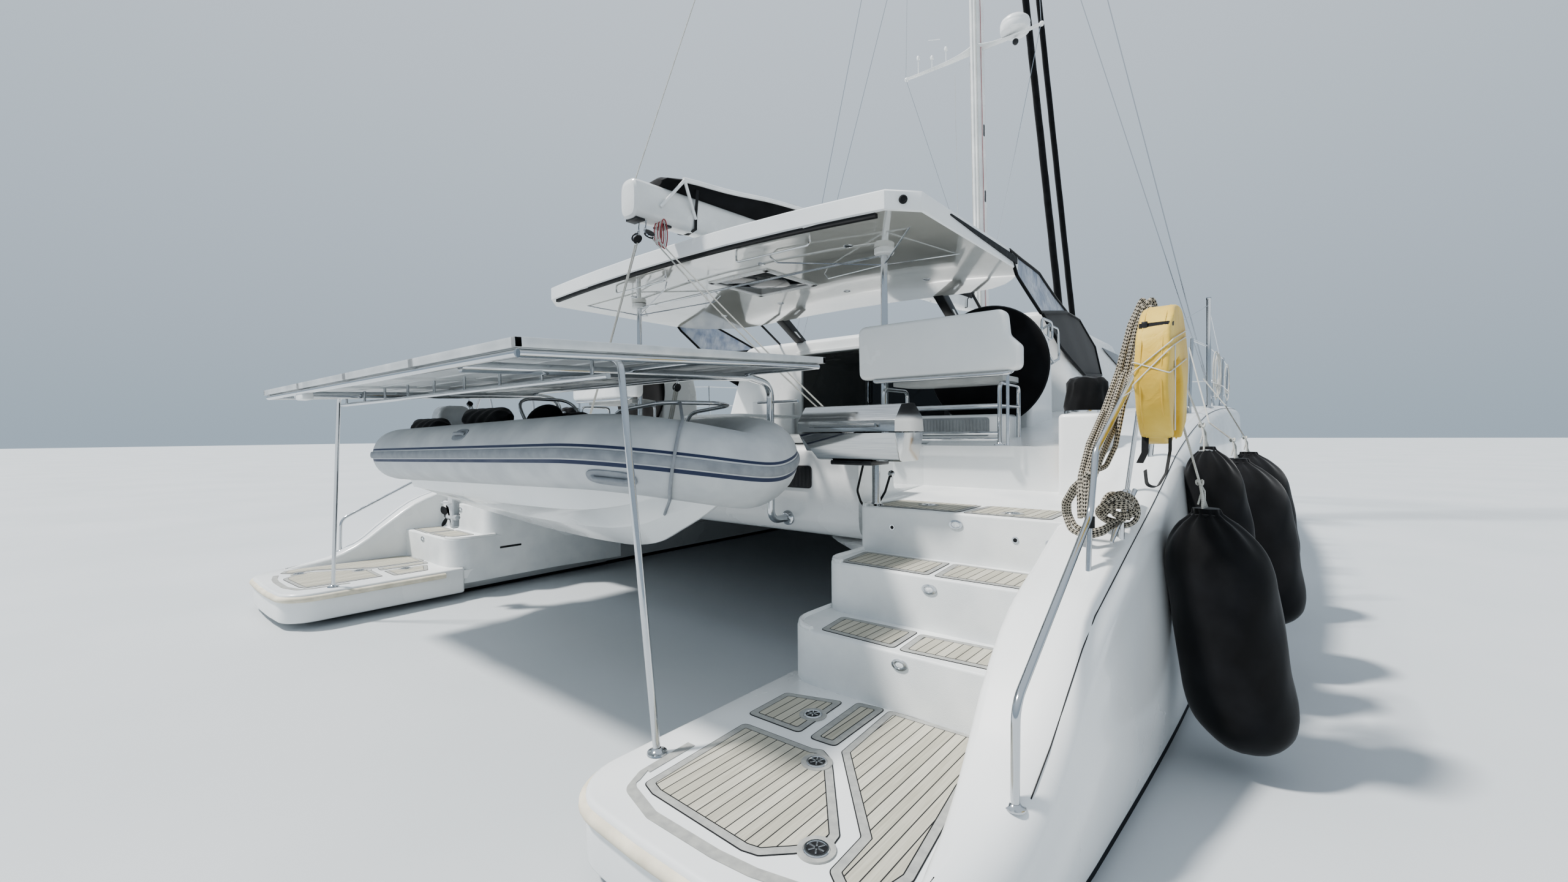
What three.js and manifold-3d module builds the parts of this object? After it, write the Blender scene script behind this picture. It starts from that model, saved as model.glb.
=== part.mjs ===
// A cruising catamaran, lying afloat. Millimetres, +X to starboard, +Y forward, +Z up.
// The origin is on the waterline, on the centreline, half way along the hulls.

import * as THREE from 'three';
import { mergeVertices } from 'three/addons/utils/BufferGeometryUtils.js';
import Module from 'manifold-3d';

const wasm = await Module();
wasm.setup();

// Driving dimensions
const SEAT_GAP = 0.3; // between pieces that bear on each other
const JOINT_X = 2100; // where the bridgedeck meets each hull
const HULL_X = 3220; // centre plane of a hull, under water
const PLATFORM_Z = 320;
const STEP_RISE = 297;
const SOLE_Z = 1262; // cockpit and saloon sole
const HELM_Z = 1600; // helm deck
const HELM_AFT_Y = -4900;
const HELM_FORE_Y = -2450;
const COCKPIT_AFT_Y = -5900;
const CABIN_AFT_Y = -2300;
const CABIN_FORE_Y = 2900;
const ROOF_Z = 3060; // edge of the coachroof's top
const CROWN = 90; // its camber
const MAST_Y = 1840; // mast foot
const MAST_TOP_Z = 22300;
const MAST_RAKE = 0.0452; // metres aft for each metre up
const BOOM_PIVOT = [0, 1545, 4020];
const BEAM_Y = 7600; // forward crossbeam
const BEAM_Z = 1800;
const RAIL_R = 16; // rail tube radius
const WIRE_R = 6;

// Finishes
const gelcoat = new THREE.MeshStandardMaterial({ color: 0xf1f2f0, roughness: 0.25 });
const painted = new THREE.MeshStandardMaterial({ color: 0xf4f4f2, roughness: 0.35 });
const stainless = new THREE.MeshStandardMaterial({ color: 0xc9ccce, roughness: 0.18, metalness: 1 });
const blackAlloy = new THREE.MeshStandardMaterial({ color: 0x17181a, roughness: 0.5 });
const darkCloth = new THREE.MeshStandardMaterial({ color: 0x141416, roughness: 0.9 });
const tintedGlass = new THREE.MeshStandardMaterial({ color: 0x1a2226, roughness: 0.08 });
const antifoul = new THREE.MeshStandardMaterial({ color: 0x1d2126, roughness: 0.8 });
const greyFabric = new THREE.MeshStandardMaterial({ color: 0xb9bcbf, roughness: 0.6 });
const netting = new THREE.MeshStandardMaterial({ color: 0xe6e6e2, roughness: 0.9 });
const yellowCloth = new THREE.MeshStandardMaterial({ color: 0xe3c75c, roughness: 0.8 });
const bronze = new THREE.MeshStandardMaterial({ color: 0x8a7243, roughness: 0.35, metalness: 1 });
const solarGlass = new THREE.MeshStandardMaterial({ color: 0x1b2433, roughness: 0.12 });

const boat = new THREE.Group();

// Solids: a closed geometry becomes a solid that can be joined and cut
function volumeOf(position, index) {
  let sum = 0;
  const [a, b, c] = [new THREE.Vector3(), new THREE.Vector3(), new THREE.Vector3()];
  for (let i = 0; i < index.length; i += 3) {
    a.fromArray(position, index[i] * 3);
    b.fromArray(position, index[i + 1] * 3);
    c.fromArray(position, index[i + 2] * 3);
    sum += a.dot(b.cross(c));
  }
  return sum;
}

function solid(geometry) {
  const bare = geometry.index ? geometry.toNonIndexed() : geometry.clone();
  for (const name of Object.keys(bare.attributes)) {
    if (name !== 'position') bare.deleteAttribute(name);
  }
  const merged = mergeVertices(bare, 0.01);
  const position = new Float32Array(merged.attributes.position.array);
  const index = new Uint32Array(merged.index.array);
  if (volumeOf(position, index) < 0) index.reverse();
  return new wasm.Manifold(new wasm.Mesh({ numProp: 3, vertProperties: position, triVerts: index }));
}

function geometryOf(shape) {
  const mesh = shape.getMesh();
  const geometry = new THREE.BufferGeometry();
  geometry.setAttribute('position', new THREE.BufferAttribute(mesh.vertProperties, 3));
  geometry.setIndex(new THREE.BufferAttribute(mesh.triVerts, 1));
  return geometry;
}

function add(name, shape, material) {
  const geometry = geometryOf(shape);
  geometry.computeVertexNormals();
  const mesh = new THREE.Mesh(geometry, material.clone());
  mesh.name = name;
  boat.add(mesh);
}

function mirrored(shape) {
  return shape.mirror([1, 0, 0]);
}

function addPair(name, shape, material) {
  add(`${name}_starboard`, shape, material);
  add(`${name}_port`, mirrored(shape), material);
}

function join(...shapes) {
  return shapes.reduce((whole, shape) => whole.add(shape));
}

function clear(shape, neighbour, [x, y, z]) {
  return shape.subtract(neighbour.translate([x * SEAT_GAP, y * SEAT_GAP, z * SEAT_GAP]));
}

function box([x0, x1], [y0, y1], [z0, z1]) {
  const geometry = new THREE.BoxGeometry(x1 - x0, y1 - y0, z1 - z0);
  geometry.translate((x0 + x1) / 2, (y0 + y1) / 2, (z0 + z1) / 2);
  return solid(geometry);
}

function rod(from, to, radius, sides = 8, endRadius = radius) {
  const a = new THREE.Vector3(...from);
  const b = new THREE.Vector3(...to);
  const axis = b.clone().sub(a);
  const geometry = new THREE.CylinderGeometry(endRadius, radius, axis.length(), sides);
  geometry.applyQuaternion(new THREE.Quaternion().setFromUnitVectors(new THREE.Vector3(0, 1, 0), axis.normalize()));
  geometry.translate((a.x + b.x) / 2, (a.y + b.y) / 2, (a.z + b.z) / 2);
  return solid(geometry);
}

// A bent tube of straight runs, mitred at each bend
function bentTube(points, radius, sides = 6) {
  const path = points.map((point) => new THREE.Vector3(...point));
  const run = (i) => path[i + 1].clone().sub(path[i]).normalize();
  const first = run(0);
  const aside = new THREE.Vector3(Math.abs(first.x) > 0.8 ? 0 : 1, Math.abs(first.x) > 0.8 ? 1 : 0, 0);
  let across = aside.sub(first.clone().multiplyScalar(aside.dot(first))).normalize();
  let ring = [];
  for (let k = 0; k < sides; k += 1) {
    const angle = (k / sides) * 2 * Math.PI;
    const other = first.clone().cross(across);
    ring.push(path[0].clone().addScaledVector(across, radius * Math.cos(angle))
      .addScaledVector(other, radius * Math.sin(angle)));
  }
  const rings = [ring];
  for (let i = 1; i < path.length; i += 1) {
    const along0 = run(i - 1);
    const normal = i < path.length - 1 ? along0.clone().add(run(i)).normalize() : along0;
    ring = ring.map((point) => {
      const reach = path[i].clone().sub(point).dot(normal) / along0.dot(normal);
      return point.clone().addScaledVector(along0, reach);
    });
    rings.push(ring);
  }
  return skin(rings.map((row) => row.map((point) => point.toArray())));
}

function outline(points) {
  return new THREE.Shape(points.map(([u, v]) => new THREE.Vector2(u, v)));
}

const ALONG_X = new THREE.Matrix4().set(0, 0, 1, 0, 1, 0, 0, 0, 0, 1, 0, 0, 0, 0, 0, 1);
const ALONG_Y = new THREE.Matrix4().set(1, 0, 0, 0, 0, 0, -1, 0, 0, 1, 0, 0, 0, 0, 0, 1);

function extrude(shape, depth) {
  return new THREE.ExtrudeGeometry(shape, { depth, bevelEnabled: false, curveSegments: 5 });
}

// Outlines pushed along an axis: (y, z) along X, (x, z) along Y, (x, y) along Z
function alongX(shape, x0, x1) {
  return solid(extrude(shape, x1 - x0).applyMatrix4(ALONG_X).translate(x0, 0, 0));
}
function alongY(shape, y0, y1) {
  return solid(extrude(shape, y1 - y0).applyMatrix4(ALONG_Y).translate(0, y1, 0));
}
function alongZ(shape, z0, z1) {
  return solid(extrude(shape, z1 - z0).translate(0, 0, z0));
}

// Joins like sections, which all have as many points, and closes both ends with a fan
function skin(sections) {
  const count = sections[0].length;
  const geometry = new THREE.BufferGeometry();
  const index = sideFaces(sections.length, count);
  const last = (sections.length - 1) * count;
  for (let i = 1; i + 1 < count; i += 1) {
    index.push(0, i + 1, i, last, last + i, last + i + 1);
  }
  geometry.setAttribute('position', new THREE.Float32BufferAttribute(sections.flat(2), 3));
  geometry.setIndex(index);
  return solid(geometry);
}

function sideFaces(rows, count) {
  const index = [];
  for (let s = 0; s + 1 < rows; s += 1) {
    for (let i = 0; i < count; i += 1) {
      const [a, b] = [s * count + i, s * count + ((i + 1) % count)];
      index.push(a, b, b + count, a, b + count, a + count);
    }
  }
  return index;
}

// The same for sections that aren't convex. flat is the axis that they stand across.
function loft(sections, flat) {
  const count = sections[0].length;
  const position = sections.flat(2);
  const [u, v] = { x: [1, 2], y: [0, 2], z: [0, 1] }[flat];
  const index = sideFaces(sections.length, count);
  const last = (sections.length - 1) * count;
  for (const [start, turn] of [[0, true], [last, false]]) {
    const ring = sections[start / count].map((point) => new THREE.Vector2(point[u], point[v]));
    const open = !THREE.ShapeUtils.isClockWise(ring);
    for (const [a, b, c] of THREE.ShapeUtils.triangulateShape(open ? ring : ring.slice().reverse(), [])) {
      const at = (i) => start + (open ? i : count - 1 - i);
      const face = [at(a), at(b), at(c)];
      const sameWay = open !== turn;
      index.push(...(sameWay ? face : face.reverse()));
    }
  }
  const geometry = new THREE.BufferGeometry();
  geometry.setAttribute('position', new THREE.Float32BufferAttribute(position, 3));
  geometry.setIndex(index);
  return solid(geometry);
}

function mix(a, b, t) {
  return a + (b - a) * t;
}

// Reads a curve given by a short table of [place, value]
function along(table, place) {
  if (place <= table[0][0]) return table[0][1];
  for (let i = 1; i < table.length; i += 1) {
    const [[p0, v0], [p1, v1]] = [table[i - 1], table[i]];
    if (place <= p1) return mix(v0, v1, (place - p0) / (p1 - p0));
  }
  return table[table.length - 1][1];
}

// Hulls: sections of the starboard hull across Y, its deck edge sweeping down aft into a wing beside the steps
const KEEL = [[-7950, 20], [-7000, -230], [-5500, -450], [-3000, -620], [0, -660], [3000, -600], [5000, -500],
  [6500, -370], [7500, -220], [8250, 60]];
const WATER_OUT = [[-7950, 3700], [-7000, 3850], [-4500, 3975], [-1500, 3990], [1500, 3930], [3500, 3800],
  [5000, 3640], [6500, 3450], [7500, 3310], [8250, 3215]];
const WATER_IN = [[-7950, 2460], [-2000, 2450], [1500, 2500], [3500, 2630], [5000, 2780], [6500, 2960],
  [7500, 3090], [8250, 3185]];
const SHEER_Z = [[-7950, 335], [-7600, 390], [-7350, 500], [-7100, 690], [-6750, 930], [-6460, 1040], [-6100, 1180],
  [-5330, 1460], [-4900, 1590], [-4000, 1760], [-3000, 1880], [-1000, 1980], [3000, 2060], [8250, 2200]];
const SHEER_OUT = [[-7950, 3720], [-7350, 3800], [-6500, 3860], [-5300, 3930], [-3000, 3960], [0, 3960],
  [3500, 3830], [5000, 3670], [6500, 3480], [7500, 3340], [8250, 3240]];
const DECK_IN = [[3900, 2440], [4300, 2600], [5000, 2720], [6500, 2930], [7500, 3060], [8250, 3160]];
const SIDE_X = 2205; // inner side beside the steps
const FULLEST = 45; // how far the topside swells beyond its edge
const WING_IN = [[-7950, 3560], [-6900, 3440], [-4900, 3480]];
const EDGE_R = 150; // the rounded deck edge

function hullSection(y, deckInX, floorZ, floorX) {
  const [keel, out, inn] = [along(KEEL, y), along(WATER_OUT, y), along(WATER_IN, y)];
  const [top, sheer] = [along(SHEER_Z, y), along(SHEER_OUT, y)];
  const radius = Math.min(EDGE_R, (sheer - deckInX) / 5);
  const swell = y > 6000 ? mix(FULLEST, 5, (y - 6000) / 2250) : FULLEST;
  const middle = (out + inn) / 2;
  const flare = Math.min(deckInX, inn);
  const bank = Math.min(top - radius, 700);
  const ring = [
    [middle, keel],
    [mix(middle, out, 0.62), keel * 0.86],
    [mix(middle, out, 0.93), keel * 0.42],
    [out, 0],
    [Math.max(out, sheer) + swell * 0.6, bank * 0.6],
    [sheer + swell * 0.4, Math.max(bank, (top - radius) * 0.75)],
    [sheer, top - radius],
    [sheer - radius * 0.3, top - radius * 0.3],
    [sheer - radius, top],
    [floorX, Math.max(top, floorZ)],
    [floorX, floorZ],
    [deckInX, floorZ],
    [flare, Math.min(950, floorZ - 10)],
    [mix(inn, flare, 0.25), Math.min(700, floorZ - 30)],
    [inn, 0],
    [mix(middle, inn, 0.93), keel * 0.42],
    [mix(middle, inn, 0.62), keel * 0.86],
  ];
  return ring.map(([x, z]) => [x, y, z]);
}

const AFT_STATIONS = [-7950, -7600, -7350, -7100, -6750, -6460, -6100, -5600, -4890];
const aftBody = loft(AFT_STATIONS.map((y) => hullSection(y, SIDE_X, 300, along(WING_IN, y))), 'y');
const FORE_STATIONS = [-4900, -4000, -3000, -1000, 1000, 3000, 3900, 4300, 5000, 6500, 7500, 8250];
const foreBody = loft(FORE_STATIONS.map((y) => {
  const inX = y < 3950 ? JOINT_X : along(DECK_IN, y);
  return hullSection(y, inX, along(SHEER_Z, y), mix(inX, along(SHEER_OUT, y), 0.3));
}), 'y');

// The steps: four risers up to the helm deck, between the wing and the hull's inner side
const TREAD_Y = [-6880, -6490, -6050, HELM_AFT_Y];
const TREAD_Z = [PLATFORM_Z, PLATFORM_Z + STEP_RISE, PLATFORM_Z + 2 * STEP_RISE, PLATFORM_Z + 3 * STEP_RISE];
const CORNER_R = [220, 150, 60]; // each riser turns forward at its inner end
const stepBlocks = CORNER_R.map((radius, i) => {
  const innerX = i < 2 ? SIDE_X : SIDE_X - 10;
  const plan = new THREE.Shape();
  plan.moveTo(3500, TREAD_Y[i]);
  plan.lineTo(innerX + radius, TREAD_Y[i]);
  plan.absarc(innerX + radius, TREAD_Y[i] + radius, radius, 1.5 * Math.PI, Math.PI, true);
  plan.lineTo(i < 2 ? innerX : JOINT_X, -5700);
  plan.lineTo(JOINT_X, HELM_AFT_Y + 10);
  plan.lineTo(3500, HELM_AFT_Y + 10);
  return alongZ(plan, 150, TREAD_Z[i + 1]);
});
const landing = alongX(outline([[-5750, 1100], [-5750, TREAD_Z[3] - 5], [HELM_AFT_Y + 10, SOLE_Z],
  [HELM_AFT_Y + 10, 1100]]), JOINT_X, 3500);
const stairs = join(...stepBlocks, landing);

// The bathing platform, its rubbing edge proud of the hull all round
const platformPlan = new THREE.Shape();
platformPlan.moveTo(2480, -6700);
platformPlan.lineTo(2195, -6760);
platformPlan.lineTo(2195, -8000);
platformPlan.absarc(2445, -8000, 250, Math.PI, 1.5 * Math.PI, false);
platformPlan.lineTo(3350, -8250);
platformPlan.absarc(3350, -7900, 350, 1.5 * Math.PI, 1.93 * Math.PI, false);
platformPlan.lineTo(3780, -7200);
platformPlan.lineTo(3700, -6700);
const platform = alongZ(platformPlan, 60, PLATFORM_Z);

// Bosses under the hull for the rudder stock and the saildrive
const RUDDER_Y = -6900;
const BOSS_Z = -330;
const DRIVE_Y = -4250;
const DRIVE_BOSS_Z = -620;
const rudderBoss = rod([HULL_X, RUDDER_Y, -100], [HULL_X, RUDDER_Y, BOSS_Z], 55, 10);
const driveBoss = rod([HULL_X, DRIVE_Y, -300], [HULL_X, DRIVE_Y, DRIVE_BOSS_Z], 130, 10);
const helmWell = box([JOINT_X - 50, 3180], [HELM_AFT_Y + 5, HELM_FORE_Y], [HELM_Z, 2500]);
const hull = join(aftBody, foreBody, stairs, platform, rudderBoss, driveBoss).subtract(helmWell);
addPair('hull', hull, gelcoat);

// Bridgedeck: the moulding between the hulls, with the cockpit sole and the beam behind it
const deckSide = outline([
  [COCKPIT_AFT_Y, 980], [COCKPIT_AFT_Y, 1560], [COCKPIT_AFT_Y + 60, HELM_Z], [-5420, HELM_Z], [-5400, SOLE_Z],
  [CABIN_FORE_Y - 300, SOLE_Z], [CABIN_FORE_Y - 300, 1960], [4300, 1985], [4380, 1900], [4300, 1300],
  [3700, 980], [2800, 850], [-5500, 830],
]);
const halfDeck = JOINT_X - SEAT_GAP;
const HELM_IN_X = 1450; // inner edge of the raised helm decks
const helmDeck = box([HELM_IN_X, halfDeck], [HELM_AFT_Y, HELM_FORE_Y], [SOLE_Z - 50, HELM_Z]);
const bridgedeck = join(alongX(deckSide, -halfDeck, halfDeck), helmDeck, mirrored(helmDeck));
add('bridgedeck', bridgedeck, gelcoat);

// Coachroof: a hollow shell with its windows and its doorway cut, seated on the decks
const CABIN_WALL = 45;
function cabinSolid(low, high, grow, roofGrow) {
  const rows = [low, high].map((z) => {
    const t = (z - 1900) / (ROOF_Z - 1900);
    const half = mix(2760, 2330, t) + grow;
    const fore = mix(CABIN_FORE_Y, 1980, t) + grow;
    const nose = mix(1500, 1250, t) + grow * 0.4;
    const aft = CABIN_AFT_Y - grow;
    const shoulder = mix(1900, 1300, t) + grow;
    return [[-half, aft], [half, aft], [half, shoulder], [nose, fore], [-nose, fore], [-half, shoulder]]
      .map(([x, y]) => [x, y, z]);
  });
  const crown = rows[1].map(([x, y]) => [x * 0.55, mix(y, 0, 0.25), high + roofGrow]);
  return loft(roofGrow ? [...rows, crown] : rows, 'z');
}
const doorHalf = 1180;
const DOOR_TOP_Z = 2860;
const windowBand = cabinSolid(2330, 2830, 60, 0).subtract(cabinSolid(2200, 2900, -CABIN_WALL - 40, 0));
const windowSlots = join(
  box([-3000, 3000], [-1750, -400], [2300, 2900]),
  box([-3000, 3000], [-300, 1150], [2300, 2900]),
  box([-1150, -60], [1500, 3200], [2300, 2900]),
  box([60, 1150], [1500, 3200], [2300, 2900]),
);
const CABIN_LOW_Z = 1150; // drawn from below the decks, which then cut it
const cabinOuter = cabinSolid(CABIN_LOW_Z, ROOF_Z, 0, CROWN);
let coachroof = cabinOuter
  .subtract(cabinSolid(1100, ROOF_Z - 50, -CABIN_WALL, 80))
  .subtract(windowBand.intersect(windowSlots))
  .subtract(box([-doorHalf, doorHalf], [CABIN_AFT_Y - 200, CABIN_AFT_Y + 200], [1000, DOOR_TOP_Z]));
for (const body of [hull, mirrored(hull), bridgedeck]) {
  coachroof = clear(coachroof, body, [0, 0, 1]);
}
coachroof = coachroof.subtract(box([-3200, 3200], [CABIN_AFT_Y + 200, 3400], [1000, 1900]))
  .subtract(box([-JOINT_X, JOINT_X], [CABIN_AFT_Y + 150, CABIN_FORE_Y - 300], [1000, 1980]));
const DOOR_Y = CABIN_AFT_Y - 45;
const doorTrack = box([-doorHalf - 40, doorHalf + 40], [DOOR_Y - 30, CABIN_AFT_Y + 10], [DOOR_TOP_Z, DOOR_TOP_Z + 50]);
coachroof = join(coachroof, doorTrack);
add('coachroof', coachroof, gelcoat);

// The dark glazing is one band bonded on the outside of the coachroof, from aft on one side round to the other
const PANE_THICK = 14;
const glazing = cabinSolid(CABIN_LOW_Z, ROOF_Z, PANE_THICK, CROWN)
  .intersect(box([-4000, 4000], [-1830, 4000], [2270, 2890]))
  .subtract(cabinSolid(CABIN_LOW_Z, ROOF_Z, SEAT_GAP, CROWN));
add('saloon_windows', glazing, tintedGlass);

// Sliding door: a framed pane on the cockpit side of the aft bulkhead, hung in the track over the doorway
const doorPane = box([-20, doorHalf], [DOOR_Y - 20, DOOR_Y + 20], [SOLE_Z + 6, DOOR_TOP_Z - SEAT_GAP]);
const doorHandle = box([20, 60], [DOOR_Y - 60, DOOR_Y - 15], [2100, 2400]);
add('sliding_door', join(doorPane, doorHandle), blackAlloy);

// Hardtop over the cockpit: a cambered slab, its corners cut back
const HARDTOP_AFT_Y = -5735;
const HARDTOP_FORE_Y = -2700;
const HARDTOP_HALF = 2430;
const HARDTOP_Z = 3495; // top, on the centreline
const HARDTOP_CAMBER = 87;
const HARDTOP_THICK = 150;
function hardtopSection(x, aft, fore) {
  const top = HARDTOP_Z - HARDTOP_CAMBER * (x / HARDTOP_HALF) ** 2;
  const low = top - HARDTOP_THICK;
  return [[aft + 40, low], [fore, low], [fore, top - 20], [fore - 40, top + 15], [aft + 30, top], [aft, top - 40]]
    .map(([y, z]) => [x, y, z]);
}
const HARDTOP_PLAN = [[0, HARDTOP_AFT_Y, HARDTOP_FORE_Y], [1300, HARDTOP_AFT_Y, HARDTOP_FORE_Y],
  [1900, HARDTOP_AFT_Y, -2800], [2220, HARDTOP_AFT_Y, -3150], [HARDTOP_HALF, -5560, -3550]];
const hardtopRows = [...HARDTOP_PLAN.slice(1).reverse().map(([x, aft, fore]) => hardtopSection(-x, aft, fore)),
  ...HARDTOP_PLAN.map(([x, aft, fore]) => hardtopSection(x, aft, fore))];
const hardtop = loft(hardtopRows, 'x');
add('hardtop', hardtop, painted);

// Its two tube posts stand on the helm decks, and a flange tops each; a rail under the roof joins them
const POST_X = 1715;
const POST_Y = -4860;
const POST_R = 30;
const postTop = 3345;
const flangeLow = postTop - 65;
const post = join(
  rod([POST_X, POST_Y, HELM_Z + SEAT_GAP], [POST_X, POST_Y, postTop], POST_R, 10),
  rod([POST_X, POST_Y, HELM_Z + SEAT_GAP], [POST_X, POST_Y, HELM_Z + 12], 60, 10),
  rod([POST_X, POST_Y, flangeLow], [POST_X, POST_Y, postTop], 85, 10),
);
const postRail = rod([-POST_X, POST_Y, flangeLow - 30], [POST_X, POST_Y, flangeLow - 30], 14, 6);
add('hardtop_posts', clear(join(post, mirrored(post), postRail), hardtop, [0, 0, -1]), stainless);

// Forward the hardtop stands on two flat black legs on the coachroof
const roofBrace = alongX(outline([[-2850, 3420], [-2640, 3420], [-2150, 3020], [-2290, 3020]]), 1165, 1290);
let brace = clear(roofBrace, hardtop, [0, 0, -1]);
brace = clear(brace, cabinOuter, [0, 0, 1]).subtract(box([1000, 1400], [-3000, CABIN_AFT_Y - 60],
  [2900, 3150]));
addPair('hardtop_brace', brace, blackAlloy);

// Helm seats: a moulded bench and back on a tube frame, its inboard leg being the hardtop's post
const seatBack = alongY(outline([[1560, 2150], [2930, 2150], [2930, 2330], [2840, 2420], [2820, 2610], [1550, 2610]]),
  POST_Y - 180, POST_Y - 60);
const SEAT_LOW_Z = 2070;
const seatPan = box([1800, 2780], [POST_Y - 120, POST_Y + 330], [SEAT_LOW_Z, SEAT_LOW_Z + 90]);
const helmSeat = join(seatBack, seatPan);
addPair('helm_seat', helmSeat, painted);
const legX = 2800;
const seatTop = SEAT_LOW_Z - SEAT_GAP;
const clearPost = POST_X + POST_R + SEAT_GAP;
const BAR_HEIGHTS = [1900, 1670];
const frameParts = join(
  rod([legX, POST_Y, HELM_Z + SEAT_GAP], [legX, POST_Y, seatTop], RAIL_R, 8),
  rod([legX, POST_Y, HELM_Z + SEAT_GAP], [legX, POST_Y, HELM_Z + 8], 40, 8),
  ...BAR_HEIGHTS.map((z) => rod([clearPost, POST_Y, z], [legX, POST_Y, z], 12, 6)),
  box([clearPost, legX + 20], [POST_Y - 20, POST_Y + 300], [seatTop - 18, seatTop]),
  rod([legX - 30, POST_Y + 270, HELM_Z + SEAT_GAP], [legX - 30, POST_Y + 270, seatTop - 5], RAIL_R, 8),
  rod([POST_X + 70, POST_Y + 270, HELM_Z + SEAT_GAP], [POST_X + 70, POST_Y + 270, seatTop - 5], RAIL_R, 8),
);
addPair('helm_seat_frame', frameParts, stainless);

// Wheels, each on a shaft from its console; the wheel wears a round cloth cover
const WHEEL = [2420, -4330, 2265];
const WHEEL_R = 525;
const HOOP_R = 16;
const COVER_HALF = 12;
const rim = new THREE.TorusGeometry(WHEEL_R - HOOP_R, HOOP_R, 6, 24);
rim.rotateX(Math.PI / 2).translate(...WHEEL);
const CONSOLE_AFT_Y = -4160;
const wheelParts = join(
  solid(rim),
  rod([WHEEL[0], WHEEL[1] - COVER_HALF, WHEEL[2]], [WHEEL[0], WHEEL[1] + COVER_HALF, WHEEL[2]], WHEEL_R - 14, 24),
  rod([WHEEL[0], WHEEL[1] - 40, WHEEL[2]], [WHEEL[0], CONSOLE_AFT_Y - SEAT_GAP, WHEEL[2]], 40, 10),
);
addPair('steering_wheel', wheelParts, darkCloth);
const consoleSide = outline([[CONSOLE_AFT_Y, HELM_Z + SEAT_GAP], [CONSOLE_AFT_Y, 2420], [CONSOLE_AFT_Y + 150, 2620],
  [CONSOLE_AFT_Y + 560, 2560], [CONSOLE_AFT_Y + 620, HELM_Z + SEAT_GAP]]);
addPair('helm_console', alongX(consoleSide, 2120, 2740), gelcoat);

// Winch pedestals at the outer ends of the last riser, each with its winch under a cloth cap
const WINCH = [3330, -4830];
const pedestalPlan = outline([[3185, -5040], [3470, -5040], [3500, -4800], [3470, -4620], [3190, -4620]]);
const PEDESTAL_Z = 1820;
const pedestal = clear(alongZ(pedestalPlan, 1240, PEDESTAL_Z), hull, [-1, -1, 1]);
const winch = rod([...WINCH, PEDESTAL_Z - 5], [...WINCH, PEDESTAL_Z + 270], 150, 12, 125);
addPair('winch_pedestal', join(pedestal, winch), gelcoat);

// Mast, raked aft, standing on the coachroof; two pairs of spreaders braced to it
function mastAt(z) {
  return MAST_Y - (z - ROOF_Z) * MAST_RAKE;
}
const MAST_HALF = [110, 165];
function mastRow(z, scale) {
  const ring = [];
  for (let i = 0; i < 12; i += 1) {
    const angle = (i / 12) * 2 * Math.PI;
    ring.push([MAST_HALF[0] * scale * Math.cos(angle), mastAt(z) + MAST_HALF[1] * scale * Math.sin(angle), z]);
  }
  return ring;
}
const mastFootZ = ROOF_Z + CROWN - 20;
const mastTube = loft([mastRow(mastFootZ, 1), mastRow(17000, 1), mastRow(MAST_TOP_Z, 0.62)], 'z');
const SPREADERS = [[8770, 1260, 8560, 350], [15300, 980, 15150, 300]];
const arms = SPREADERS.flatMap(([rootZ, reach, tipZ, sweep]) => [-1, 1].map((side) => rod(
  [0, mastAt(rootZ), rootZ], [side * reach, mastAt(rootZ) - sweep, tipZ], 48, 6, 26)));
const gooseneck = box([-40, 40], [BOOM_PIVOT[1] - 45, mastAt(4000) - 100], [3900, 3950]);
const gooseneckTop = box([-40, 40], [BOOM_PIVOT[1] - 45, mastAt(4000) - 100], [4095, 4145]);
const PIN_R = 15;
const PIN_SIDES = 24; // round enough to turn in its hole
const PIN_CLEAR = 0.7;
const pin = rod([0, BOOM_PIVOT[1], 3910], [0, BOOM_PIVOT[1], 4140], PIN_R, PIN_SIDES);
const mastStep = clear(join(mastTube, rod([0, mastAt(3120), 3080], [0, mastAt(3200), 3180], 210, 12)),
  cabinOuter, [0, 0, 1]);
const mast = join(mastStep, ...arms, gooseneck, gooseneckTop, pin);
add('mast', mast, painted);

// Radar dome on the starboard arm of the lower spreaders
const [armZ, armReach, , armSweep] = SPREADERS[0];
const radarX = 760;
const radarY = mastAt(armZ) - armSweep * radarX / armReach;
const radarProfile = [[0, 0], [210, 0], [250, 60], [245, 150], [170, 225], [0, 240]].map(
  ([r, z]) => new THREE.Vector2(r, z));
const radarDome = new THREE.LatheGeometry(radarProfile, 14).rotateX(Math.PI / 2).translate(radarX, radarY, armZ - 50);
const radarFoot = box([radarX - 60, radarX + 60], [radarY - 90, radarY + 90], [armZ - 110, armZ - 45]);
const radar = clear(clear(join(solid(radarDome), radarFoot), join(...arms), [0, 1, 1]), join(...arms), [0, -1, 1]);
add('radar', radar, painted);

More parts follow.
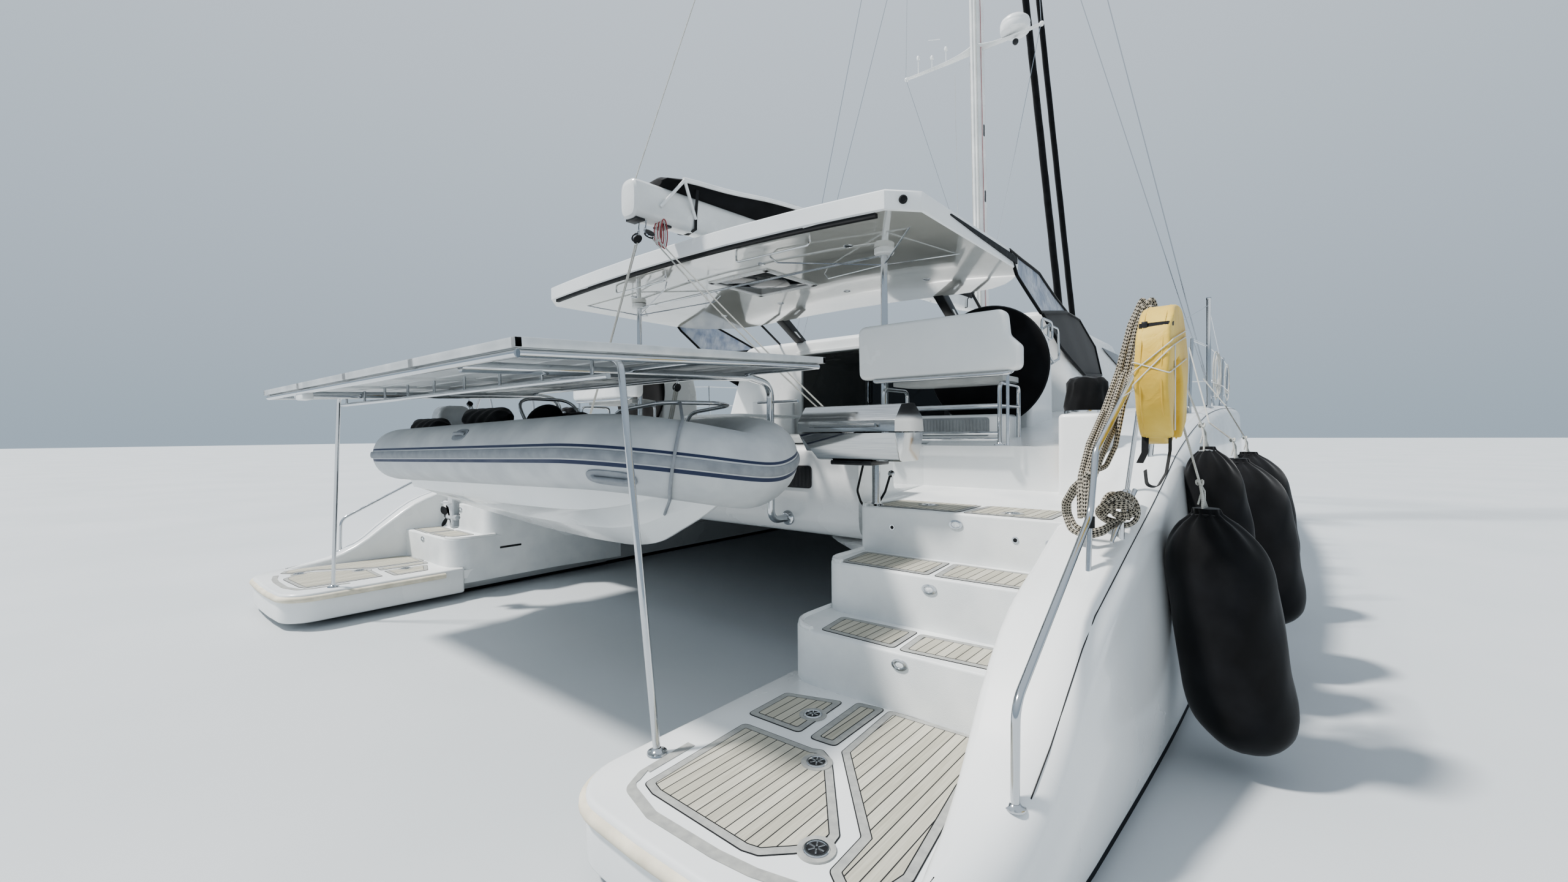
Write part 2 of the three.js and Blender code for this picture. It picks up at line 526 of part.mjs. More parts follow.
// Boom, hinged on the gooseneck pin, with the sail in its cloth bag on top
const BOOM_END_Y = -6280;
function boomRow(y, low, high, half) {
  return [[-half * 0.45, low], [half * 0.45, low], [half, mix(low, high, 0.4)], [half, high], [-half, high],
    [-half, mix(low, high, 0.4)]].map(([x, z]) => [x, y, z]);
}
const boomTube = loft([boomRow(BOOM_END_Y, 3578, 3925, 110), boomRow(-3500, 3700, 4010, 120),
  boomRow(BOOM_PIVOT[1] - 130, 3905, 4130, 85)], 'y');
const pinHole = rod([0, BOOM_PIVOT[1], 3800], [0, BOOM_PIVOT[1], 4200], PIN_R + PIN_CLEAR, PIN_SIDES);
const tang = rod([0, BOOM_PIVOT[1], 3955], [0, BOOM_PIVOT[1], 4090], 42, 10);
const tangPlate = box([-30, 30], [BOOM_PIVOT[1] - 140, BOOM_PIVOT[1]], [3957, 4088]);
add('boom', join(boomTube, tang, tangPlate).subtract(pinHole), painted);
function bagRow(y, low, high, half) {
  return [[-half * 0.8, low], [half * 0.8, low], [half, mix(low, high, 0.45)], [half * 0.45, high],
    [-half * 0.45, high], [-half, mix(low, high, 0.45)]].map(([x, z]) => [x, y, z]);
}
const sailBag = loft([bagRow(BOOM_END_Y + 330, 3936 + SEAT_GAP, 4130, 150), bagRow(-4600, 3976, 4330, 260),
  bagRow(-1500, 4055, 4560, 300), bagRow(900, 4116, 4900, 230), bagRow(1270, 4135, 5000, 130)], 'y');
add('sail_bag', clear(sailBag, join(boomTube, tang, tangPlate), [0, 0, 1]), darkCloth);

// Furled headsails on their stays, and the shrouds
const BOWSPRIT_Z = 1790;
const SPRIT_Y = [4300, 9600];
const SPRIT_R = [75, 60];
const SPRIT_FOOT = { half: 90, y: [4383, 4440] };
function stayRod(from, to, radius, endRadius) {
  return rod(from, to, radius, 10, endRadius);
}
const genoaFoot = [0, 8150, 1950];
const genoaHead = [0, mastAt(18800) + 150, 18800];
const codeFoot = [0, 9430, 1950];
const codeHead = [0, mastAt(21700) + 115, 21700];
function headsail(foot, head, low, high) {
  const a = new THREE.Vector3(...foot);
  const b = new THREE.Vector3(...head);
  const at = (t) => a.clone().lerp(b, t).toArray();
  return join(stayRod(at(0), at(1), 11, 11), stayRod(at(0.012), at(0.86), low, high),
    stayRod(at(0.001), at(0.014), 75, 75));
}
const bowspritTube = rod([0, SPRIT_Y[0], BOWSPRIT_Z], [0, SPRIT_Y[1], BOWSPRIT_Z], SPRIT_R[0], 12, SPRIT_R[1]);
const sprit = join(bowspritTube,
  box([-20, 20], [genoaFoot[1] - 60, genoaFoot[1] + 60], [BOWSPRIT_Z, genoaFoot[2] - 20]),
  box([-20, 20], [codeFoot[1] - 60, codeFoot[1] + 60], [BOWSPRIT_Z, codeFoot[2] - 20]));
const genoa = headsail(genoaFoot, genoaHead, 95, 55);
const codeSail = headsail(codeFoot, codeHead, 80, 45);
add('genoa_furled', clear(clear(genoa, mast, [0, 1, 0]), sprit, [0, 0, 1]), darkCloth);
add('code_sail_furled', clear(clear(codeSail, mast, [0, 1, 0]), sprit, [0, 0, 1]), darkCloth);
const CHAINPLATE = [3690, 250];
const plateZ = along(SHEER_Z, CHAINPLATE[1]);
const shroudFoot = [...CHAINPLATE, plateZ + 60];
const shroudHeads = [18600, 15200];
const shroudWires = shroudHeads.map((z) => rod(shroudFoot, [60, mastAt(z), z], 8, 6));
const chainplate = box([shroudFoot[0] - 12, shroudFoot[0] + 12], [CHAINPLATE[1] - 60, CHAINPLATE[1] + 60],
  [plateZ - 60, plateZ + 80]);
const shroud = clear(clear(join(...shroudWires, chainplate), hull, [0, 0, 1]), mast, [1, 0, 0]);
addPair('shrouds', shroud, stainless);

// Forward structure: crossbeam, bowsprit and the two nets between them and the hulls
const bothHulls = (shape, step) => shape.subtract(hull.translate([-step, 0, 0]))
  .subtract(mirrored(hull).translate([step, 0, 0]));
const crossbeamTube = rod([-3300, BEAM_Y, BEAM_Z - 20], [3300, BEAM_Y, BEAM_Z - 20], 110, 12);
const spritHole = rod([0, SPRIT_Y[0], BOWSPRIT_Z], [0, SPRIT_Y[1], BOWSPRIT_Z], SPRIT_R[0] + SEAT_GAP, 12,
  SPRIT_R[1] + SEAT_GAP);
const crossbeam = bothHulls(crossbeamTube, SEAT_GAP).subtract(spritHole);
add('crossbeam', crossbeam, blackAlloy);
const seagull = join(
  rod([0, 8150, BOWSPRIT_Z - 40], [0, 7700, BOWSPRIT_Z - 420], 14, 6),
  rod([0, 7700, BOWSPRIT_Z - 420], [0, 7100, BOWSPRIT_Z - 40], 14, 6));
const spritFoot = box([-SPRIT_FOOT.half, SPRIT_FOOT.half], SPRIT_FOOT.y,
  [BOWSPRIT_Z - SPRIT_FOOT.half, BOWSPRIT_Z + SPRIT_FOOT.half]);
add('bowsprit', clear(join(sprit, seagull, spritFoot), bridgedeck, [0, 1, 0]), painted);
const NET_Z = 1783;
const net = box([0, 3150], [SPRIT_Y[0], BEAM_Y], [NET_Z, NET_Z + 14]).subtract(hull.translate([-SEAT_GAP, 0, 0]))
  .subtract(box([-10, SPRIT_R[0] + SEAT_GAP], [4000, 9000], [1500, 2000]))
  .subtract(box([-10, SPRIT_FOOT.half + SEAT_GAP], [4000, SPRIT_FOOT.y[1] + SEAT_GAP], [1500, 2000]));
const netCut = clear(clear(net, crossbeam, [0, -1, 0]), bridgedeck, [0, 1, 0])
  .subtract(box([0, 4000], [BEAM_Y - 60, 9000], [1500, 2000]));
addPair('trampoline', netCut, netting);

// Guard rails: pulpit, stanchions and two wires a side, as one welded and rigged run
const STANCHIONS = [-3350, -1700, 2000, 3900, 5700];
const RAIL_RISE = 640;
function edgeX(y) {
  return along(SHEER_OUT, y) - EDGE_R - 20;
}
function deckPoint(y, rise) {
  return [edgeX(y), y, along(SHEER_Z, y) + rise];
}
const lifts = [RAIL_RISE - 20, 270];
const runs = [...STANCHIONS, 7000];
const wires = lifts.flatMap((rise) => runs.slice(1).map((y, i) => rod(deckPoint(runs[i], rise), deckPoint(y, rise),
  WIRE_R, 6)));
const stanchions = STANCHIONS.map((y) => rod(deckPoint(y, -40), deckPoint(y, RAIL_RISE), 13, 8));
const bowRail = bentTube([deckPoint(7000, -40), deckPoint(7000, RAIL_RISE), [3215, 8080, 2850], [3165, 7700, 2850],
  [3165, 7700, 2100]], 14, 6);
const guardRail = clear(join(...wires, ...stanchions, bowRail), hull, [0, 0, 1]);
addPair('guard_rail', guardRail, stainless);

// Stern rails: a handrail up the wing to the pushpit, which leans outboard
const sternRailPath = [[3700, -7450, 420], [3700, -7440, 770], [3700, -6400, 1300], [3700, -6290, 1600],
  [3830, -5900, 2050], [3860, -5800, 2300], [3840, -5120, 2330], [3740, -5080, 1400]];
const sternRail = clear(join(
  bentTube(sternRailPath, RAIL_R, 8),
  rod([3700, -6450, 950], [3700, -6400, 1300], RAIL_R, 8),
  rod([3720, -5640, 1350], [3850, -5720, 2290], RAIL_R, 8),
  rod([3790, -5700, 1900], [3790, -5100, 1880], 11, 6),
), hull, [0, 0, 1]);
addPair('stern_rail', sternRail, stainless);

// Solar array over the tender, on a tube frame whose two davits come out of the bridgedeck's aft face
const ARRAY = [[-8370, 2080], [-6300, 2190]];
const ARRAY_HALF = 2110;
const arraySide = outline([[ARRAY[0][0], ARRAY[0][1]], [ARRAY[0][0], ARRAY[0][1] + 40], [ARRAY[1][0], ARRAY[1][1] + 40],
  [ARRAY[1][0], ARRAY[1][1]]]);
const solarArray = alongX(arraySide, -ARRAY_HALF, ARRAY_HALF);
add('solar_array', solarArray, solarGlass);
function arrayZ(y) {
  return mix(ARRAY[0][1], ARRAY[1][1], (y - ARRAY[0][0]) / (ARRAY[1][0] - ARRAY[0][0]));
}
const BAR_R = 20;
const DAVIT_R = 28;
const underArray = (x, y, radius) => [x, y, arrayZ(y) - radius - SEAT_GAP];
const barBetween = ([x0, y0], [x1, y1]) => rod(underArray(x0, y0, BAR_R), underArray(x1, y1, BAR_R), BAR_R, 8);
const DAVIT_X = 1460;
const DAVIT_Y = -6100;
const DAVIT_Z = 1050;
const davits = [-DAVIT_X, DAVIT_X].map((x) => join(
  bentTube([[x, COCKPIT_AFT_Y, DAVIT_Z], [x, DAVIT_Y, DAVIT_Z], [x, DAVIT_Y, 2060], underArray(x, -6330, DAVIT_R),
    underArray(x, -8300, DAVIT_R)], DAVIT_R, 8),
  rod([x, COCKPIT_AFT_Y, DAVIT_Z], [x, COCKPIT_AFT_Y - 12, DAVIT_Z], 55, 12)));
const poles = [-1, 1].map((side) => bentTube([[side * 2316, -7864, 300], [side * 2075, -7860, 2030],
  underArray(side * 1990, -7860, 17)], 17, 8));
const arrayFrame = clear(clear(join(
  ...davits, ...poles,
  barBetween([-2070, -8300], [-2070, -6350]),
  barBetween([2070, -8300], [2070, -6350]),
  barBetween([-2080, -8280], [2080, -8280]),
  barBetween([-2080, -6370], [2080, -6370]),
  barBetween([-2080, -7860], [2080, -7860]),
), join(hull, mirrored(hull)), [0, 0, 1]), bridgedeck, [0, -1, 0]);
add('array_frame', arrayFrame, stainless);

// Tender: an inflatable collar on a moulded hull, slung athwart with its bow to starboard
const TENDER_Y = -7000;
const TENDER_X = [-1750, 2265];
const TUBE_R = 215;
const TENDER_HALF = 560;
const TUBE_RISE = [1535, 1600]; // height of the straight tubes at the stern, and where the bow's bend starts
const BEND_X = 1300;
const BOW_Z = 1490; // it hangs bow down
const collarPath = new THREE.CurvePath();
const corner = (x, side) => new THREE.Vector3(x, TENDER_Y + side * TENDER_HALF,
  mix(...TUBE_RISE, (x - TENDER_X[0]) / (BEND_X - TENDER_X[0])));
const bowX = TENDER_X[1] - TUBE_R;
const nose = (side) => new THREE.Vector3(bowX, TENDER_Y + side * 100, BOW_Z);
collarPath.add(new THREE.LineCurve3(corner(TENDER_X[0], -1), corner(BEND_X, -1)));
collarPath.add(new THREE.CubicBezierCurve3(corner(BEND_X, -1), corner(BEND_X + 600, -1), nose(-1), nose(0)));
collarPath.add(new THREE.CubicBezierCurve3(nose(0), nose(1), corner(BEND_X + 600, 1), corner(BEND_X, 1)));
collarPath.add(new THREE.LineCurve3(corner(BEND_X, 1), corner(TENDER_X[0], 1)));
function collarOf(radius) {
  const circle = new THREE.Shape().absarc(0, 0, radius, 0, 2 * Math.PI, false);
  return solid(new THREE.ExtrudeGeometry(circle, { extrudePath: collarPath, steps: 22, curveSegments: 6,
    bevelEnabled: false }));
}
const collar = collarOf(TUBE_R);
add('tender_collar', collar, greyFabric);
const TENDER_ROWS = [ // place, keel, chine, floor, half breadth
  [-1690, 1060, 1250, 1330, 400], [0, 960, 1220, 1340, 420], [900, 945, 1230, 1360, 380], [1250, 990, 1270, 1400, 300],
  [1500, 1100, 1330, 1420, 220], [1750, 1230, 1400, 1450, 110], [1900, 1330, 1440, 1480, 50]];
const tenderRings = TENDER_ROWS.map(([x, keelZ, chineZ, floorZ, half]) => [
  [x, TENDER_Y, keelZ], [x, TENDER_Y + half, chineZ], [x, TENDER_Y + half + 60, floorZ + 70],
  [x, TENDER_Y - half - 60, floorZ + 70], [x, TENDER_Y - half, chineZ]]);
const transom = box([TENDER_X[0] + 120, TENDER_X[0] + 180], [TENDER_Y - 460, TENDER_Y + 460], [1300, 1640]);
const EYES = { aft: [-1250, 1380], fore: [1350, 1440] }; // where each lifting eye stands, and its foot
const EYE_Z = 1560;
const eyes = Object.values(EYES).map(([x, foot]) => rod([x, TENDER_Y, foot], [x, TENDER_Y, EYE_Z], 22, 8));
const tenderHull = join(loft(tenderRings, 'x'), transom, ...eyes,
  box([-350, 250], [TENDER_Y - 300, TENDER_Y + 300], [1380, 1760]));
add('tender_hull', tenderHull.subtract(collarOf(TUBE_R + 0.5)), painted);

// The two falls that carry it lead from the davits down to its eyes
for (const [place, [x]] of Object.entries(EYES)) {
  const fall = rod([x, TENDER_Y, EYE_Z + SEAT_GAP], underArray(Math.sign(x) * DAVIT_X, TENDER_Y, DAVIT_R), 10, 6);
  const cutEye = fall.subtract(box([-3000, 3000], [-8000, -6000], [1000, EYE_Z + SEAT_GAP]));
  add(`tender_fall_${place}`, clear(cutEye, arrayFrame, [0, 0, -1]), netting);
}

// Outboard motor, hinged to tilt on the tender's transom
const TRANSOM_X = TENDER_X[0] + 120;
const TILT_PIN = [TRANSOM_X - 115, TENDER_Y, 1665];
const TILT_TUBE_HALF = 100;
const EAR_THICK = 22;
const earTop = TILT_PIN[2] + 12; // low enough for the cowl to tilt over
const ears = [-1, 1].map((side) => {
  const near = TENDER_Y + side * (TILT_TUBE_HALF + SEAT_GAP);
  const far = near + side * EAR_THICK;
  return box([TILT_PIN[0] - 28, TRANSOM_X - SEAT_GAP], [Math.min(near, far), Math.max(near, far)], [1560, earTop]);
});
const clampBracket = join(...ears,
  box([TRANSOM_X - 40, TRANSOM_X - SEAT_GAP], [TENDER_Y - 120, TENDER_Y + 120], [1420, 1645]),
  box([TRANSOM_X - 40, TRANSOM_X + 90], [TENDER_Y - 120, TENDER_Y + 120], [1640 + SEAT_GAP, 1662]));
add('outboard_bracket', clampBracket, blackAlloy);
const LEG_X = TILT_PIN[0] - 100;
const PROP_Z = 905;
const cowlRows = [[1700, 115], [1760, 160], [1900, 155], [1985, 95]].map(([z, half]) => [
  [LEG_X - 160, TENDER_Y - half * 0.6, z], [LEG_X - 90, TENDER_Y - half, z],
  [TILT_PIN[0] - 4, TENDER_Y - half, z], [TILT_PIN[0] - 4, TENDER_Y + half, z],
  [LEG_X - 90, TENDER_Y + half, z], [LEG_X - 160, TENDER_Y + half * 0.6, z]]);
const legSide = outline([[LEG_X - 70, 1710], [LEG_X - 60, 1030], [LEG_X - 95, 1020], [LEG_X - 95, 1000],
  [LEG_X - 40, 990], [LEG_X - 10, 800], [LEG_X + 50, 800], [LEG_X + 60, 1000], [LEG_X + 55, 1710]]);
const outboard = join(
  loft(cowlRows, 'z'),
  alongY(legSide, TENDER_Y - 35, TENDER_Y + 35),
  rod([LEG_X - 90, TENDER_Y, PROP_Z], [LEG_X + 95, TENDER_Y, PROP_Z], 38, 10),
  rod([TILT_PIN[0], TENDER_Y - TILT_TUBE_HALF, TILT_PIN[2]], [TILT_PIN[0], TENDER_Y + TILT_TUBE_HALF, TILT_PIN[2]], 18, 8),
  box([LEG_X, TILT_PIN[0]], [TENDER_Y - 60, TENDER_Y + 60], [1610, 1690]),
);
add('outboard', outboard, painted);

// Screws: a hub with blades on an axis
function screw(hubRadius, hubLength, radius, blades) {
  const hub = new THREE.CylinderGeometry(hubRadius, hubRadius * 0.75, hubLength, 10);
  const parts = [solid(hub)];
  for (let i = 0; i < blades; i += 1) {
    const blade = new THREE.BoxGeometry(radius * 0.55, 5, radius - hubRadius * 0.5);
    blade.rotateZ(0.5).translate(0, 0, (radius + hubRadius * 0.5) / 2).rotateY((i / blades) * 2 * Math.PI);
    parts.push(solid(blade));
  }
  return join(...parts);
}
const outboardScrew = screw(30, 90, 115, 3).rotate([0, 0, 90]).translate([LEG_X - 90 - 45.5, TENDER_Y, PROP_Z]);
add('outboard_propeller', outboardScrew, blackAlloy);

// Barbecue on a post at the inner edge of the last step
const GRILL_X = [1800, 2620];
const GRILL_Y = -6130;
const GRILL_POST = [2290, -5980];
const grillSide = outline([[GRILL_Y - 190, 1700], [GRILL_Y - 120, 1520], [GRILL_Y + 120, 1520], [GRILL_Y + 190, 1700]]);
const LID_PIN = [GRILL_Y + 212, 1712];
const HINGE_X = [GRILL_X[0] + 150, GRILL_X[1] - 110];
const grillHollow = outline([[GRILL_Y - 172, 1710], [GRILL_Y - 106, 1540], [GRILL_Y + 106, 1540], [GRILL_Y + 172, 1710]]);
const grillBody = clear(join(
  alongX(grillSide, ...GRILL_X).subtract(alongX(grillHollow, GRILL_X[0] + 15, GRILL_X[1] - 15)),
  rod([...GRILL_POST, 1200], [...GRILL_POST, 1530], 28, 10),
  rod([...GRILL_POST, 1200], [...GRILL_POST, 1222], 60, 10),
  ...HINGE_X.map((x) => join(box([x - 40, x - 31], [GRILL_Y + 150, LID_PIN[0] + 8], [1640, 1698]),
    box([x - 40, x - 31], [GRILL_Y + 197, LID_PIN[0] + 8], [1690, 1720]))),
  ...HINGE_X.map((x) => rod([x - 35, ...LID_PIN], [x + 30, ...LID_PIN], 6, 8)),
), hull, [0, 0, 1]);
add('barbecue', grillBody, stainless);
const lidSide = outline([[GRILL_Y - 190, 1706], [GRILL_Y - 185, 1760], [GRILL_Y - 110, 1865], [GRILL_Y + 60, 1885],
  [GRILL_Y + 170, 1800], [GRILL_Y + 190, 1706]]);
const lidInside = outline([[GRILL_Y - 175, 1690], [GRILL_Y - 170, 1755], [GRILL_Y - 105, 1850], [GRILL_Y + 55, 1870],
  [GRILL_Y + 155, 1790], [GRILL_Y + 172, 1690]]);
const knuckles = HINGE_X.map((x) => join(rod([x - 30, ...LID_PIN], [x + 30, ...LID_PIN], 14, 10),
  box([x - 30, x + 30], [GRILL_Y + 180, LID_PIN[0]], [1708, 1724])));
const hingeBore = rod([GRILL_X[0], ...LID_PIN], [GRILL_X[1], ...LID_PIN], 7, 8);
const lid = join(
  alongX(lidSide, ...GRILL_X).subtract(alongX(lidInside, GRILL_X[0] + 12, GRILL_X[1] - 12)),
  rod([GRILL_X[0] + 120, GRILL_Y - 215, 1745], [GRILL_X[1] - 120, GRILL_Y - 215, 1745], 11, 6),
  box([GRILL_X[0] + 130, GRILL_X[0] + 145], [GRILL_Y - 222, GRILL_Y - 178], [1735, 1755]),
  box([GRILL_X[1] - 145, GRILL_X[1] - 130], [GRILL_Y - 222, GRILL_Y - 178], [1735, 1755]),
  ...knuckles,
).subtract(hingeBore);
add('barbecue_lid', lid, stainless);

// Lifebuoy in its yellow cover on the starboard pushpit
const BUOY = { at: [-6080, 1965], half: [270, 335], x: [3850, 3995] };
const buoy = alongX(new THREE.Shape().absellipse(...BUOY.at, ...BUOY.half, 0, 2 * Math.PI), ...BUOY.x);
add('lifebuoy', clear(buoy, sternRail, [1, 0, 0]), yellowCloth);

// Fenders against the starboard topside: place, foot, top, radius. Each bears on it at its shoulder and hangs
// with its foot a little outboard.
const FENDERS = [[-5750, 100, 1300, 235], [-4150, 350, 1500, 250], [-2500, 420, 1500, 250], [-5000, 700, 1600, 155]];
const TOPSIDE = 13; // how far the topside stands out beyond the deck edge at a shoulder's height
const SQUASH = 11; // how far each is pressed flat against the hull
const LEAN = 0.14; // outboard for each unit down
const SHOULDER = 330; // from either end of a fender to its full girth
FENDERS.forEach(([y, low, high, radius], i) => {
  const profile = [[0, low], [radius * 0.5, low + 25], [radius * 0.93, low + 150], [radius, low + SHOULDER],
    [radius, high - SHOULDER], [radius * 0.9, high - 170], [radius * 0.45, high - 50], [60, high], [0, high]];
  const body = new THREE.LatheGeometry(profile.map(([r, z]) => new THREE.Vector2(r, z)), 16).rotateX(Math.PI / 2);
  body.applyMatrix4(new THREE.Matrix4().set(1, 0, -LEAN, LEAN * (high - SHOULDER), 0, 1, 0, 0, 0, 0, 1, 0,
    0, 0, 0, 1));
  const side = along(SHEER_OUT, y) + TOPSIDE + radius - SQUASH;
  add(`fender_${i + 1}`, clear(solid(body.translate(side, y, 0)), hull, [1, 0, 0]), darkCloth);
});

// Under water: fixed keels, rudders on their stocks, saildrives and their screws
function foil(rows) {
  return loft(rows.map(([z, lead, chord, half, x]) => [[0, 0], [-0.12, 0.75], [-0.35, 1], [-0.7, 0.6], [-1, 0.06],
    [-1, -0.06], [-0.7, -0.6], [-0.35, -1], [-0.12, -0.75]].map(([u, v]) => [x + v * half, lead + u * chord, z])), 'z');
}
const keel = clear(foil([[-1350, 900, 2100, 130, HULL_X], [-300, 1450, 3100, 190, HULL_X]]), hull, [0, 0, -1]);
addPair('keel', keel, antifoul);
const rudderTop = BOSS_Z - 12;
const rudder = join(foil([[-1280, RUDDER_Y + 90, 380, 22, HULL_X], [rudderTop, RUDDER_Y + 120, 470, 34, HULL_X]]),
  rod([HULL_X, RUDDER_Y, rudderTop - 20], [HULL_X, RUDDER_Y, BOSS_Z - SEAT_GAP], 30, 10));
addPair('rudder', rudder, antifoul);
const SHAFT_Z = -1010;
const driveLeg = join(
  foil([[SHAFT_Z, DRIVE_Y + 110, 250, 50, HULL_X], [DRIVE_BOSS_Z - SEAT_GAP, DRIVE_Y + 130, 290, 60, HULL_X]]),
  rod([HULL_X, DRIVE_Y + 190, SHAFT_Z], [HULL_X, DRIVE_Y - 190, SHAFT_Z], 62, 10, 50));
addPair('saildrive', driveLeg, painted);
const driveScrew = screw(48, 130, 225, 3).translate([HULL_X, DRIVE_Y - 190 - 65.5, SHAFT_Z]);
addPair('propeller', driveScrew, bronze);

export default boat;
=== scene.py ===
import math
import random

import bmesh
import bpy
from mathutils import Matrix, Vector


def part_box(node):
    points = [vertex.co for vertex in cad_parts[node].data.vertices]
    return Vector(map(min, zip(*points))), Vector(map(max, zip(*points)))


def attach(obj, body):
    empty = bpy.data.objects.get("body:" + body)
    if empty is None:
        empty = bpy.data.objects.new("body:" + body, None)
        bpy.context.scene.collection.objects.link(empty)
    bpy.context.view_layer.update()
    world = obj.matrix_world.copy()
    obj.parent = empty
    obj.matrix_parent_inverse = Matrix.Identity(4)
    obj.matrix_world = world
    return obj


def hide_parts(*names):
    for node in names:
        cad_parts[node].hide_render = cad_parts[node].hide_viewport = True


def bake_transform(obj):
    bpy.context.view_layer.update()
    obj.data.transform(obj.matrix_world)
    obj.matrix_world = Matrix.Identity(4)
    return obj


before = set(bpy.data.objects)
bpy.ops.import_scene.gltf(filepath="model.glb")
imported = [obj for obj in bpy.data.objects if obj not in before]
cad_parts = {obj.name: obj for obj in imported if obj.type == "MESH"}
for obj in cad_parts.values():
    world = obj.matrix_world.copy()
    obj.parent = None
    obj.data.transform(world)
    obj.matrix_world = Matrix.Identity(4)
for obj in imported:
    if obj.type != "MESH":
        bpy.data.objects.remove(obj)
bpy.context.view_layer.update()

# Camera
# It stands off the starboard quarter at eye height, with a wide lens, and looks forward over both sterns.
CAMERA_PLACE = Vector((4.397, -9.524, 1.698))
CAMERA_YAW = math.radians(39.35)
CAMERA_PITCH = math.radians(-0.72)
CAMERA_ROLL = math.radians(-0.39)
ahead = Vector((-math.sin(CAMERA_YAW) * math.cos(CAMERA_PITCH), math.cos(CAMERA_YAW)
                * math.cos(CAMERA_PITCH), math.sin(CAMERA_PITCH)))
level = Vector((math.cos(CAMERA_YAW), math.sin(CAMERA_YAW), 0))
upright = level.cross(ahead)
right = level * math.cos(CAMERA_ROLL) + upright * math.sin(CAMERA_ROLL)
up = upright * math.cos(CAMERA_ROLL) - level * math.sin(CAMERA_ROLL)
camera = bpy.data.objects.new("camera", bpy.data.cameras.new("camera"))
bpy.context.scene.collection.objects.link(camera)
bpy.context.scene.camera = camera
camera.data.sensor_width = 36
camera.data.lens = 13.93
camera.data.clip_start = 0.05
camera.data.clip_end = 400
camera.matrix_world = Matrix((
    (right.x, up.x, -ahead.x, CAMERA_PLACE.x),
    (right.y, up.y, -ahead.y, CAMERA_PLACE.y),
    (right.z, up.z, -ahead.z, CAMERA_PLACE.z),
    (0, 0, 0, 1),
))

# Floor and light
# A pale matt floor lies at the waterline. A large soft sun stands high on the port quarter, and the rest
# of the light comes evenly from a pale sky.


def linear(code):
    """An sRGB hex colour as the linear one that shaders take."""
    parts = [int(code[i:i + 2], 16) / 255 for i in (0, 2, 4)]
    return [*(c / 12.92 if c <= 0.04045 else ((c + 0.055) / 1.055) ** 2.4 for c in parts), 1]


def add_node(tree, kind, inputs=None, **settings):
    """Adds a node. An input is a value, or a node and the name of its output, which are linked."""
    node = tree.nodes.new(kind)
    for name, value in settings.items():
        setattr(node, name, value)
    for key, value in (inputs or {}).items():
        if isinstance(value, tuple) and isinstance(value[0], bpy.types.Node):
            tree.links.new(value[0].outputs[value[1]], node.inputs[key])
        else:
            node.inputs[key].default_value = value
    return node


def reckon(tree, operation, first, second=None):
    """A node that works out a sum, a product or the like of one or two values."""
    inputs = {0: first} if second is None else {0: first, 1: second}
    return add_node(tree, "ShaderNodeMath", inputs, operation=operation)


def new_finish(name, sockets):
    """A material with those constant values on its shader."""
    finish = bpy.data.materials.new(name)
    finish.use_nodes = True
    shader = finish.node_tree.nodes["Principled BSDF"]
    for socket, value in sockets.items():
        shader.inputs[socket].default_value = value
    return finish, finish.node_tree, shader


def mottle(tree, shader, dark, light, vector, scale, detail=4):
    """Colours a surface between two near shades in soft patches."""
    noise = add_node(tree, "ShaderNodeTexNoise", {"Vector": vector, "Scale": scale, "Detail": detail})
    ramp = add_node(tree, "ShaderNodeValToRGB", {"Fac": (noise, "Fac")})
    ramp.color_ramp.elements[0].position = 0.35
    ramp.color_ramp.elements[0].color = linear(dark)
    ramp.color_ramp.elements[1].position = 0.65
    ramp.color_ramp.elements[1].color = linear(light)
    tree.links.new(ramp.outputs["Color"], shader.inputs["Base Color"])
    return noise, ramp


def vary(tree, shader, noise, low, high):
    """Lets the roughness wander between two values with a noise."""
    span = add_node(tree, "ShaderNodeMapRange", {"Value": (noise, "Fac"), "From Min": 0.3, "From Max": 0.7,
                                                 "To Min": low, "To Max": high})
    tree.links.new(span.outputs["Result"], shader.inputs["Roughness"])


def raise_grain(tree, shader, height, depth, strength=1.0):
    """Gives the shader a bump of that depth in metres."""
    bump = add_node(tree, "ShaderNodeBump", {"Height": height, "Distance": depth, "Strength": strength})
    tree.links.new(bump.outputs["Normal"], shader.inputs["Normal"])


def surface(name, sockets, dark, light, scale, detail=4, rough=None, grain=None, vector=None):
    """A finish in two near shades, its roughness wandering with them. A grain is a depth and a strength,
    with a scale, a detail and a distortion where it has a noise of its own."""
    finish, tree, shader = new_finish(name, sockets)
    coords = add_node(tree, "ShaderNodeTexCoord")
    if vector:
        vector = (add_node(tree, "ShaderNodeMapping", {"Vector": (coords, "Object"), "Scale": vector}),
                  "Vector")
    noise, ramp = mottle(tree, shader, dark, light, vector or (coords, "Object"), scale, detail)
    if rough:
        vary(tree, shader, noise, *rough)
    if grain:
        inputs = dict(zip(("Scale", "Detail", "Distortion"), grain[2:]))
        own = add_node(tree, "ShaderNodeTexNoise", {"Vector": (coords, "Object"),
                                                    **inputs}) if inputs else noise
        raise_grain(tree, shader, (own, "Fac"), *grain[:2])
    return finish, tree, shader, coords, noise


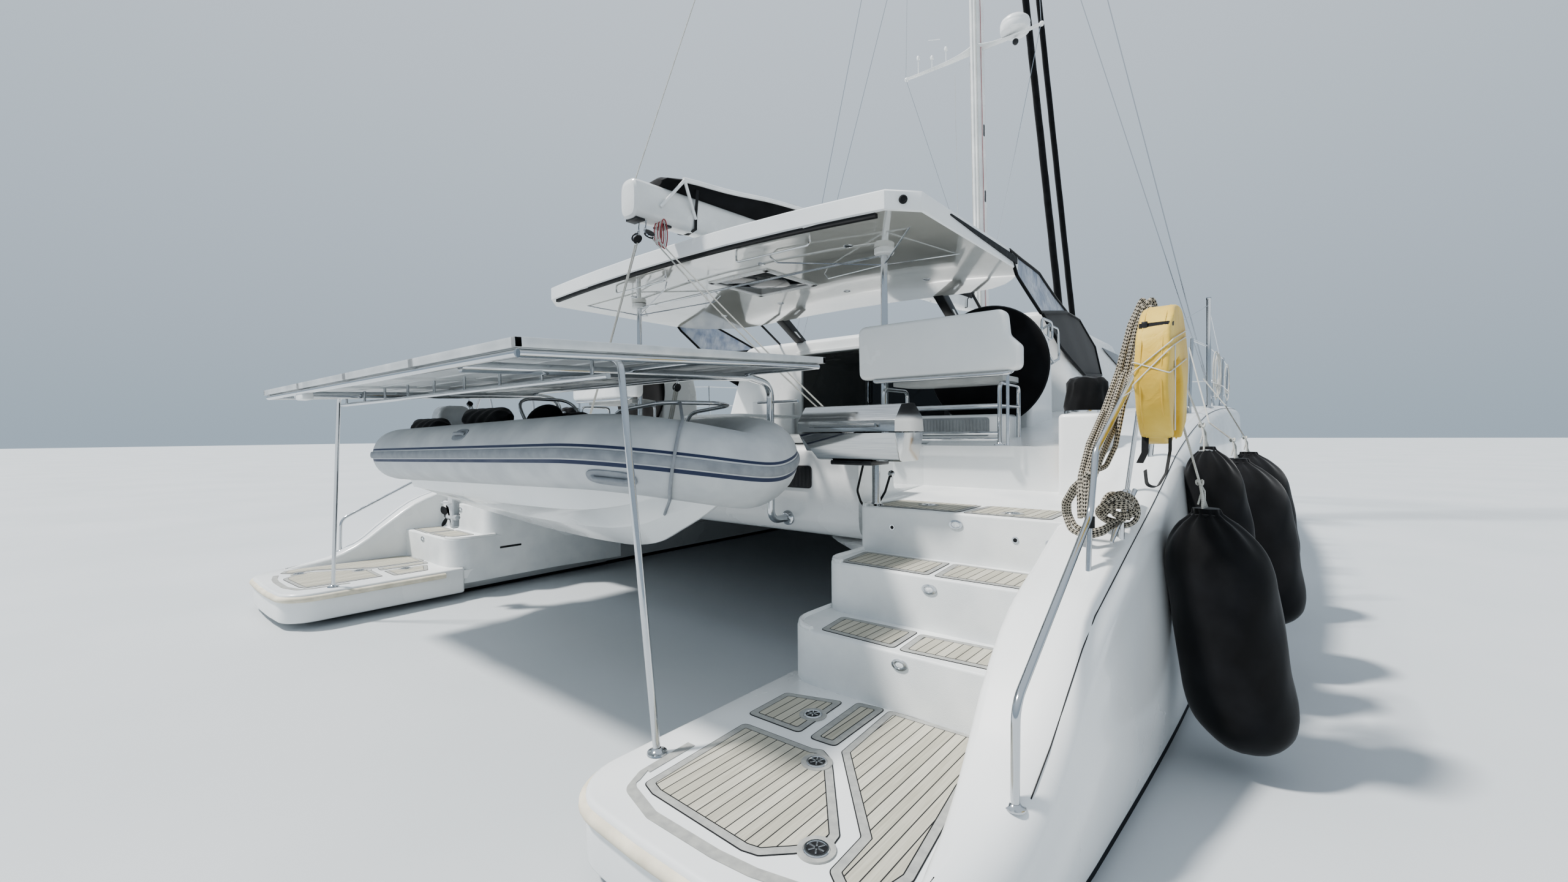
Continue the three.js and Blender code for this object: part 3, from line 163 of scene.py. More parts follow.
floor_finish = surface("matt_floor", {"Roughness": 0.75}, "c3c8cb", "c9cdd0", 0.4)[0]
floor_mesh = bmesh.new()
bmesh.ops.create_grid(floor_mesh, x_segments=1, y_segments=1, size=160)
floor_data = bpy.data.meshes.new("floor")
floor_mesh.to_mesh(floor_data)
floor_mesh.free()
floor_data.materials.append(floor_finish)
floor = bpy.data.objects.new("floor", floor_data)
bpy.context.scene.collection.objects.link(floor)

world = bpy.data.worlds.new("pale_sky")
bpy.context.scene.world = world
world.use_nodes = True
sky_tree = world.node_tree
sky_way = add_node(sky_tree, "ShaderNodeTexCoord")
sky_height = add_node(sky_tree, "ShaderNodeSeparateXYZ", {"Vector": (sky_way, "Generated")})
sky = add_node(sky_tree, "ShaderNodeValToRGB", {"Fac": (sky_height, "Z")})
sky.color_ramp.elements[0].color = linear("a9b8c5")
sky.color_ramp.elements[1].position = 0.7
sky.color_ramp.elements[1].color = linear("dde6ef")
sky_tree.links.new(sky.outputs["Color"], sky_tree.nodes["Background"].inputs["Color"])
sky_tree.nodes["Background"].inputs["Strength"].default_value = 0.9
sun = bpy.data.objects.new("sun", bpy.data.lights.new("sun", "SUN"))
sun.data.energy = 4.2
sun.data.angle = math.radians(5)
sun.data.color = (1.0, 0.97, 0.93)
sun.rotation_mode = "QUATERNION"
sun.rotation_quaternion = Vector((0.42, 0.4, -0.9)).to_track_quat("-Z", "Y")
bpy.context.scene.collection.objects.link(sun)
bpy.context.scene.view_settings.view_transform = "AgX"
bpy.context.scene.view_settings.look = "AgX - Medium High Contrast"

# Hulls
# Each hull is one glassfibre moulding in white gelcoat, black antifouling below the waterline. Its deck
# edge sweeps down aft into a smooth wing beside the steps. A fine black line where deck and hull are bonded
# is painted shade of the groove there.
KEEL = [(-7.95, 0.02), (-7, -0.23), (-5.5, -0.45), (-3, -0.62), (0, -0.66), (3, -0.6), (5, -0.5),
        (6.5, -0.37), (7.5, -0.22), (8.25, 0.06)]
WATER_OUT = [(-7.95, 3.7), (-7, 3.85), (-4.5, 3.975), (-1.5, 3.99), (1.5, 3.93), (3.5, 3.8), (5, 3.64),
             (6.5, 3.45), (7.5, 3.31), (8.25, 3.215)]
WATER_IN = [(-7.95, 2.46), (-2, 2.45), (1.5, 2.5), (3.5, 2.63), (5, 2.78), (6.5, 2.96), (7.5, 3.09),
            (8.25, 3.185)]
SHEER_Z = [(-7.95, 0.335), (-7.6, 0.39), (-7.35, 0.5), (-7.1, 0.69), (-6.75, 0.93), (-6.46, 1.04),
           (-6.1, 1.18), (-5.33, 1.46), (-4.9, 1.59), (-4, 1.76), (-3, 1.88), (-1, 1.98), (3, 2.06),
           (8.25, 2.2)]
SHEER_OUT = [(-7.95, 3.72), (-7.35, 3.8), (-6.5, 3.86), (-5.3, 3.93), (-3, 3.96), (0, 3.96), (3.5, 3.83),
             (5, 3.67), (6.5, 3.48), (7.5, 3.34), (8.25, 3.24)]
DECK_IN = [(-7.95, 2.1), (3.85, 2.1), (3.95, 2.44), (4.3, 2.6), (5, 2.72), (6.5, 2.93), (7.5, 3.06),
           (8.25, 3.16)]
WING_IN = [(-7.95, 3.56), (-6.9, 3.44), (-4.9, 3.48)]
SIDE_X = 2.205
JOINT_X = 2.1
EDGE_R = 0.15
PAINT_LINE_Z = 0.045
SWELL = 0.03
HELM_AFT_Y = -4.9
BOW_Y = 8.25
STERN_Y = -7.95
SIDES = {"starboard": 1, "port": -1}


def mix(a, b, t):
    """The value a part t of the way from a to b."""
    return a + (b - a) * t


def along(table, place):
    """Reads a fair curve through a table of places and values, which never overshoots them."""
    if place <= table[0][0]:
        return table[0][1]
    if place >= table[-1][0]:
        return table[-1][1]
    i = max(k for k in range(len(table) - 1) if table[k][0] <= place)
    slopes = [(b[1] - a[1]) / (b[0] - a[0]) for a, b in zip(table, table[1:])]

    def lean(k):
        if k in (0, len(table) - 1):
            return slopes[min(k, len(slopes) - 1)]
        a, b = slopes[k - 1], slopes[k]
        return 0 if a * b <= 0 else 2 * a * b / (a + b)

    (x0, y0), (x1, y1) = table[i], table[i + 1]
    span = x1 - x0
    t = (place - x0) / span
    bend = t * t * (3 - 2 * t)
    return mix(y0, y1, bend) + span * (lean(i) * t * (1 - t) ** 2 - lean(i + 1) * t * t * (1 - t))


def around(count):
    """Angles evenly spaced round a full turn."""
    return [2 * math.pi * k / count for k in range(count)]


def swollen(share, power):
    """A sine or cosine raised to a power, its sign kept, which squares a circle's corners."""
    return math.copysign(abs(share) ** power, share)


def steps_between(low, high, count):
    """Evenly spaced values, both ends among them."""
    return [mix(low, high, i / count) for i in range(count + 1)]


def arc(centre, radius, start, end, count):
    """Points on an arc, angles in degrees."""
    return [(centre[0] + radius * math.cos(math.radians(a)), centre[1] + radius * math.sin(math.radians(a)))
            for a in steps_between(start, end, count)]


def loft(bm, rings, capped=True):
    """Skins like rings: the first is drawn, and each next one is extruded from it and laid in its place."""
    row = [bm.verts.new(point) for point in rings[0]]
    pairs = [(i, (i + 1) % len(row)) for i in range(len(row))]
    for a, b in pairs:
        bm.edges.new((row[a], row[b]))
    rows = [row]
    for ring in rings[1:]:
        edges = [bm.edges.get((row[a], row[b])) for a, b in pairs]
        made = bmesh.ops.extrude_edge_only(bm, edges=edges)["geom"]
        fresh = {v for v in made if isinstance(v, bmesh.types.BMVert)}
        row = [next(e.other_vert(v) for e in v.link_edges if e.other_vert(v) in fresh) for v in row]
        for vert, point in zip(row, ring):
            vert.co = point
        rows.append(row)
    if capped:
        bm.faces.new(rows[0])
        bm.faces.new(rows[-1])
    return rows


def add_part(bm, part, matrix=None, finish=0):
    """Joins a shape of its own to a piece, in the finish with that number."""
    if matrix:
        bmesh.ops.transform(part, matrix=matrix, verts=part.verts)
    bmesh.ops.remove_doubles(part, verts=part.verts, dist=1e-5)
    bmesh.ops.recalc_face_normals(part, faces=part.faces)
    if finish is not None:
        for face in part.faces:
            face.material_index = finish
    carrier = bpy.data.meshes.new("carrier")
    part.to_mesh(carrier)
    part.free()
    bm.from_mesh(carrier)
    bpy.data.meshes.remove(carrier)


def dress(name, bm, body, slot, finishes, replaced=(), angle=35, turned=True):
    """Makes a piece that rides on a body, if one is named, smooth but for edges sharper than the angle."""
    if turned:
        bmesh.ops.recalc_face_normals(bm, faces=bm.faces)
    mesh = bpy.data.meshes.new(name)
    bm.to_mesh(mesh)
    bm.free()
    for finish in finishes:
        mesh.materials.append(finish)
    mesh.shade_smooth()
    mesh.set_sharp_from_angle(angle=math.radians(angle))
    piece = bpy.data.objects.new(name, mesh)
    bpy.context.scene.collection.objects.link(piece)
    if body:
        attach(piece, body)
    if replaced:
        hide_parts(*replaced)
    return piece


def flip(bm, side):
    """Turns a shape made for starboard over to port where side is -1."""
    if side < 0:
        bmesh.ops.scale(bm, vec=(-1, 1, 1), verts=bm.verts)
        bmesh.ops.reverse_faces(bm, faces=bm.faces)


# White gelcoat: sprayed in the mould and polished, so it is glossy with the faintest orange peel, and a
# little duller where salt dries on it.
gelcoat = surface("polished_gelcoat", {"Coat Weight": 0.35, "Coat Roughness": 0.06, "IOR": 1.5}, "e4e7e8",
                  "f1f2f1", 0.9, 6, (0.16, 0.32), (0.0004, 0.12, 160, 1))[0]

# Antifouling: rolled on thick, so it is matt black-grey and stippled by the roller.
antifouling = surface("rolled_antifouling", {"Specular IOR Level": 0.25}, "17191c", "25292e", 5, 4,
                      (0.7, 0.95), (0.0015, 0.6, 180, 2))[0]

# Black sealant: smooth elastic filler in every joint. The same black is also painted shade: in the
# hulls' deck-edge groove, on a vent slot by the steps and inside the drains.
sealant_and_painted_shade, tree, shader = new_finish("black_sealant_and_painted_shade", {"Base Color": linear("15171a")})
coords = add_node(tree, "ShaderNodeTexCoord")
smear = add_node(tree, "ShaderNodeTexNoise", {"Vector": (coords, "Object"), "Scale": 60, "Detail": 2})
vary(tree, shader, smear, 0.45, 0.7)


def under_water(out, inn, keel):
    """The hull's outline below the waterline, from the inner side round the bottom to the outer."""
    middle = (out + inn) / 2
    ring = [(inn, 0.0), (mix(middle, inn, 0.985), keel * 0.2), (mix(middle, inn, 0.93), keel * 0.42),
            (mix(middle, inn, 0.8), keel * 0.68), (mix(middle, inn, 0.62), keel * 0.86),
            (mix(middle, inn, 0.3), keel * 0.97), (middle, keel)]
    other = [(2 * middle - x, z) for x, z in ring[:-1]]
    return ring + other[::-1]


def hull_ring(y, inner_side, deck):
    """One station: bottom, topside, rounded deck edge, then the deck's own points and the inner side."""
    out, inn, keel = along(WATER_OUT, y), along(WATER_IN, y), along(KEEL, y)
    top, sheer = along(SHEER_Z, y), along(SHEER_OUT, y)
    radius = min(EDGE_R, (sheer - deck[0][0]) / 5, top * 0.42)
    swell = mix(SWELL, 0.004, min(1, max(0, (y - 6) / 2.25)))
    topside = [(mix(out, sheer, t) + swell * math.sin(math.pi * t) ** 0.8, (top - radius) * t)
               for t in steps_between(0, 1, 9)[1:-1]]
    edge = arc((sheer - radius, top - radius), radius, 0, 90, 8)
    crest = [(x, z if z is not None else top) for x, z in deck]
    ring = under_water(out, inn, keel) + topside + edge + crest[::-1] + inner_side(inn)
    return [(x, y, z) for x, z in ring]


def aft_ring(y):
    """A station beside the steps: the wing's rounded inner edge drops to the level of the platform."""
    wing = along(WING_IN, y)
    lip = 0.04
    top = along(SHEER_Z, y)
    edge = [(wing + lip * (1 - math.cos(math.radians(a))), top - lip * (1 - math.sin(math.radians(a))))
            for a in (0, 30, 60, 90)]
    deck = [(SIDE_X, 0.29), (wing, 0.29), *edge]
    return hull_ring(y, lambda inn: [(SIDE_X + 0.01, 0.2), (mix(inn, SIDE_X, 0.4), 0.1)], deck)


def fore_ring(y):
    """A station forward of the steps: a cambered side deck to the bridgedeck, or to the hull's own edge."""
    inner = along(DECK_IN, y)
    deck = [(inner, None), (inner + 0.012, None), (mix(inner, along(SHEER_OUT, y), 0.4), None)]
    return hull_ring(y, lambda inn: [(min(inner, inn + 0.05), 0.95), (mix(inn, min(inner, inn), 0.5), 0.6),
                                     (mix(inn, min(inner, inn), 0.15), 0.25)], deck)


def cut(bm, place, normal, trim=False):
    """Cuts a shape along a plane, and takes away what is beyond it where trim is set."""
    bmesh.ops.bisect_plane(bm, geom=[*bm.verts, *bm.edges, *bm.faces], plane_co=place, plane_no=normal,
                           clear_outer=trim)


def hull_shell():
    """Both lengths of a hull, paint line cut along the waterline."""
    bm = bmesh.new()
    loft(bm, [aft_ring(y) for y in steps_between(STERN_Y, HELM_AFT_Y, 26)])
    loft(bm, [fore_ring(y) for y in steps_between(HELM_AFT_Y, 3.9, 22)])
    stem = [Vector(point) for point in fore_ring(BOW_Y)]
    middle = sum(stem, Vector()) / len(stem)
    nose = [Vector((mix(point.x, middle.x, 0.55), BOW_Y + 0.012, point.z)) for point in stem]
    loft(bm, [fore_ring(y) for y in steps_between(3.9, BOW_Y, 26)] + [nose])
    cut(bm, (0, 0, PAINT_LINE_Z), (0, 0, 1))
    for face in bm.faces:
        face.material_index = 1 if face.calc_center_median().z < PAINT_LINE_Z else 0
    bmesh.ops.remove_doubles(bm, verts=bm.verts, dist=1e-5)
    return bm


def path_on_edge(start, end, count, turn):
    """A line along the rounded deck edge, at that angle round it."""
    points = []
    for y in steps_between(start, end, count):
        top, sheer = along(SHEER_Z, y), along(SHEER_OUT, y)
        radius = min(EDGE_R, (sheer - 2.1) / 5, top * 0.42) - 0.0005
        points.append((sheer - radius + radius * math.cos(turn), y, top - radius + radius * math.sin(turn)))
    return points


def headings_along(path):
    """The direction at each point of a path, halved between its two legs at every bend."""
    legs = [(b - a).normalized() for a, b in zip(path, path[1:])]
    return [legs[0], *((a + b).normalized() for a, b in zip(legs, legs[1:])), legs[-1]]


def tube(bm, path, radius, sides=12, finish=0, lay=False, ends=True):
    """Sweeps a round section along a path, carrying its frame on without a twist. radius may be a list."""
    path = [Vector(point) for point in path]
    radii = radius if isinstance(radius, list) else [radius] * len(path)
    headings = headings_along(path)
    across = headings[0].orthogonal().normalized()
    rings = []
    for point, heading, size in zip(path, headings, radii):
        across = (across - heading * across.dot(heading)).normalized()
        other = heading.cross(across)
        rings.append([point + size * (across * math.cos(a) + other * math.sin(a))
                      for a in around(sides)])
    if lay:
        layer = bm.verts.layers.float_vector.get("lay") or bm.verts.layers.float_vector.new("lay")
    rows = loft(bm, rings, ends)
    for face in {face for row in rows for vert in row for face in vert.link_faces}:
        face.material_index = finish
    if lay:
        run = 0.0
        for i, row in enumerate(rows):
            run += (path[i] - path[i - 1]).length if i else 0
            for k, vert in enumerate(row):
                angle = 2 * math.pi * k / sides
                vert[layer] = (math.cos(angle), math.sin(angle), run)
    return rows


for side_name, side in SIDES.items():
    shell = hull_shell()
    # Painted shade: this thin black tube along the deck edge darkens the groove where deck and hull are
    # bonded.
    tube(shell, path_on_edge(-7.4, 8.1, 90, math.radians(52)), 0.0025, 6, 2)
    flip(shell, side)
    dress(f"hull_shell_{side_name}", shell, "boat", "gelcoat", [gelcoat, antifouling, sealant_and_painted_shade],
          [f"hull_{side_name}"], 40)

# Bathing platforms and stern steps
# Platform and steps are part of each hull moulding: speckled non-slip risers with rounded edges, a raised
# lip along their inner ends, and a cream rubber strake round the platform. Small lamps are let into the
# risers.
PLATFORM_Z = 0.32
BAR_R = 0.0125
STEP_RISE = 0.297
TREAD_Y = [-6.88, -6.49, -6.05]
CORNER_R = [0.22, 0.15, 0.06]
PLATFORM_PLAN = [(2.48, -6.7), (2.195, -6.76), *arc((2.445, -8.0), 0.25, 180, 270, 9), (2.7, -8.262),
                 (3.0, -8.262), *arc((3.35, -7.9), 0.35, 268, 347, 8), (3.78, -7.2), (3.7, -6.7)]
LAMPS = [(2.952, -6.88, 0.559), (2.921, -6.49, 0.846), (2.883, -6.05, 1.141)]
DRAINS = [(3.235, -6.05, 1.085), (3.418, -6.05, 1.084), (2.45, -6.05, 1.085)]


def at(x, y, z):
    """A place to put a shape."""
    return Matrix.Translation((x, y, z))


def rolled(degrees, axis):
    """A turn about one axis."""
    return Matrix.Rotation(math.radians(degrees), 4, axis)


FACING_AFT = rolled(90, "X")
ALONG_X = Matrix(((0, 0, 1, 0), (1, 0, 0, 0), (0, 1, 0, 0), (0, 0, 0, 1)))
ALONG_Y = Matrix(((1, 0, 0, 0), (0, 0, 1, 0), (0, 1, 0, 0), (0, 0, 0, 1)))


def slab(outline, low, high, edge=0.0, segments=3, only_top=False):
    """An outline drawn flat, pushed up, and its sharp edges rounded."""
    part = bmesh.new()
    face = part.faces.new([part.verts.new((u, v, low)) for u, v in outline])
    made = bmesh.ops.extrude_face_region(part, geom=[face])["geom"]
    lifted = [v for v in made if isinstance(v, bmesh.types.BMVert)]
    bmesh.ops.translate(part, vec=(0, 0, high - low), verts=lifted)
    bmesh.ops.recalc_face_normals(part, faces=part.faces)
    if edge:
        sharp = [e for e in part.edges if e.calc_face_angle(0) > math.radians(25)]
        if only_top:
            sharp = [e for e in sharp if all(abs(v.co.z - high) < 1e-6 for v in e.verts)]
        bmesh.ops.bevel(part, geom=sharp, offset=edge, offset_type="OFFSET", affect="EDGES",
                        segments=segments, profile=0.5, material=-1)
    return part


def lathe(profile, steps=24):
    """Spins a profile of radius and height about the upright axis."""
    part = bmesh.new()
    verts = [part.verts.new((radius, 0, height)) for radius, height in profile]
    edges = [part.edges.new(pair) for pair in zip(verts, verts[1:])]
    bmesh.ops.spin(part, geom=verts + edges, cent=(0, 0, 0), axis=(0, 0, 1), angle=2 * math.pi, steps=steps,
                   use_merge=True, use_duplicate=False)
    bmesh.ops.remove_doubles(part, verts=part.verts, dist=1e-5)
    return part


def block(low, high, edge=0.004, segments=2):
    """A box between two corners with its edges rounded."""
    part = bmesh.new()
    low, high = Vector(low), Vector(high)
    bmesh.ops.create_cube(part, size=1, matrix=Matrix.Translation((low + high) / 2)
                          @ Matrix.Diagonal((*(high - low), 1)))
    if edge:
        bmesh.ops.bevel(part, geom=part.edges, offset=edge, offset_type="OFFSET", affect="EDGES",
                        segments=segments, profile=0.5, material=-1)
    return part


def turned(points, bend, steps=6, closed=False):
    """Rounds the corners of a line or an outline on a bend radius, or one radius for each corner."""
    points = [Vector(point) for point in points]
    count = len(points)
    made = []
    for i, point in enumerate(points):
        radius = bend[i] if isinstance(bend, list) else bend
        if radius <= 0 or (not closed and i in (0, count - 1)):
            made.append(point)
            continue
        before, after = points[i - 1] - point, points[(i + 1) % count] - point
        half = before.angle(after) / 2
        if half > math.radians(89):
            made.append(point)
            continue
        reach = min(radius / math.tan(half), 0.48 * before.length, 0.48 * after.length)
        start, end = point + before.normalized() * reach, point + after.normalized() * reach
        made += [(start * (1 - t) ** 2 + point * 2 * t * (1 - t) + end * t ** 2)
                 for t in steps_between(0, 1, steps)]
    return made


def rounded(outline, bend, steps=6):
    """A closed outline of flat points with its corners rounded."""
    return [(p.x, p.y) for p in turned([(u, v, 0) for u, v in outline], bend, steps, True)]


def oblong(half_u, half_v, bend, steps=4):
    """A rectangle about its middle, with rounded corners."""
    return rounded([(-half_u, -half_v), (half_u, -half_v), (half_u, half_v), (-half_u, half_v)], bend, steps)


# Non-slip gelcoat: the same white, moulded with a fine rounded speckle about 3 mm across.
non_slip, tree, shader, coords, _ = surface("speckled_gelcoat", {"IOR": 1.5}, "dcdfe0", "eceeed", 3, 8,
                                            (0.4, 0.6))
speckle = add_node(tree, "ShaderNodeTexVoronoi", {"Vector": (coords, "Object"), "Scale": 230},
                   feature="SMOOTH_F1")
raise_grain(tree, shader, (speckle, "Distance"), 0.0012, 0.5)

# Stainless steel: drawn tube and sheet, mirror polished, with soft smears from handling.
stainless, tree, shader = new_finish("polished_stainless", {"Base Color": linear("c9cccf"), "Metallic": 1.0})
coords = add_node(tree, "ShaderNodeTexCoord")
smear = add_node(tree, "ShaderNodeTexNoise", {"Vector": (coords, "Object"), "Scale": 14, "Detail": 5})
vary(tree, shader, smear, 0.07, 0.2)

# Cream rubber: an extruded fender strip, dull and scuffed grey in places.
cream_rubber = surface("cream_rubber", {"Specular IOR Level": 0.3}, "cfc8b6", "e6dfcd", 7, 6, (0.5, 0.75),
                       (0.0008, 0.4))[0]

# Lamp lens: clear moulded plastic over a small diode, softly bright.
GLOW = {"Roughness": 0.1, "Emission Strength": 0.15, "Emission Color": linear("ffffff")}
lens = surface("moulded_lens", GLOW, "c2c8cc", "e8ecee", 90)[0]


def step_plan(i, wing_x=3.5):
    """The plan of one step: its riser turns forward at the inner end."""
    radius = CORNER_R[i]
    inner = SIDE_X if i < 2 else SIDE_X - 0.01
    return [(wing_x, TREAD_Y[i]), *arc((inner + radius, TREAD_Y[i] + radius), radius, 270, 180, 10),
            (inner if i < 2 else JOINT_X, -5.7), (JOINT_X, HELM_AFT_Y + 0.01), (wing_x, HELM_AFT_Y + 0.01)]


def lip_path(i, z):
    """The raised lip along the inner end of a tread, from the riser's corner forward to the next one."""
    radius = CORNER_R[i]
    inner = (SIDE_X if i < 2 else SIDE_X - 0.01) + 0.02
    front = arc((inner + radius - 0.02, TREAD_Y[i] + radius), radius - 0.02, 262, 180, 9)
    return [(x, y, z) for x, y in [*front, (inner, [-6.42, -6.0, -5.3][i])]]


def stern_moulding():
    """Platform, strake, steps with their lips, lamps and drains, and the landing behind the last riser."""
    bm = bmesh.new()
    add_part(bm, slab(PLATFORM_PLAN, 0.06, PLATFORM_Z, 0.022, 4))
    for i, y in enumerate(TREAD_Y):
        top = PLATFORM_Z + STEP_RISE * (i + 1)
        foot = top - STEP_RISE - 0.016 if i else 0.15
        add_part(bm, slab(step_plan(i), foot, top, 0.016, 4, True), None, 1)
        tube(bm, lip_path(i, top + 0.003), 0.017, 8, 0)
    landing = [(-5.75, 1.1), (-5.75, 1.206), (HELM_AFT_Y + 0.01, 1.262), (HELM_AFT_Y + 0.01, 1.1)]
    add_part(bm, slab(landing, JOINT_X, 3.5), ALONG_X, 1)
    strake = [(2.186, -6.95, 0.272), *((x, y, 0.272) for x, y in PLATFORM_PLAN[2:21]), (3.745, -7.55, 0.272)]
    strake = [(x + (0.002 if x > 3.4 else -0.002), y, z) for x, y, z in strake]
    tube(bm, strake, 0.026, 10, 2)
    # Painted shade: this thin black plate on the step's inner side stands for the dark inside of a vent
    # slot.
    add_part(bm, block((2.201, -6.38, 0.462), (2.212, -6.14, 0.484), 0.003), None, 5)
    for x, y, z in LAMPS:
        bezel = at(x, y - 0.001, z) @ FACING_AFT @ Matrix.Diagonal((1.25, 0.8, 1, 1))
        add_part(bm, lathe([(0, 0.002), (0.022, 0.002), (0.024, 0.007), (0.034, 0.006), (0.036, -0.003)]),
                 bezel, 3)
        add_part(bm, lathe([(0, 0.005), (0.012, 0.004), (0.021, 0.001)], 16), bezel, 4)
    for x, y, z in DRAINS:
        ring = at(x, y - 0.001, z) @ FACING_AFT
        add_part(bm, lathe([(0.011, -0.002), (0.012, 0.003), (0.019, 0.003), (0.021, -0.002)], 16), ring, 3)
        # Painted shade: a black disc inside each drain ring stands for the dark inside of the hole.
        add_part(bm, lathe([(0, 0.0005), (0.012, 0.0005)], 16), ring, 5)
    return bm


for side_name, side in SIDES.items():
    moulding = stern_moulding()
    flip(moulding, side)
    dress(f"stern_steps_{side_name}", moulding, "boat", "gelcoat",
          [gelcoat, non_slip, cream_rubber, stainless, lens, sealant_and_painted_shade], [f"hull_{side_name}"], 38)

# Synthetic teak decking
# Mats of caulked synthetic teak are glued to the platforms and treads: grey-beige planks 50 mm wide running
# fore and aft, black seams between them, a grey border, and cut round the polished deck fillers.
PLANK = 0.05
SEAM = 0.0045
MAT_THICK = 0.004
PLATFORM_MATS = [[(2.37, -7.35), (2.366, -7.045), (2.669, -6.943), (2.687, -7.344)],
                 [(2.747, -7.352), (2.727, -6.908), (2.878, -6.884), (2.886, -7.342)],
                 [(2.456, -8.043), (2.425, -7.428), (2.82, -7.415), (2.86, -7.395), (2.94, -7.44),
                  (3.237, -7.82), (3.25, -7.9), (3.165, -7.99), (3.083, -8.069), (3.02, -8.085),
                  (2.537, -8.068)], [(2.93, -7.36), (2.898, -6.886), (3.324, -6.867), (3.43, -6.94),
                                     (3.46, -7.3), (3.53, -7.85), (3.5, -7.98), (3.38, -8.04), (3.3, -7.98),
                                     (3.292, -7.78)],]
TREAD_MATS = [
    [(2.441, -6.832), (2.899, -6.843), (2.884, -6.541), (2.402, -6.56)],
    [(2.929, -6.852), (3.409, -6.818), (3.36, -6.525), (2.905, -6.562)],
    [(2.32, -6.462), (2.9, -6.462), (2.87, -6.1), (2.276, -6.1)],
    [(2.934, -6.465), (3.436, -6.455), (3.38, -6.1), (2.893, -6.1)],
    [(2.26, -6.02), (2.88, -6.02), (2.88, -4.95), (2.26, -4.95)],
    [(2.91, -6.02), (3.42, -6.02), (3.4, -5.1), (3.12, -5.1), (3.12, -4.95), (2.91, -4.95)],
]
TREAD_MAT_Z = [0.617, 0.617, 0.914, 0.914, 1.211, 1.211]
CAPS = [(2.63, -7.161, 0.32), (2.9, -7.496, 0.32), (3.213, -7.925, 0.32), (2.582, -5.798, 1.212),
        (3.172, -5.908, 1.212)]

# Synthetic teak: PVC extruded with a dull sawn grain, sun-bleached to a grey beige that differs a little
# from plank to plank. The seams are black PVC.
teak, tree, shader = new_finish("caulked_synthetic_teak", {"Specular IOR Level": 0.3})
coords = add_node(tree, "ShaderNodeTexCoord")
axes = add_node(tree, "ShaderNodeSeparateXYZ", {"Vector": (coords, "Object")})
lanes = reckon(tree, "DIVIDE", (axes, "X"), PLANK)
inside = reckon(tree, "FRACT", (lanes, "Value"))
number = reckon(tree, "FLOOR", (lanes, "Value"))
shade = add_node(tree, "ShaderNodeTexWhiteNoise", {"W": (number, "Value")}, noise_dimensions="1D")
stretch = add_node(tree, "ShaderNodeMapping", {"Vector": (coords, "Object"), "Scale": (90, 3.5, 90)})
grain = add_node(tree, "ShaderNodeTexNoise", {"Vector": (stretch, "Vector"), "Scale": 1.6, "Detail": 6})
blend_in = reckon(tree, "MULTIPLY", (shade, "Value"), 0.35)
tone = reckon(tree, "ADD", (grain, "Fac"), (blend_in, "Value"))
ramp = add_node(tree, "ShaderNodeValToRGB", {"Fac": (tone, "Value")})
ramp.color_ramp.elements[0].position = 0.35
ramp.color_ramp.elements[0].color = linear("a8a597")
ramp.color_ramp.elements[1].position = 0.95
ramp.color_ramp.elements[1].color = linear("c6c3b6")
groove = reckon(tree, "LESS_THAN", (inside, "Value"), SEAM / PLANK)
MIX_A, MIX_B, MIX_OUT = 6, 7, 2
planks = add_node(tree, "ShaderNodeMix", {0: (groove, "Value"), MIX_A: (ramp, "Color"),
                                          MIX_B: linear("26272a")}, data_type="RGBA")
tree.links.new(planks.outputs[MIX_OUT], shader.inputs["Base Color"])
vary(tree, shader, grain, 0.6, 0.8)
depth = reckon(tree, "SUBTRACT", (grain, "Fac"), (groove, "Value"))
raise_grain(tree, shader, (depth, "Value"), 0.0008, 0.5)

# Border strip: the same PVC in plain grey, cut across the planks' ends.
border = surface("grey_deck_border", {"Specular IOR Level": 0.3}, "9b9c9a", "abaca8", 30, 6, (0.6, 0.8))[0]


def shrunk(outline, inset):
    """An outline moved in by that much on every side, its corners kept as corners."""
    points = [Vector(point) for point in outline]
    count = len(points)
    area = sum(points[i - 1].x * points[i].y - points[i].x * points[i - 1].y for i in range(count))
    hand = 1 if area > 0 else -1
    made = []
    for i, point in enumerate(points):
        ahead_way = (points[(i + 1) % count] - point).normalized()
        back_way = (point - points[i - 1]).normalized()
        inward = (Vector((-ahead_way.y, ahead_way.x))
                  + Vector((-back_way.y, back_way.x))).normalized() * hand
        reach = inset / max(0.35, abs(inward.dot(Vector((-ahead_way.y, ahead_way.x)))))
        made.append(point + inward * reach)
    return made


def mat(bm, outline, z):
    """One mat: black edge, grey border, black seam, then planks, each laid inside the last."""
    for inset, rise, corner, finish in ((0, 0.0024, 0.03, 2), (0.004, 0.0032, 0.027, 1),
                                        (0.036, 0.0037, 0.012, 2), (0.04, MAT_THICK, 0.01, 0)):
        plan = rounded([(p.x, p.y) for p in shrunk(outline, inset)], corner, 4)
        add_part(bm, slab(plan, z, z + rise), None, finish)


def deck_cap(bm, x, y, z):
    """A filler cap: a grey ring in the mat, and a polished lid with a knurled dark key plate."""
    place = at(x, y, z)
    add_part(bm, lathe([(0.046, 0.001), (0.046, 0.0055), (0.048, 0.006), (0.066, 0.006), (0.068, 0.001)]),
             place, 1)
    add_part(bm, lathe([(0.034, 0.006), (0.036, 0.0095), (0.042, 0.0095), (0.045, 0.006)]), place, 3)
    add_part(bm, lathe([(0, 0.009), (0.012, 0.0095), (0.024, 0.007), (0.035, 0.007), (0.036, 0.006)]),
             place, 2)
    for turn in range(6):
        spoke = Matrix.Rotation(turn * math.pi / 3, 4, "Z")
        add_part(bm, block((0.006, -0.003, 0.006), (0.03, 0.003, 0.0105), 0.0006), place @ spoke, 3)


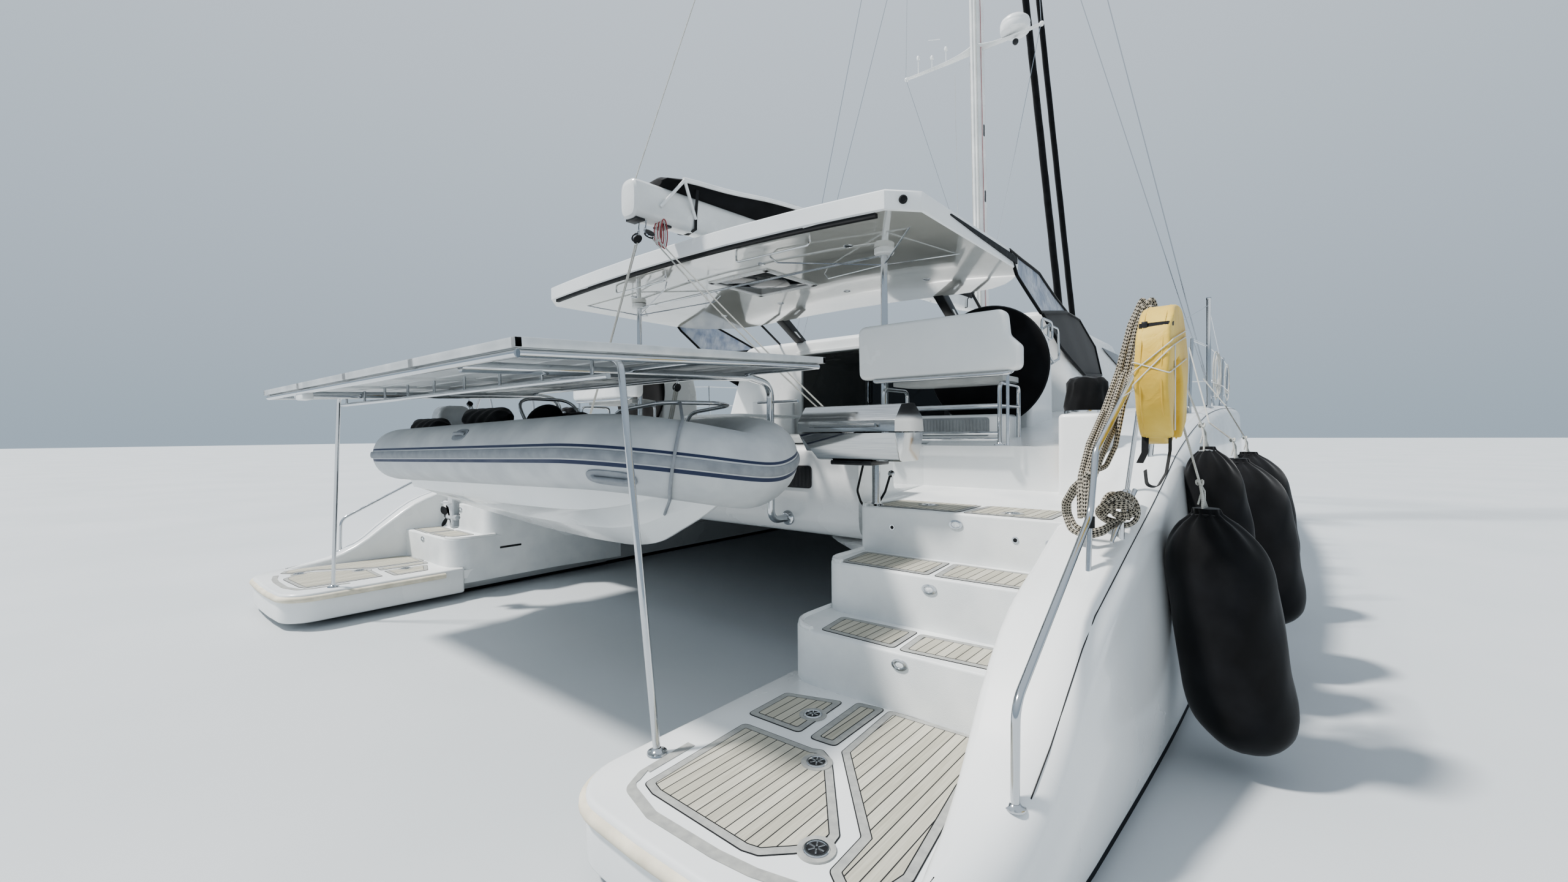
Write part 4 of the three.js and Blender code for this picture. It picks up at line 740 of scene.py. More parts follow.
for side_name, side in SIDES.items():
    mats = bmesh.new()
    for outline in PLATFORM_MATS:
        mat(mats, outline, PLATFORM_Z)
    for outline, z in zip(TREAD_MATS, TREAD_MAT_Z):
        mat(mats, outline, z)
    rim = turned([(2.352, -7.72, 0), (2.372, -8.0, 0), (2.43, -8.115, 0), (2.638, -8.172, 0),
                  (2.966, -8.171, 0), (3.12, -8.155, 0), (3.3, -8.11, 0)], 0.08, 5)
    inner_rim = [Vector((p.x + 0.045 * a, p.y + 0.045 * b, 0)) for p, (a, b) in
                 zip(rim, ((max(0, 1 - i / 9), min(1, i / 7)) for i in range(len(rim))))]
    add_part(mats, slab([(p.x, p.y) for p in [*rim, *inner_rim[::-1]]], PLATFORM_Z, PLATFORM_Z + 0.003),
             None, 1)
    for place in CAPS:
        deck_cap(mats, *place)
    flip(mats, side)
    dress(f"deck_mats_{side_name}", mats, "boat", "gelcoat", [teak, border, sealant_and_painted_shade, stainless])

# Bridgedeck
# The moulding that joins the hulls carries the cockpit sole, the raised helm decks and the broad beam aft.
# Its underside sweeps into both hulls, and a dark louvre vents the locker in its aft face.
SOLE_Z = 1.262
HELM_Z = 1.6
COCKPIT_AFT_Y = -5.9
CABIN_FORE_Y = 2.9
HELM_IN_X = 1.45
VENT_X = 1.5
VENT_Z = 1.37

# Black moulding: ABS grilles and fittings, satin with a fine grain.
black_plastic = surface("moulded_black_abs", {"IOR": 1.53}, "15161a", "202225", 300, 2, (0.35, 0.5),
                        (0.0004, 0.4))[0]

deck = bmesh.new()
deck_side = rounded([
    (COCKPIT_AFT_Y, 0.95), (COCKPIT_AFT_Y, 1.6), (-5.42, 1.6), (-5.4, SOLE_Z), (CABIN_FORE_Y - 0.3, SOLE_Z),
    (CABIN_FORE_Y - 0.3, 1.965), (4.38, 1.985), (4.36, 1.4), (3.7, 0.98), (2.8, 0.85), (-5.2, 0.83)],
    [0.16, 0.07, 0.05, 0.05, 0, 0, 0.09, 0.3, 0.4, 0.4, 0.3], 7)
add_part(deck, slab(deck_side, -JOINT_X, JOINT_X), ALONG_X)
for side in SIDES.values():
    helm_deck = block((HELM_IN_X, HELM_AFT_Y, SOLE_Z - 0.05), (JOINT_X + 0.02, -2.45, HELM_Z), 0.025, 4)
    flip(helm_deck, side)
    add_part(deck, helm_deck, None, 1)
    haunch = bmesh.new()
    section = [(1.55, 0.88), (1.72, 0.815), (1.9, 0.74), (2.03, 0.65), (2.12, 0.54), (2.18, 0.42),
               (2.32, 0.38), (2.32, 0.95)]
    loft(haunch, [[(x + (2.28 - x) * pull, y, z + (0.9 - z) * pull) for x, z in section] for y,
                  pull in ((-5.88, 0.75), (-5.78, 0.4), (-5.6, 0.15), (-5.3, 0.03), (-5.0, 0), (2.2, 0),
                           (3.0, 0.3), (3.8, 0.9))])
    flip(haunch, side)
    add_part(deck, haunch)
    vent = at(side * VENT_X - 0.02, COCKPIT_AFT_Y - 0.004, VENT_Z) @ FACING_AFT
    add_part(deck, slab(oblong(0.21, 0.085, 0.03), -0.006, 0.008, 0.003), vent, 2)
    for slot in range(11):
        bar = at(side * VENT_X - 0.2 + 0.036 * slot, COCKPIT_AFT_Y - 0.012, VENT_Z)
        add_part(deck, block((-0.004, -0.008, -0.07), (0.012, 0.004, 0.07), 0.002),
                 bar @ Matrix.Rotation(0.5, 4, "Z"), 2)
bmesh.ops.remove_doubles(deck, verts=deck.verts, dist=1e-5)
dress("bridgedeck_moulding", deck, "boat", "gelcoat", [gelcoat, non_slip, black_plastic], ["bridgedeck"], 38)

# Coachroof and saloon windows
# A laminated shell with rounded corners and a cambered roof stands on the decks. One band of dark cast
# acrylic is bonded round it, and its after bulkhead has a wide doorway with a track over it.
ROOF_Z = 3.06
CABIN_AFT_Y = -2.3
DOOR_HALF = 1.18
DOOR_TOP_Z = 2.86
CABIN_WALL = 0.045
MULLION_X = (-1.25, -0.015, 1.22)
MULLION_W = 0.03

# Cast acrylic: tinted near black, polished to a mirror.
dark_glazing = surface("tinted_cast_acrylic", {"IOR": 1.49, "Specular IOR Level": 0.35}, "0d1216", "12181d",
                       1.6, 3, (0.03, 0.08), (0.004, 0.15))[0]


def cabin_ring(z, grow, shrink_in=1.0):
    """The coachroof's plan at one height, from the after bulkhead's port corner round by starboard."""
    t = min(1, max(0, (z - 1.9) / (ROOF_Z - 1.9)))
    half, fore = mix(2.76, 2.33, t) + grow, mix(CABIN_FORE_Y, 1.98, t) + grow
    nose, shoulder = mix(1.5, 1.25, t) + grow * 0.4, mix(1.9, 1.3, t) + grow
    aft = CABIN_AFT_Y - grow
    plan = [(-half, aft), (-DOOR_HALF, aft), (DOOR_HALF, aft), (half, aft), (half, shoulder), (nose, fore),
            (-nose, fore), (-half, shoulder)]
    smooth = rounded(plan, [0.1, 0, 0, 0.1, 0.5, 0.45, 0.45, 0.5], 8)
    return [(x * shrink_in, mix(y, 0.0, (1 - shrink_in) * 0.6), z) for x, y in smooth]


roof = bmesh.new()
rows = [cabin_ring(z, 0) for z in (SOLE_Z, 1.9, 2.2, 2.5, DOOR_TOP_Z, 2.95, 3.02)]
rows += [cabin_ring(z, 0, pull) for z, pull in ((3.06, 0.985), (3.085, 0.955), (3.1, 0.9), (3.12, 0.8),
                                                (3.14, 0.66), (3.15, 0.5))]
loft(roof, rows)
open_faces = []
for face in roof.faces:
    middle = face.calc_center_median()
    doorway = middle.y < CABIN_AFT_Y + 0.01 and middle.z < DOOR_TOP_Z and abs(middle.x) < DOOR_HALF - 0.01
    if doorway or middle.z < SOLE_Z + 0.001:
        open_faces.append(face)
bmesh.ops.delete(roof, geom=open_faces, context="FACES")
bmesh.ops.recalc_face_normals(roof, faces=roof.faces)
bmesh.ops.solidify(roof, geom=list(roof.faces), thickness=CABIN_WALL)
add_part(roof, block((-DOOR_HALF - 0.04, CABIN_AFT_Y - 0.075, DOOR_TOP_Z),
                     (DOOR_HALF + 0.04, CABIN_AFT_Y + 0.01, 2.91), 0.008, 3))
for x in (-0.35, 0.35):
    hatch = block((x - 0.26, -0.9, 3.148), (x + 0.26, -0.38, 3.175), 0.012, 3)
    add_part(roof, hatch, None, 1)
dress("coachroof_shell", roof, "boat", "gelcoat", [gelcoat, dark_glazing], ["coachroof"], 35, False)

panes = bmesh.new()
loft(panes, [cabin_ring(z, 0.012) for z in (2.27, 2.3, 2.5, 2.7, 2.86, 2.89)], False)
cut(panes, (0, -0.28, 3.0), (0, -0.29, -0.96), True)
for x in MULLION_X:
    cut(panes, (x, 0, 0), (1, 0, 0))
    cut(panes, (x + MULLION_W, 0, 0), (1, 0, 0))
for face in panes.faces:
    middle = face.calc_center_median()
    if middle.y > 1.5 and any(x < middle.x < x + MULLION_W for x in MULLION_X):
        face.material_index = 1
bmesh.ops.recalc_face_normals(panes, faces=panes.faces)
bmesh.ops.solidify(panes, geom=list(panes.faces), thickness=-0.008)
dress("saloon_glazing", panes, "boat", "dark_glazing", [dark_glazing, sealant_and_painted_shade], ["saloon_windows"], 35,
      False)

# Sliding door
# A toughened pane in a black anodised frame hangs in the track on the cockpit side of the bulkhead, with a
# pull handle at its leading edge.
DOOR_Y = CABIN_AFT_Y - 0.045

# Black alloy: coated satin, its black wandering a little in soft patches.
black_alloy = surface("coated_black_alloy", {"IOR": 1.5}, "131417", "1e2023", 12, 6, (0.28, 0.42))[0]

door = bmesh.new()
for low, high in (((-0.02, SOLE_Z + 0.006), (0.035, 2.855)), ((1.125, SOLE_Z + 0.006), (1.18, 2.855)),
                  ((-0.02, 2.79), (1.18, 2.855)), ((-0.02, SOLE_Z + 0.006), (1.18, 1.35))):
    add_part(door, block((low[0], DOOR_Y - 0.02, low[1]), (high[0], DOOR_Y + 0.02, high[1]), 0.004))
add_part(door, block((0.03, DOOR_Y - 0.006, 1.34), (1.13, DOOR_Y + 0.006, 2.8), 0.001, 1), None, 1)
tube(door, turned([(0.045, DOOR_Y - 0.02, 2.11), (0.045, DOOR_Y - 0.055, 2.11),
                   (0.045, DOOR_Y - 0.055, 2.39), (0.045, DOOR_Y - 0.02, 2.39)], 0.03), 0.009, 10, 2)
dress("door_pane", door, "door", "black_alloy", [black_alloy, dark_glazing, stainless], ["sliding_door"])

# Hardtop
# A foam-cored roof with a smooth white fascia all round, mirror-gloss below, stands over the cockpit. Its
# underside is a greyer copy of the gelcoat: painted shade. A black strip under its after edge is painted
# shadow of the recess there, with small lamps beside it, and a framed hatch opens in the middle.
HARDTOP_THICK = 0.15
HARDTOP_PLAN = [(0, -5.735, -2.7), (0.65, -5.735, -2.7), (1.3, -5.735, -2.7), (1.6, -5.735, -2.72),
                (1.9, -5.735, -2.8), (2.1, -5.735, -2.96), (2.22, -5.735, -3.12), (2.33, -5.643, -3.3),
                (2.42, -5.568, -3.52), (2.43, -5.56, -3.55)]
CHAMFER = 0.011


def hardtop_top(x):
    """Height of the hardtop's cambered top."""
    return 3.495 - 0.087 * (x / 2.43) ** 2


def hardtop_ring(x, aft, fore):
    """One fore-and-aft section of the roof: flat fascias, with a narrow chamfer along every edge."""
    trim = CHAMFER if x in (HARDTOP_PLAN[-1][0], -HARDTOP_PLAN[-1][0]) else 0
    top, low = hardtop_top(x) - trim, hardtop_top(x) - HARDTOP_THICK + trim
    aft, fore = aft + trim, fore - trim
    edge = [(aft + CHAMFER, low), (aft, low + CHAMFER), (aft, top - CHAMFER), (aft + CHAMFER, top)]
    front = [(fore - CHAMFER, top), (fore, top - CHAMFER), (fore, low + CHAMFER), (fore - CHAMFER, low)]
    return [(x, y, z) for y, z in [*edge, (-4.9, top), (-3.9, top + 0.006), *front, (-3.9, low),
                                   (-4.9, low)]]


# Mirror gelcoat: the roof's underside comes off a polished table, so it is flat and shows everything below.
# Its colour is a shade greyer than the gelcoat on top, which is painted shade.
mirror_gelcoat_painted_shade = surface("table_polished_gelcoat_painted_shade", {"Coat Weight": 1.0, "Coat Roughness": 0.02, "IOR": 1.6},
                         "c3c4be", "cfd0ca", 0.8, 4, (0.05, 0.12), (0.03, 0.12, 2.2, 1))[0]

# Black rubber: extruded seal, satin. Under the hardtop's after edge the same black strip is painted shadow.
rubber_and_painted_shadow = surface("black_rubber_and_painted_shadow", {"Specular IOR Level": 0.4}, "101113", "1b1c1e", 20, 4, (0.5, 0.7))[0]

# White plastic: ASA mouldings, semi-gloss.
white_plastic = surface("white_asa", {"IOR": 1.5}, "e3e5e5", "eff0ef", 6, 5, (0.25, 0.4))[0]

top = bmesh.new()
loft(top, [hardtop_ring(-x, aft, fore) for x, aft, fore in HARDTOP_PLAN[:0:-1]]
     + [hardtop_ring(x, aft, fore) for x, aft, fore in HARDTOP_PLAN])
bmesh.ops.recalc_face_normals(top, faces=top.faces)
# Faces turned down take the greyer gelcoat: painted shade under the roof.
for face in top.faces:
    face.material_index = 1 if face.normal.z < -0.9 else 0
# Painted shadow: this black strip under the after edge stands for the shade in the recess below the fascia.
painted_shadow_strip = bmesh.new()
loft(painted_shadow_strip, [[(x, y, hardtop_top(x) - HARDTOP_THICK + z) for y, z in ((-5.722, 0.006), (-5.722, -0.032),
                                                                     (-5.685, -0.032), (-5.685, 0.006))]
            for x in steps_between(-2.138, 2.138, 24)])
add_part(top, painted_shadow_strip, None, 2)
for side in SIDES.values():
    keder = bmesh.new()
    loft(keder, [[(side * x, y, z) for x, z in ((2.428, low), (2.442, low), (2.442, low + tall),
                                                (2.428, low + tall))] for y, low,
                 tall in ((-5.1, 3.36, 0.01), (-4.6, 3.335, 0.035), (-3.6, 3.3, 0.07))])
    bmesh.ops.recalc_face_normals(keder, faces=keder.faces)
    add_part(top, keder, None, 2)
    lamp = at(side * 1.56, -5.7, 3.318) @ FACING_AFT
    add_part(top, block((-0.085, -0.02, 0.0), (0.085, 0.02, 0.022), 0.008), lamp, 2)
    add_part(top, block((-0.075, -0.012, 0.018), (0.075, 0.012, 0.028), 0.004), lamp, 4)
    port = at(side * 2.325, -5.652, 3.345) @ Matrix.Rotation(side * 0.694, 4, "Z") @ FACING_AFT
    add_part(top, lathe([(0.0, 0.012), (0.016, 0.012), (0.02, 0.016), (0.03, 0.012), (0.031, -0.006)], 20),
             port, 2)
LIGHT_PLACES = [(x, y) for x in (-1.5, -0.5, 0.5, 1.5) for y in (-5.1, -3.6)]
for x, y in LIGHT_PLACES:
    place = at(x, y, hardtop_top(x) - HARDTOP_THICK) @ Matrix.Rotation(math.pi, 4, "X")
    add_part(top, lathe([(0.0, 0.006), (0.028, 0.006), (0.031, 0.009), (0.04, 0.006), (0.041, 0)], 20),
             place, 3)
hatch_low = hardtop_top(0) - HARDTOP_THICK
for x0, x1, y0, y1 in ((-0.42, 0.42, -4.93, -4.87), (-0.42, 0.42, -4.13, -4.07),
                       (-0.42, -0.36, -4.93, -4.07), (0.36, 0.42, -4.93, -4.07)):
    add_part(top, block((x0, y0, hatch_low - 0.018), (x1, y1, hatch_low + 0.01), 0.005), None, 4)
add_part(top, block((-0.37, -4.88, hatch_low - 0.006), (0.37, -4.12, hatch_low + 0.01), 0.002), None, 5)
add_part(top, block((-0.4, -4.95, 3.49), (0.4, -4.05, 3.53), 0.015, 3), None, 5)
dress("hardtop_roof", top, "boat", "gelcoat", [gelcoat, mirror_gelcoat_painted_shade, rubber_and_painted_shadow, stainless, white_plastic,
                                               dark_glazing], ["hardtop"], 35)

# Hardtop posts and braces
# Two polished tube posts stand on the helm decks, each under a round white pad, with thin diagonal braces
# and a grab rail below the roof. Forward it stands on flat black legs on the coachroof, with a round strut
# by each.
POST_X = 1.715
POST_Y = -4.86

posts = bmesh.new()
for side in SIDES.values():
    foot = at(side * POST_X, POST_Y, 0)
    under = hardtop_top(POST_X) - HARDTOP_THICK
    add_part(posts, lathe([(0.03, HELM_Z + 0.02), (0.03, under - 0.03)], 20), foot)
    add_part(posts, lathe([(0.0, HELM_Z), (0.062, HELM_Z), (0.06, HELM_Z + 0.008), (0.036, HELM_Z + 0.016),
                           (0.03, HELM_Z + 0.03)], 24), foot)
    add_part(posts, lathe([(0.03, under - 0.06), (0.078, under - 0.055), (0.086, under - 0.045),
                           (0.086, under - 0.002), (0.0, under - 0.002)], 28), foot, 1)
    for x, y in ((side * 0.72, -5.25), (side * 2.2, -5.3), (side * 0.75, -4.4), (side * 2.2, -4.35)):
        brace = [(side * POST_X, POST_Y, under - 0.14), (mix(side * POST_X, x, 0.92), mix(POST_Y, y, 0.92),
                                                         under - 0.03),
                 (x, y, hardtop_top(x) - HARDTOP_THICK + 0.01)]
        tube(posts, turned(brace, 0.04), 0.007, 8)
    rail = [(side * 0.5, -5.45, 3.36), (side * 0.5, -5.45, 3.28), (side * 1.35, -5.45, 3.27),
            (side * 1.35, -5.45, 3.36)]
    tube(posts, turned(rail, 0.05), 0.009, 8)
tube(posts, [(-POST_X, POST_Y, 3.25), (0, POST_Y, 3.26), (POST_X, POST_Y, 3.25)], 0.012, 10)
dress("hardtop_tubes", posts, "boat", "stainless", [stainless, white_plastic], ["hardtop_posts"])

for side_name, side in SIDES.items():
    legs = bmesh.new()
    blade = rounded([(-2.86, 3.38), (-2.62, 3.38), (-2.12, 3.06), (-2.3, 3.06)], 0.03, 4)
    add_part(legs, slab(blade, 1.165, 1.29, 0.012), ALONG_X)
    slit = rounded([(-2.5, 3.2), (-2.44, 3.2), (-2.32, 3.12), (-2.36, 3.12)], 0.015, 4)
    add_part(legs, slab(slit, 1.16, 1.295, 0.002), ALONG_X, 1)
    tube(legs, [(1.62, -2.78, 3.36), (1.62, -2.27, 3.08)], 0.017, 10)
    flip(legs, side)
    dress(f"hardtop_leg_{side_name}", legs, "boat", "black_alloy", [black_alloy, gelcoat],
          [f"hardtop_brace_{side_name}"])

# Helm consoles
# A moulded pod stands forward of each wheel. Its sloped face carries a dark instrument panel with two
# displays and a throttle, a compass sits on top, and a looped tube guards it.
WHEEL_X = 2.42
WHEEL_Y = -4.33
WHEEL_Z = 2.265

# Display glass: bonded cover glass over an unlit black panel.
screen_glass = surface("unlit_display_glass", {"IOR": 1.52, "Coat Weight": 0.8, "Coat Roughness": 0.03},
                       "07090b", "10151a", 9, 5, (0.04, 0.16))[0]

for side_name, side in SIDES.items():
    pod = bmesh.new()
    profile = rounded([(-4.16, HELM_Z), (-4.16, 2.4), (-4.01, 2.62), (-3.62, 2.57), (-3.54, 2.3),
                       (-3.5, HELM_Z)], [0, 0.05, 0.07, 0.09, 0.2, 0])
    add_part(pod, slab(profile, 2.12, 2.74, 0.045, 5), ALONG_X)
    face = at(WHEEL_X, -4.092, 2.508) @ Matrix.Rotation(math.radians(90 - 34), 4, "X")
    add_part(pod, block((-0.25, -0.11, -0.01), (0.25, 0.11, 0.012), 0.01, 3), face, 1)
    for low, high in ((-0.235, -0.055), (0.055, 0.235)):
        add_part(pod, block((low, -0.07, 0.008), (high, 0.08, 0.018), 0.004), face, 2)
    add_part(pod, lathe([(0.0, 0.02), (0.034, 0.02), (0.038, 0.016), (0.04, 0)], 24),
             face @ at(0, 0.03, 0.004), 1)
    for k in range(5):
        knob = face @ at(-0.2 + 0.1 * k, -0.095, 0.01)
        add_part(pod, lathe([(0.0, 0.01), (0.007, 0.01), (0.009, 0.007), (0.009, 0)], 14), knob, 3)
    compass = at(WHEEL_X, -3.82, 2.59)
    add_part(pod, lathe([(0.0, 0.075), (0.03, 0.07), (0.055, 0.045), (0.062, 0.015), (0.075, 0.012),
                         (0.08, 0)], 28), compass, 1)
    loop = [(2.19, -3.9, 2.59), (2.19, -4.02, 2.72), (2.65, -4.02, 2.72), (2.65, -3.9, 2.59)]
    tube(pod, turned(loop, 0.07), BAR_R, 12, 3)
    lever = [(2.735, -4.0, 2.3), (2.79, -4.0, 2.3), (2.79, -4.06, 2.42), (2.79, -4.08, 2.47)]
    tube(pod, turned(lever, 0.02), 0.008, 10, 3)
    add_part(pod, block((2.73, -4.06, 2.22), (2.75, -3.94, 2.36), 0.008), None, 1)
    add_part(pod, lathe([(0.0, 0.03), (0.014, 0.026), (0.018, 0.01), (0.014, -0.012), (0.0, -0.014)], 16),
             at(2.79, -4.082, 2.48), 1)
    add_part(pod, slab(oblong(0.1, 0.12, 0.04, 5), -0.01, 0.004, 0.002),
             at(2.6, -4.16, 1.98) @ FACING_AFT, 1)
    flip(pod, side)
    dress(f"helm_pod_{side_name}", pod, "boat", "gelcoat", [gelcoat, black_alloy, screen_glass, stainless],
          [f"helm_console_{side_name}"])

# Helm seats
# A broad white moulded back with rounded corners stands on a polished tube frame behind each wheel. Its
# padded pan is a stitched vinyl cushion laid on the frame, and a locker base with a grey louvre stands
# below.

# Vinyl: coated cloth with a fine leather grain, pale grey, its grey wandering a little in soft patches.
vinyl, tree, shader, coords, _ = surface("pale_grey_marine_vinyl", {"IOR": 1.48}, "a9acac", "bcbebd", 4, 6,
                                         (0.42, 0.6))
pores = add_node(tree, "ShaderNodeTexVoronoi", {"Vector": (coords, "Object"), "Scale": 420}, feature="F1")
raise_grain(tree, shader, (pores, "Distance"), 0.0006, 0.6)

# Grey plastic: moulded louvres and trim, satin.
grey_plastic = surface("moulded_grey_asa", {"IOR": 1.5}, "84888a", "94989a", 8, 5, (0.35, 0.5))[0]


SEAT_LEG_X = (2.77, 1.785)
SEAT_AFT_Y = -5.0
SEAT_FORE_Y = -4.58
SEAT_TUBE_R = 0.0165


def cushion(low, high, puff, across=14, along_y=8):
    """A flat cushion between two corners: its top and bottom bulge, and a band joins them round its edge."""
    bm = bmesh.new()
    bmesh.ops.create_grid(bm, x_segments=across, y_segments=along_y, size=0.5)
    size = [high[i] - low[i] for i in range(3)]
    middle = [(high[i] + low[i]) / 2 for i in range(3)]
    for vert in bm.verts:
        u, v = vert.co.x * 2, vert.co.y * 2
        round_u = u * (1 - 0.045 * v * v)
        round_v = v * (1 - 0.06 * u * u)
        vert.co = (middle[0] + round_u * size[0] / 2, middle[1] + round_v * size[1] / 2,
                   high[2] - size[2] / 2)
    rim = [e for e in bm.edges if e.is_boundary]
    bmesh.ops.recalc_face_normals(bm, faces=bm.faces)
    flat = {vert: ((1 - (2 * (vert.co.x - middle[0]) / size[0]) ** 4)
                   * (1 - (2 * (vert.co.y - middle[1]) / size[1]) ** 4)) for vert in bm.verts}
    copy = bmesh.ops.duplicate(bm, geom=[*bm.verts, *bm.edges, *bm.faces])
    twins = copy["vert_map"]
    for vert, swell in flat.items():
        twins[vert].co.z -= size[2] / 2 * (0.55 + 0.45 * swell)
        vert.co.z += size[2] / 2 * (0.45 + 0.55 * swell) + puff * swell
    bmesh.ops.bridge_loops(bm, edges=[e for e in bm.edges if e.is_boundary])
    return bm


for side_name, side in SIDES.items():
    back = bmesh.new()
    shape = rounded([(1.56, 2.15), (2.93, 2.15), (2.93, 2.33), (2.84, 2.42), (2.82, 2.61), (1.55, 2.61)],
                    [0.07, 0.06, 0.05, 0.06, 0.07, 0.08])
    add_part(back, slab(shape, -5.04, -4.92, 0.032, 5), ALONG_Y)
    shape = rounded([(1.7, 2.24), (2.76, 2.24), (2.72, 2.54), (1.7, 2.54)], 0.05, 5)
    add_part(back, slab(shape, -4.925, -4.905, 0.008, 3), ALONG_Y, 1)
    flip(back, side)
    dress(f"helm_seat_back_{side_name}", back, "boat", "gelcoat", [gelcoat, vinyl],
          [f"helm_seat_{side_name}"])
    pan = cushion((1.8, -4.98 + 0.07, 2.075), (2.78, -4.53, 2.15), 0.012)
    flip(pan, side)
    seat = dress(f"helm_seat_cushion_{side_name}", pan, "boat", "gelcoat", [vinyl])
    frame_tubes = bmesh.new()
    tube(frame_tubes, turned([(2.86, -4.9, 2.2), (2.86, -5.03, 2.13), (1.7, -5.03, 2.13), (1.7, -4.9, 2.2)],
                             0.05), SEAT_TUBE_R, 12)
    for x in SEAT_LEG_X:
        hoop = [(x, SEAT_AFT_Y, HELM_Z), (x, SEAT_AFT_Y, 2.065), (x, SEAT_FORE_Y, 2.065),
                (x, SEAT_FORE_Y, HELM_Z)]
        tube(frame_tubes, turned(hoop, 0.06), SEAT_TUBE_R, 12)
        for y in (SEAT_AFT_Y, SEAT_FORE_Y):
            add_part(frame_tubes, lathe([(0.0, 0.0), (0.042, 0.0), (0.04, 0.006), (0.022, 0.01),
                                         (0.0165, 0.018)], 20), at(x, y, HELM_Z + 0.001))
    tube(frame_tubes, [(2.83, SEAT_AFT_Y, HELM_Z), (2.83, SEAT_AFT_Y, 2.12)], 0.012, 10)
    for y, z in ((SEAT_AFT_Y, 1.9), (SEAT_AFT_Y, 1.69), (SEAT_AFT_Y, 1.645), (SEAT_FORE_Y, 1.9)):
        tube(frame_tubes, [(1.785, y, z), (2.77, y, z)], BAR_R, 10)
    for x in SEAT_LEG_X:
        tube(frame_tubes, [(x, SEAT_AFT_Y, 1.9), (x, SEAT_FORE_Y, 1.9)], BAR_R, 10)
    flip(frame_tubes, side)
    dress(f"helm_seat_tubes_{side_name}", frame_tubes, "boat", "stainless", [stainless],
          [f"helm_seat_frame_{side_name}"])
    base = bmesh.new()
    add_part(base, block((1.82, -4.78, HELM_Z), (2.74, -4.5, 1.84), 0.035, 4))
    vent = at(2.28, -4.78, 1.74) @ FACING_AFT
    add_part(base, slab(oblong(0.33, 0.075, 0.03, 5), -0.006, 0.008, 0.003), vent, 1)
    for slot in range(22):
        bar = at(1.98 + 0.0285 * slot, -4.789, 1.74) @ Matrix.Rotation(0.5, 4, "Z")
        add_part(base, block((-0.003, -0.007, -0.06), (0.009, 0.004, 0.06), 0.0015, 1), bar, 1)
    flip(base, side)
    dress(f"helm_locker_{side_name}", base, "boat", "gelcoat", [gelcoat, grey_plastic])

# Steering wheels
# Each wheel is a bent steel hoop with six spokes on a domed hub, sewn into a black cloth cover for the
# mooring. The cover stretches over the rim and dips toward the hub, with a drawn hem behind.

# Woven black canvas: solution-dyed acrylic, matt, the weave drawn a little coarser than it is.
WOVEN = {"Sheen Weight": 0.25, "Sheen Roughness": 0.4, "Specular IOR Level": 0.25}
canvas, tree, shader, coords, _ = surface("woven_black_acrylic", WOVEN, "0b0c0e", "1c1d20", 5, 7,
                                          (0.8, 0.95))
turns = add_node(tree, "ShaderNodeMapping", {"Vector": (coords, "Object"), "Rotation": (0.6, 0.4, 0.3)})
threads = {"Vector": (turns, "Vector"), "Scale": 150, "Distortion": 0.8, "Detail": 1}
warp = add_node(tree, "ShaderNodeTexWave", threads, bands_direction="X")
weft = add_node(tree, "ShaderNodeTexWave", threads, bands_direction="Z")
weave = reckon(tree, "MULTIPLY", (warp, "Fac"), (weft, "Fac"))
raise_grain(tree, shader, (weave, "Value"), 0.0006, 0.35)

RIM_R = 0.505
SPOKES = 6
for side_name, side in SIDES.items():
    wheel = bmesh.new()
    profile = [(0.0, 0.028), (0.07, 0.026), (0.16, 0.012), (0.3, 0.004), (0.42, 0.009), (0.49, 0.022),
               (0.515, 0.016), (0.524, 0.0), (0.518, -0.014), (0.495, -0.022), (0.455, -0.018),
               (0.44, -0.012)]
    cover = lathe(profile, 64)
    for vert in cover.verts:
        out = math.hypot(vert.co.x, vert.co.y)
        if 0.1 < out < 0.47:
            spoke = math.cos(SPOKES * math.atan2(vert.co.y, vert.co.x))
            vert.co.z += 0.006 * max(0.0, spoke) * math.sin(math.pi * (out - 0.1) / 0.37)
    place = at(WHEEL_X, WHEEL_Y, WHEEL_Z) @ FACING_AFT
    add_part(wheel, cover, place)
    hoop = bmesh.new()
    ring = [(RIM_R * math.cos(a), RIM_R * math.sin(a), -0.002)
            for a in (2 * math.pi * k / 48 for k in range(49))]
    tube(hoop, ring, BAR_R, 10, 0, False, False)
    add_part(wheel, hoop, place, 1)
    for angle in around(SPOKES):
        spoke = bmesh.new()
        tube(spoke, [(0.03 * math.cos(angle), 0.03 * math.sin(angle), -0.03),
                     (0.5 * math.cos(angle), 0.5 * math.sin(angle), -0.004)], 0.006, 8)
        add_part(wheel, spoke, place, 1)
    hub = lathe([(0.0, -0.168), (0.02, -0.168), (0.02, -0.09), (0.045, -0.075), (0.05, -0.03),
                 (0.04, -0.012), (0.0, -0.01)], 28)
    add_part(wheel, hub, place, 1)
    flip(wheel, side)
    dress(f"covered_wheel_{side_name}", wheel, f"wheel_{side_name}", "dark_cloth", [canvas, stainless],
          [f"steering_wheel_{side_name}"])

# Winch pedestals
# A moulded pedestal outboard of each helm seat carries a two-speed winch under a crumpled black cover. A tan
# panel closes its inner side.

# Tan board: marine plywood with a plain clear coat.
plywood = surface("clear_coated_plywood", {"IOR": 1.5, "Coat Weight": 0.4, "Coat Roughness": 0.2}, "b08f62",
                  "c9aa7c", 3, 9, (0.35, 0.55), vector=(9, 1.2, 9))[0]

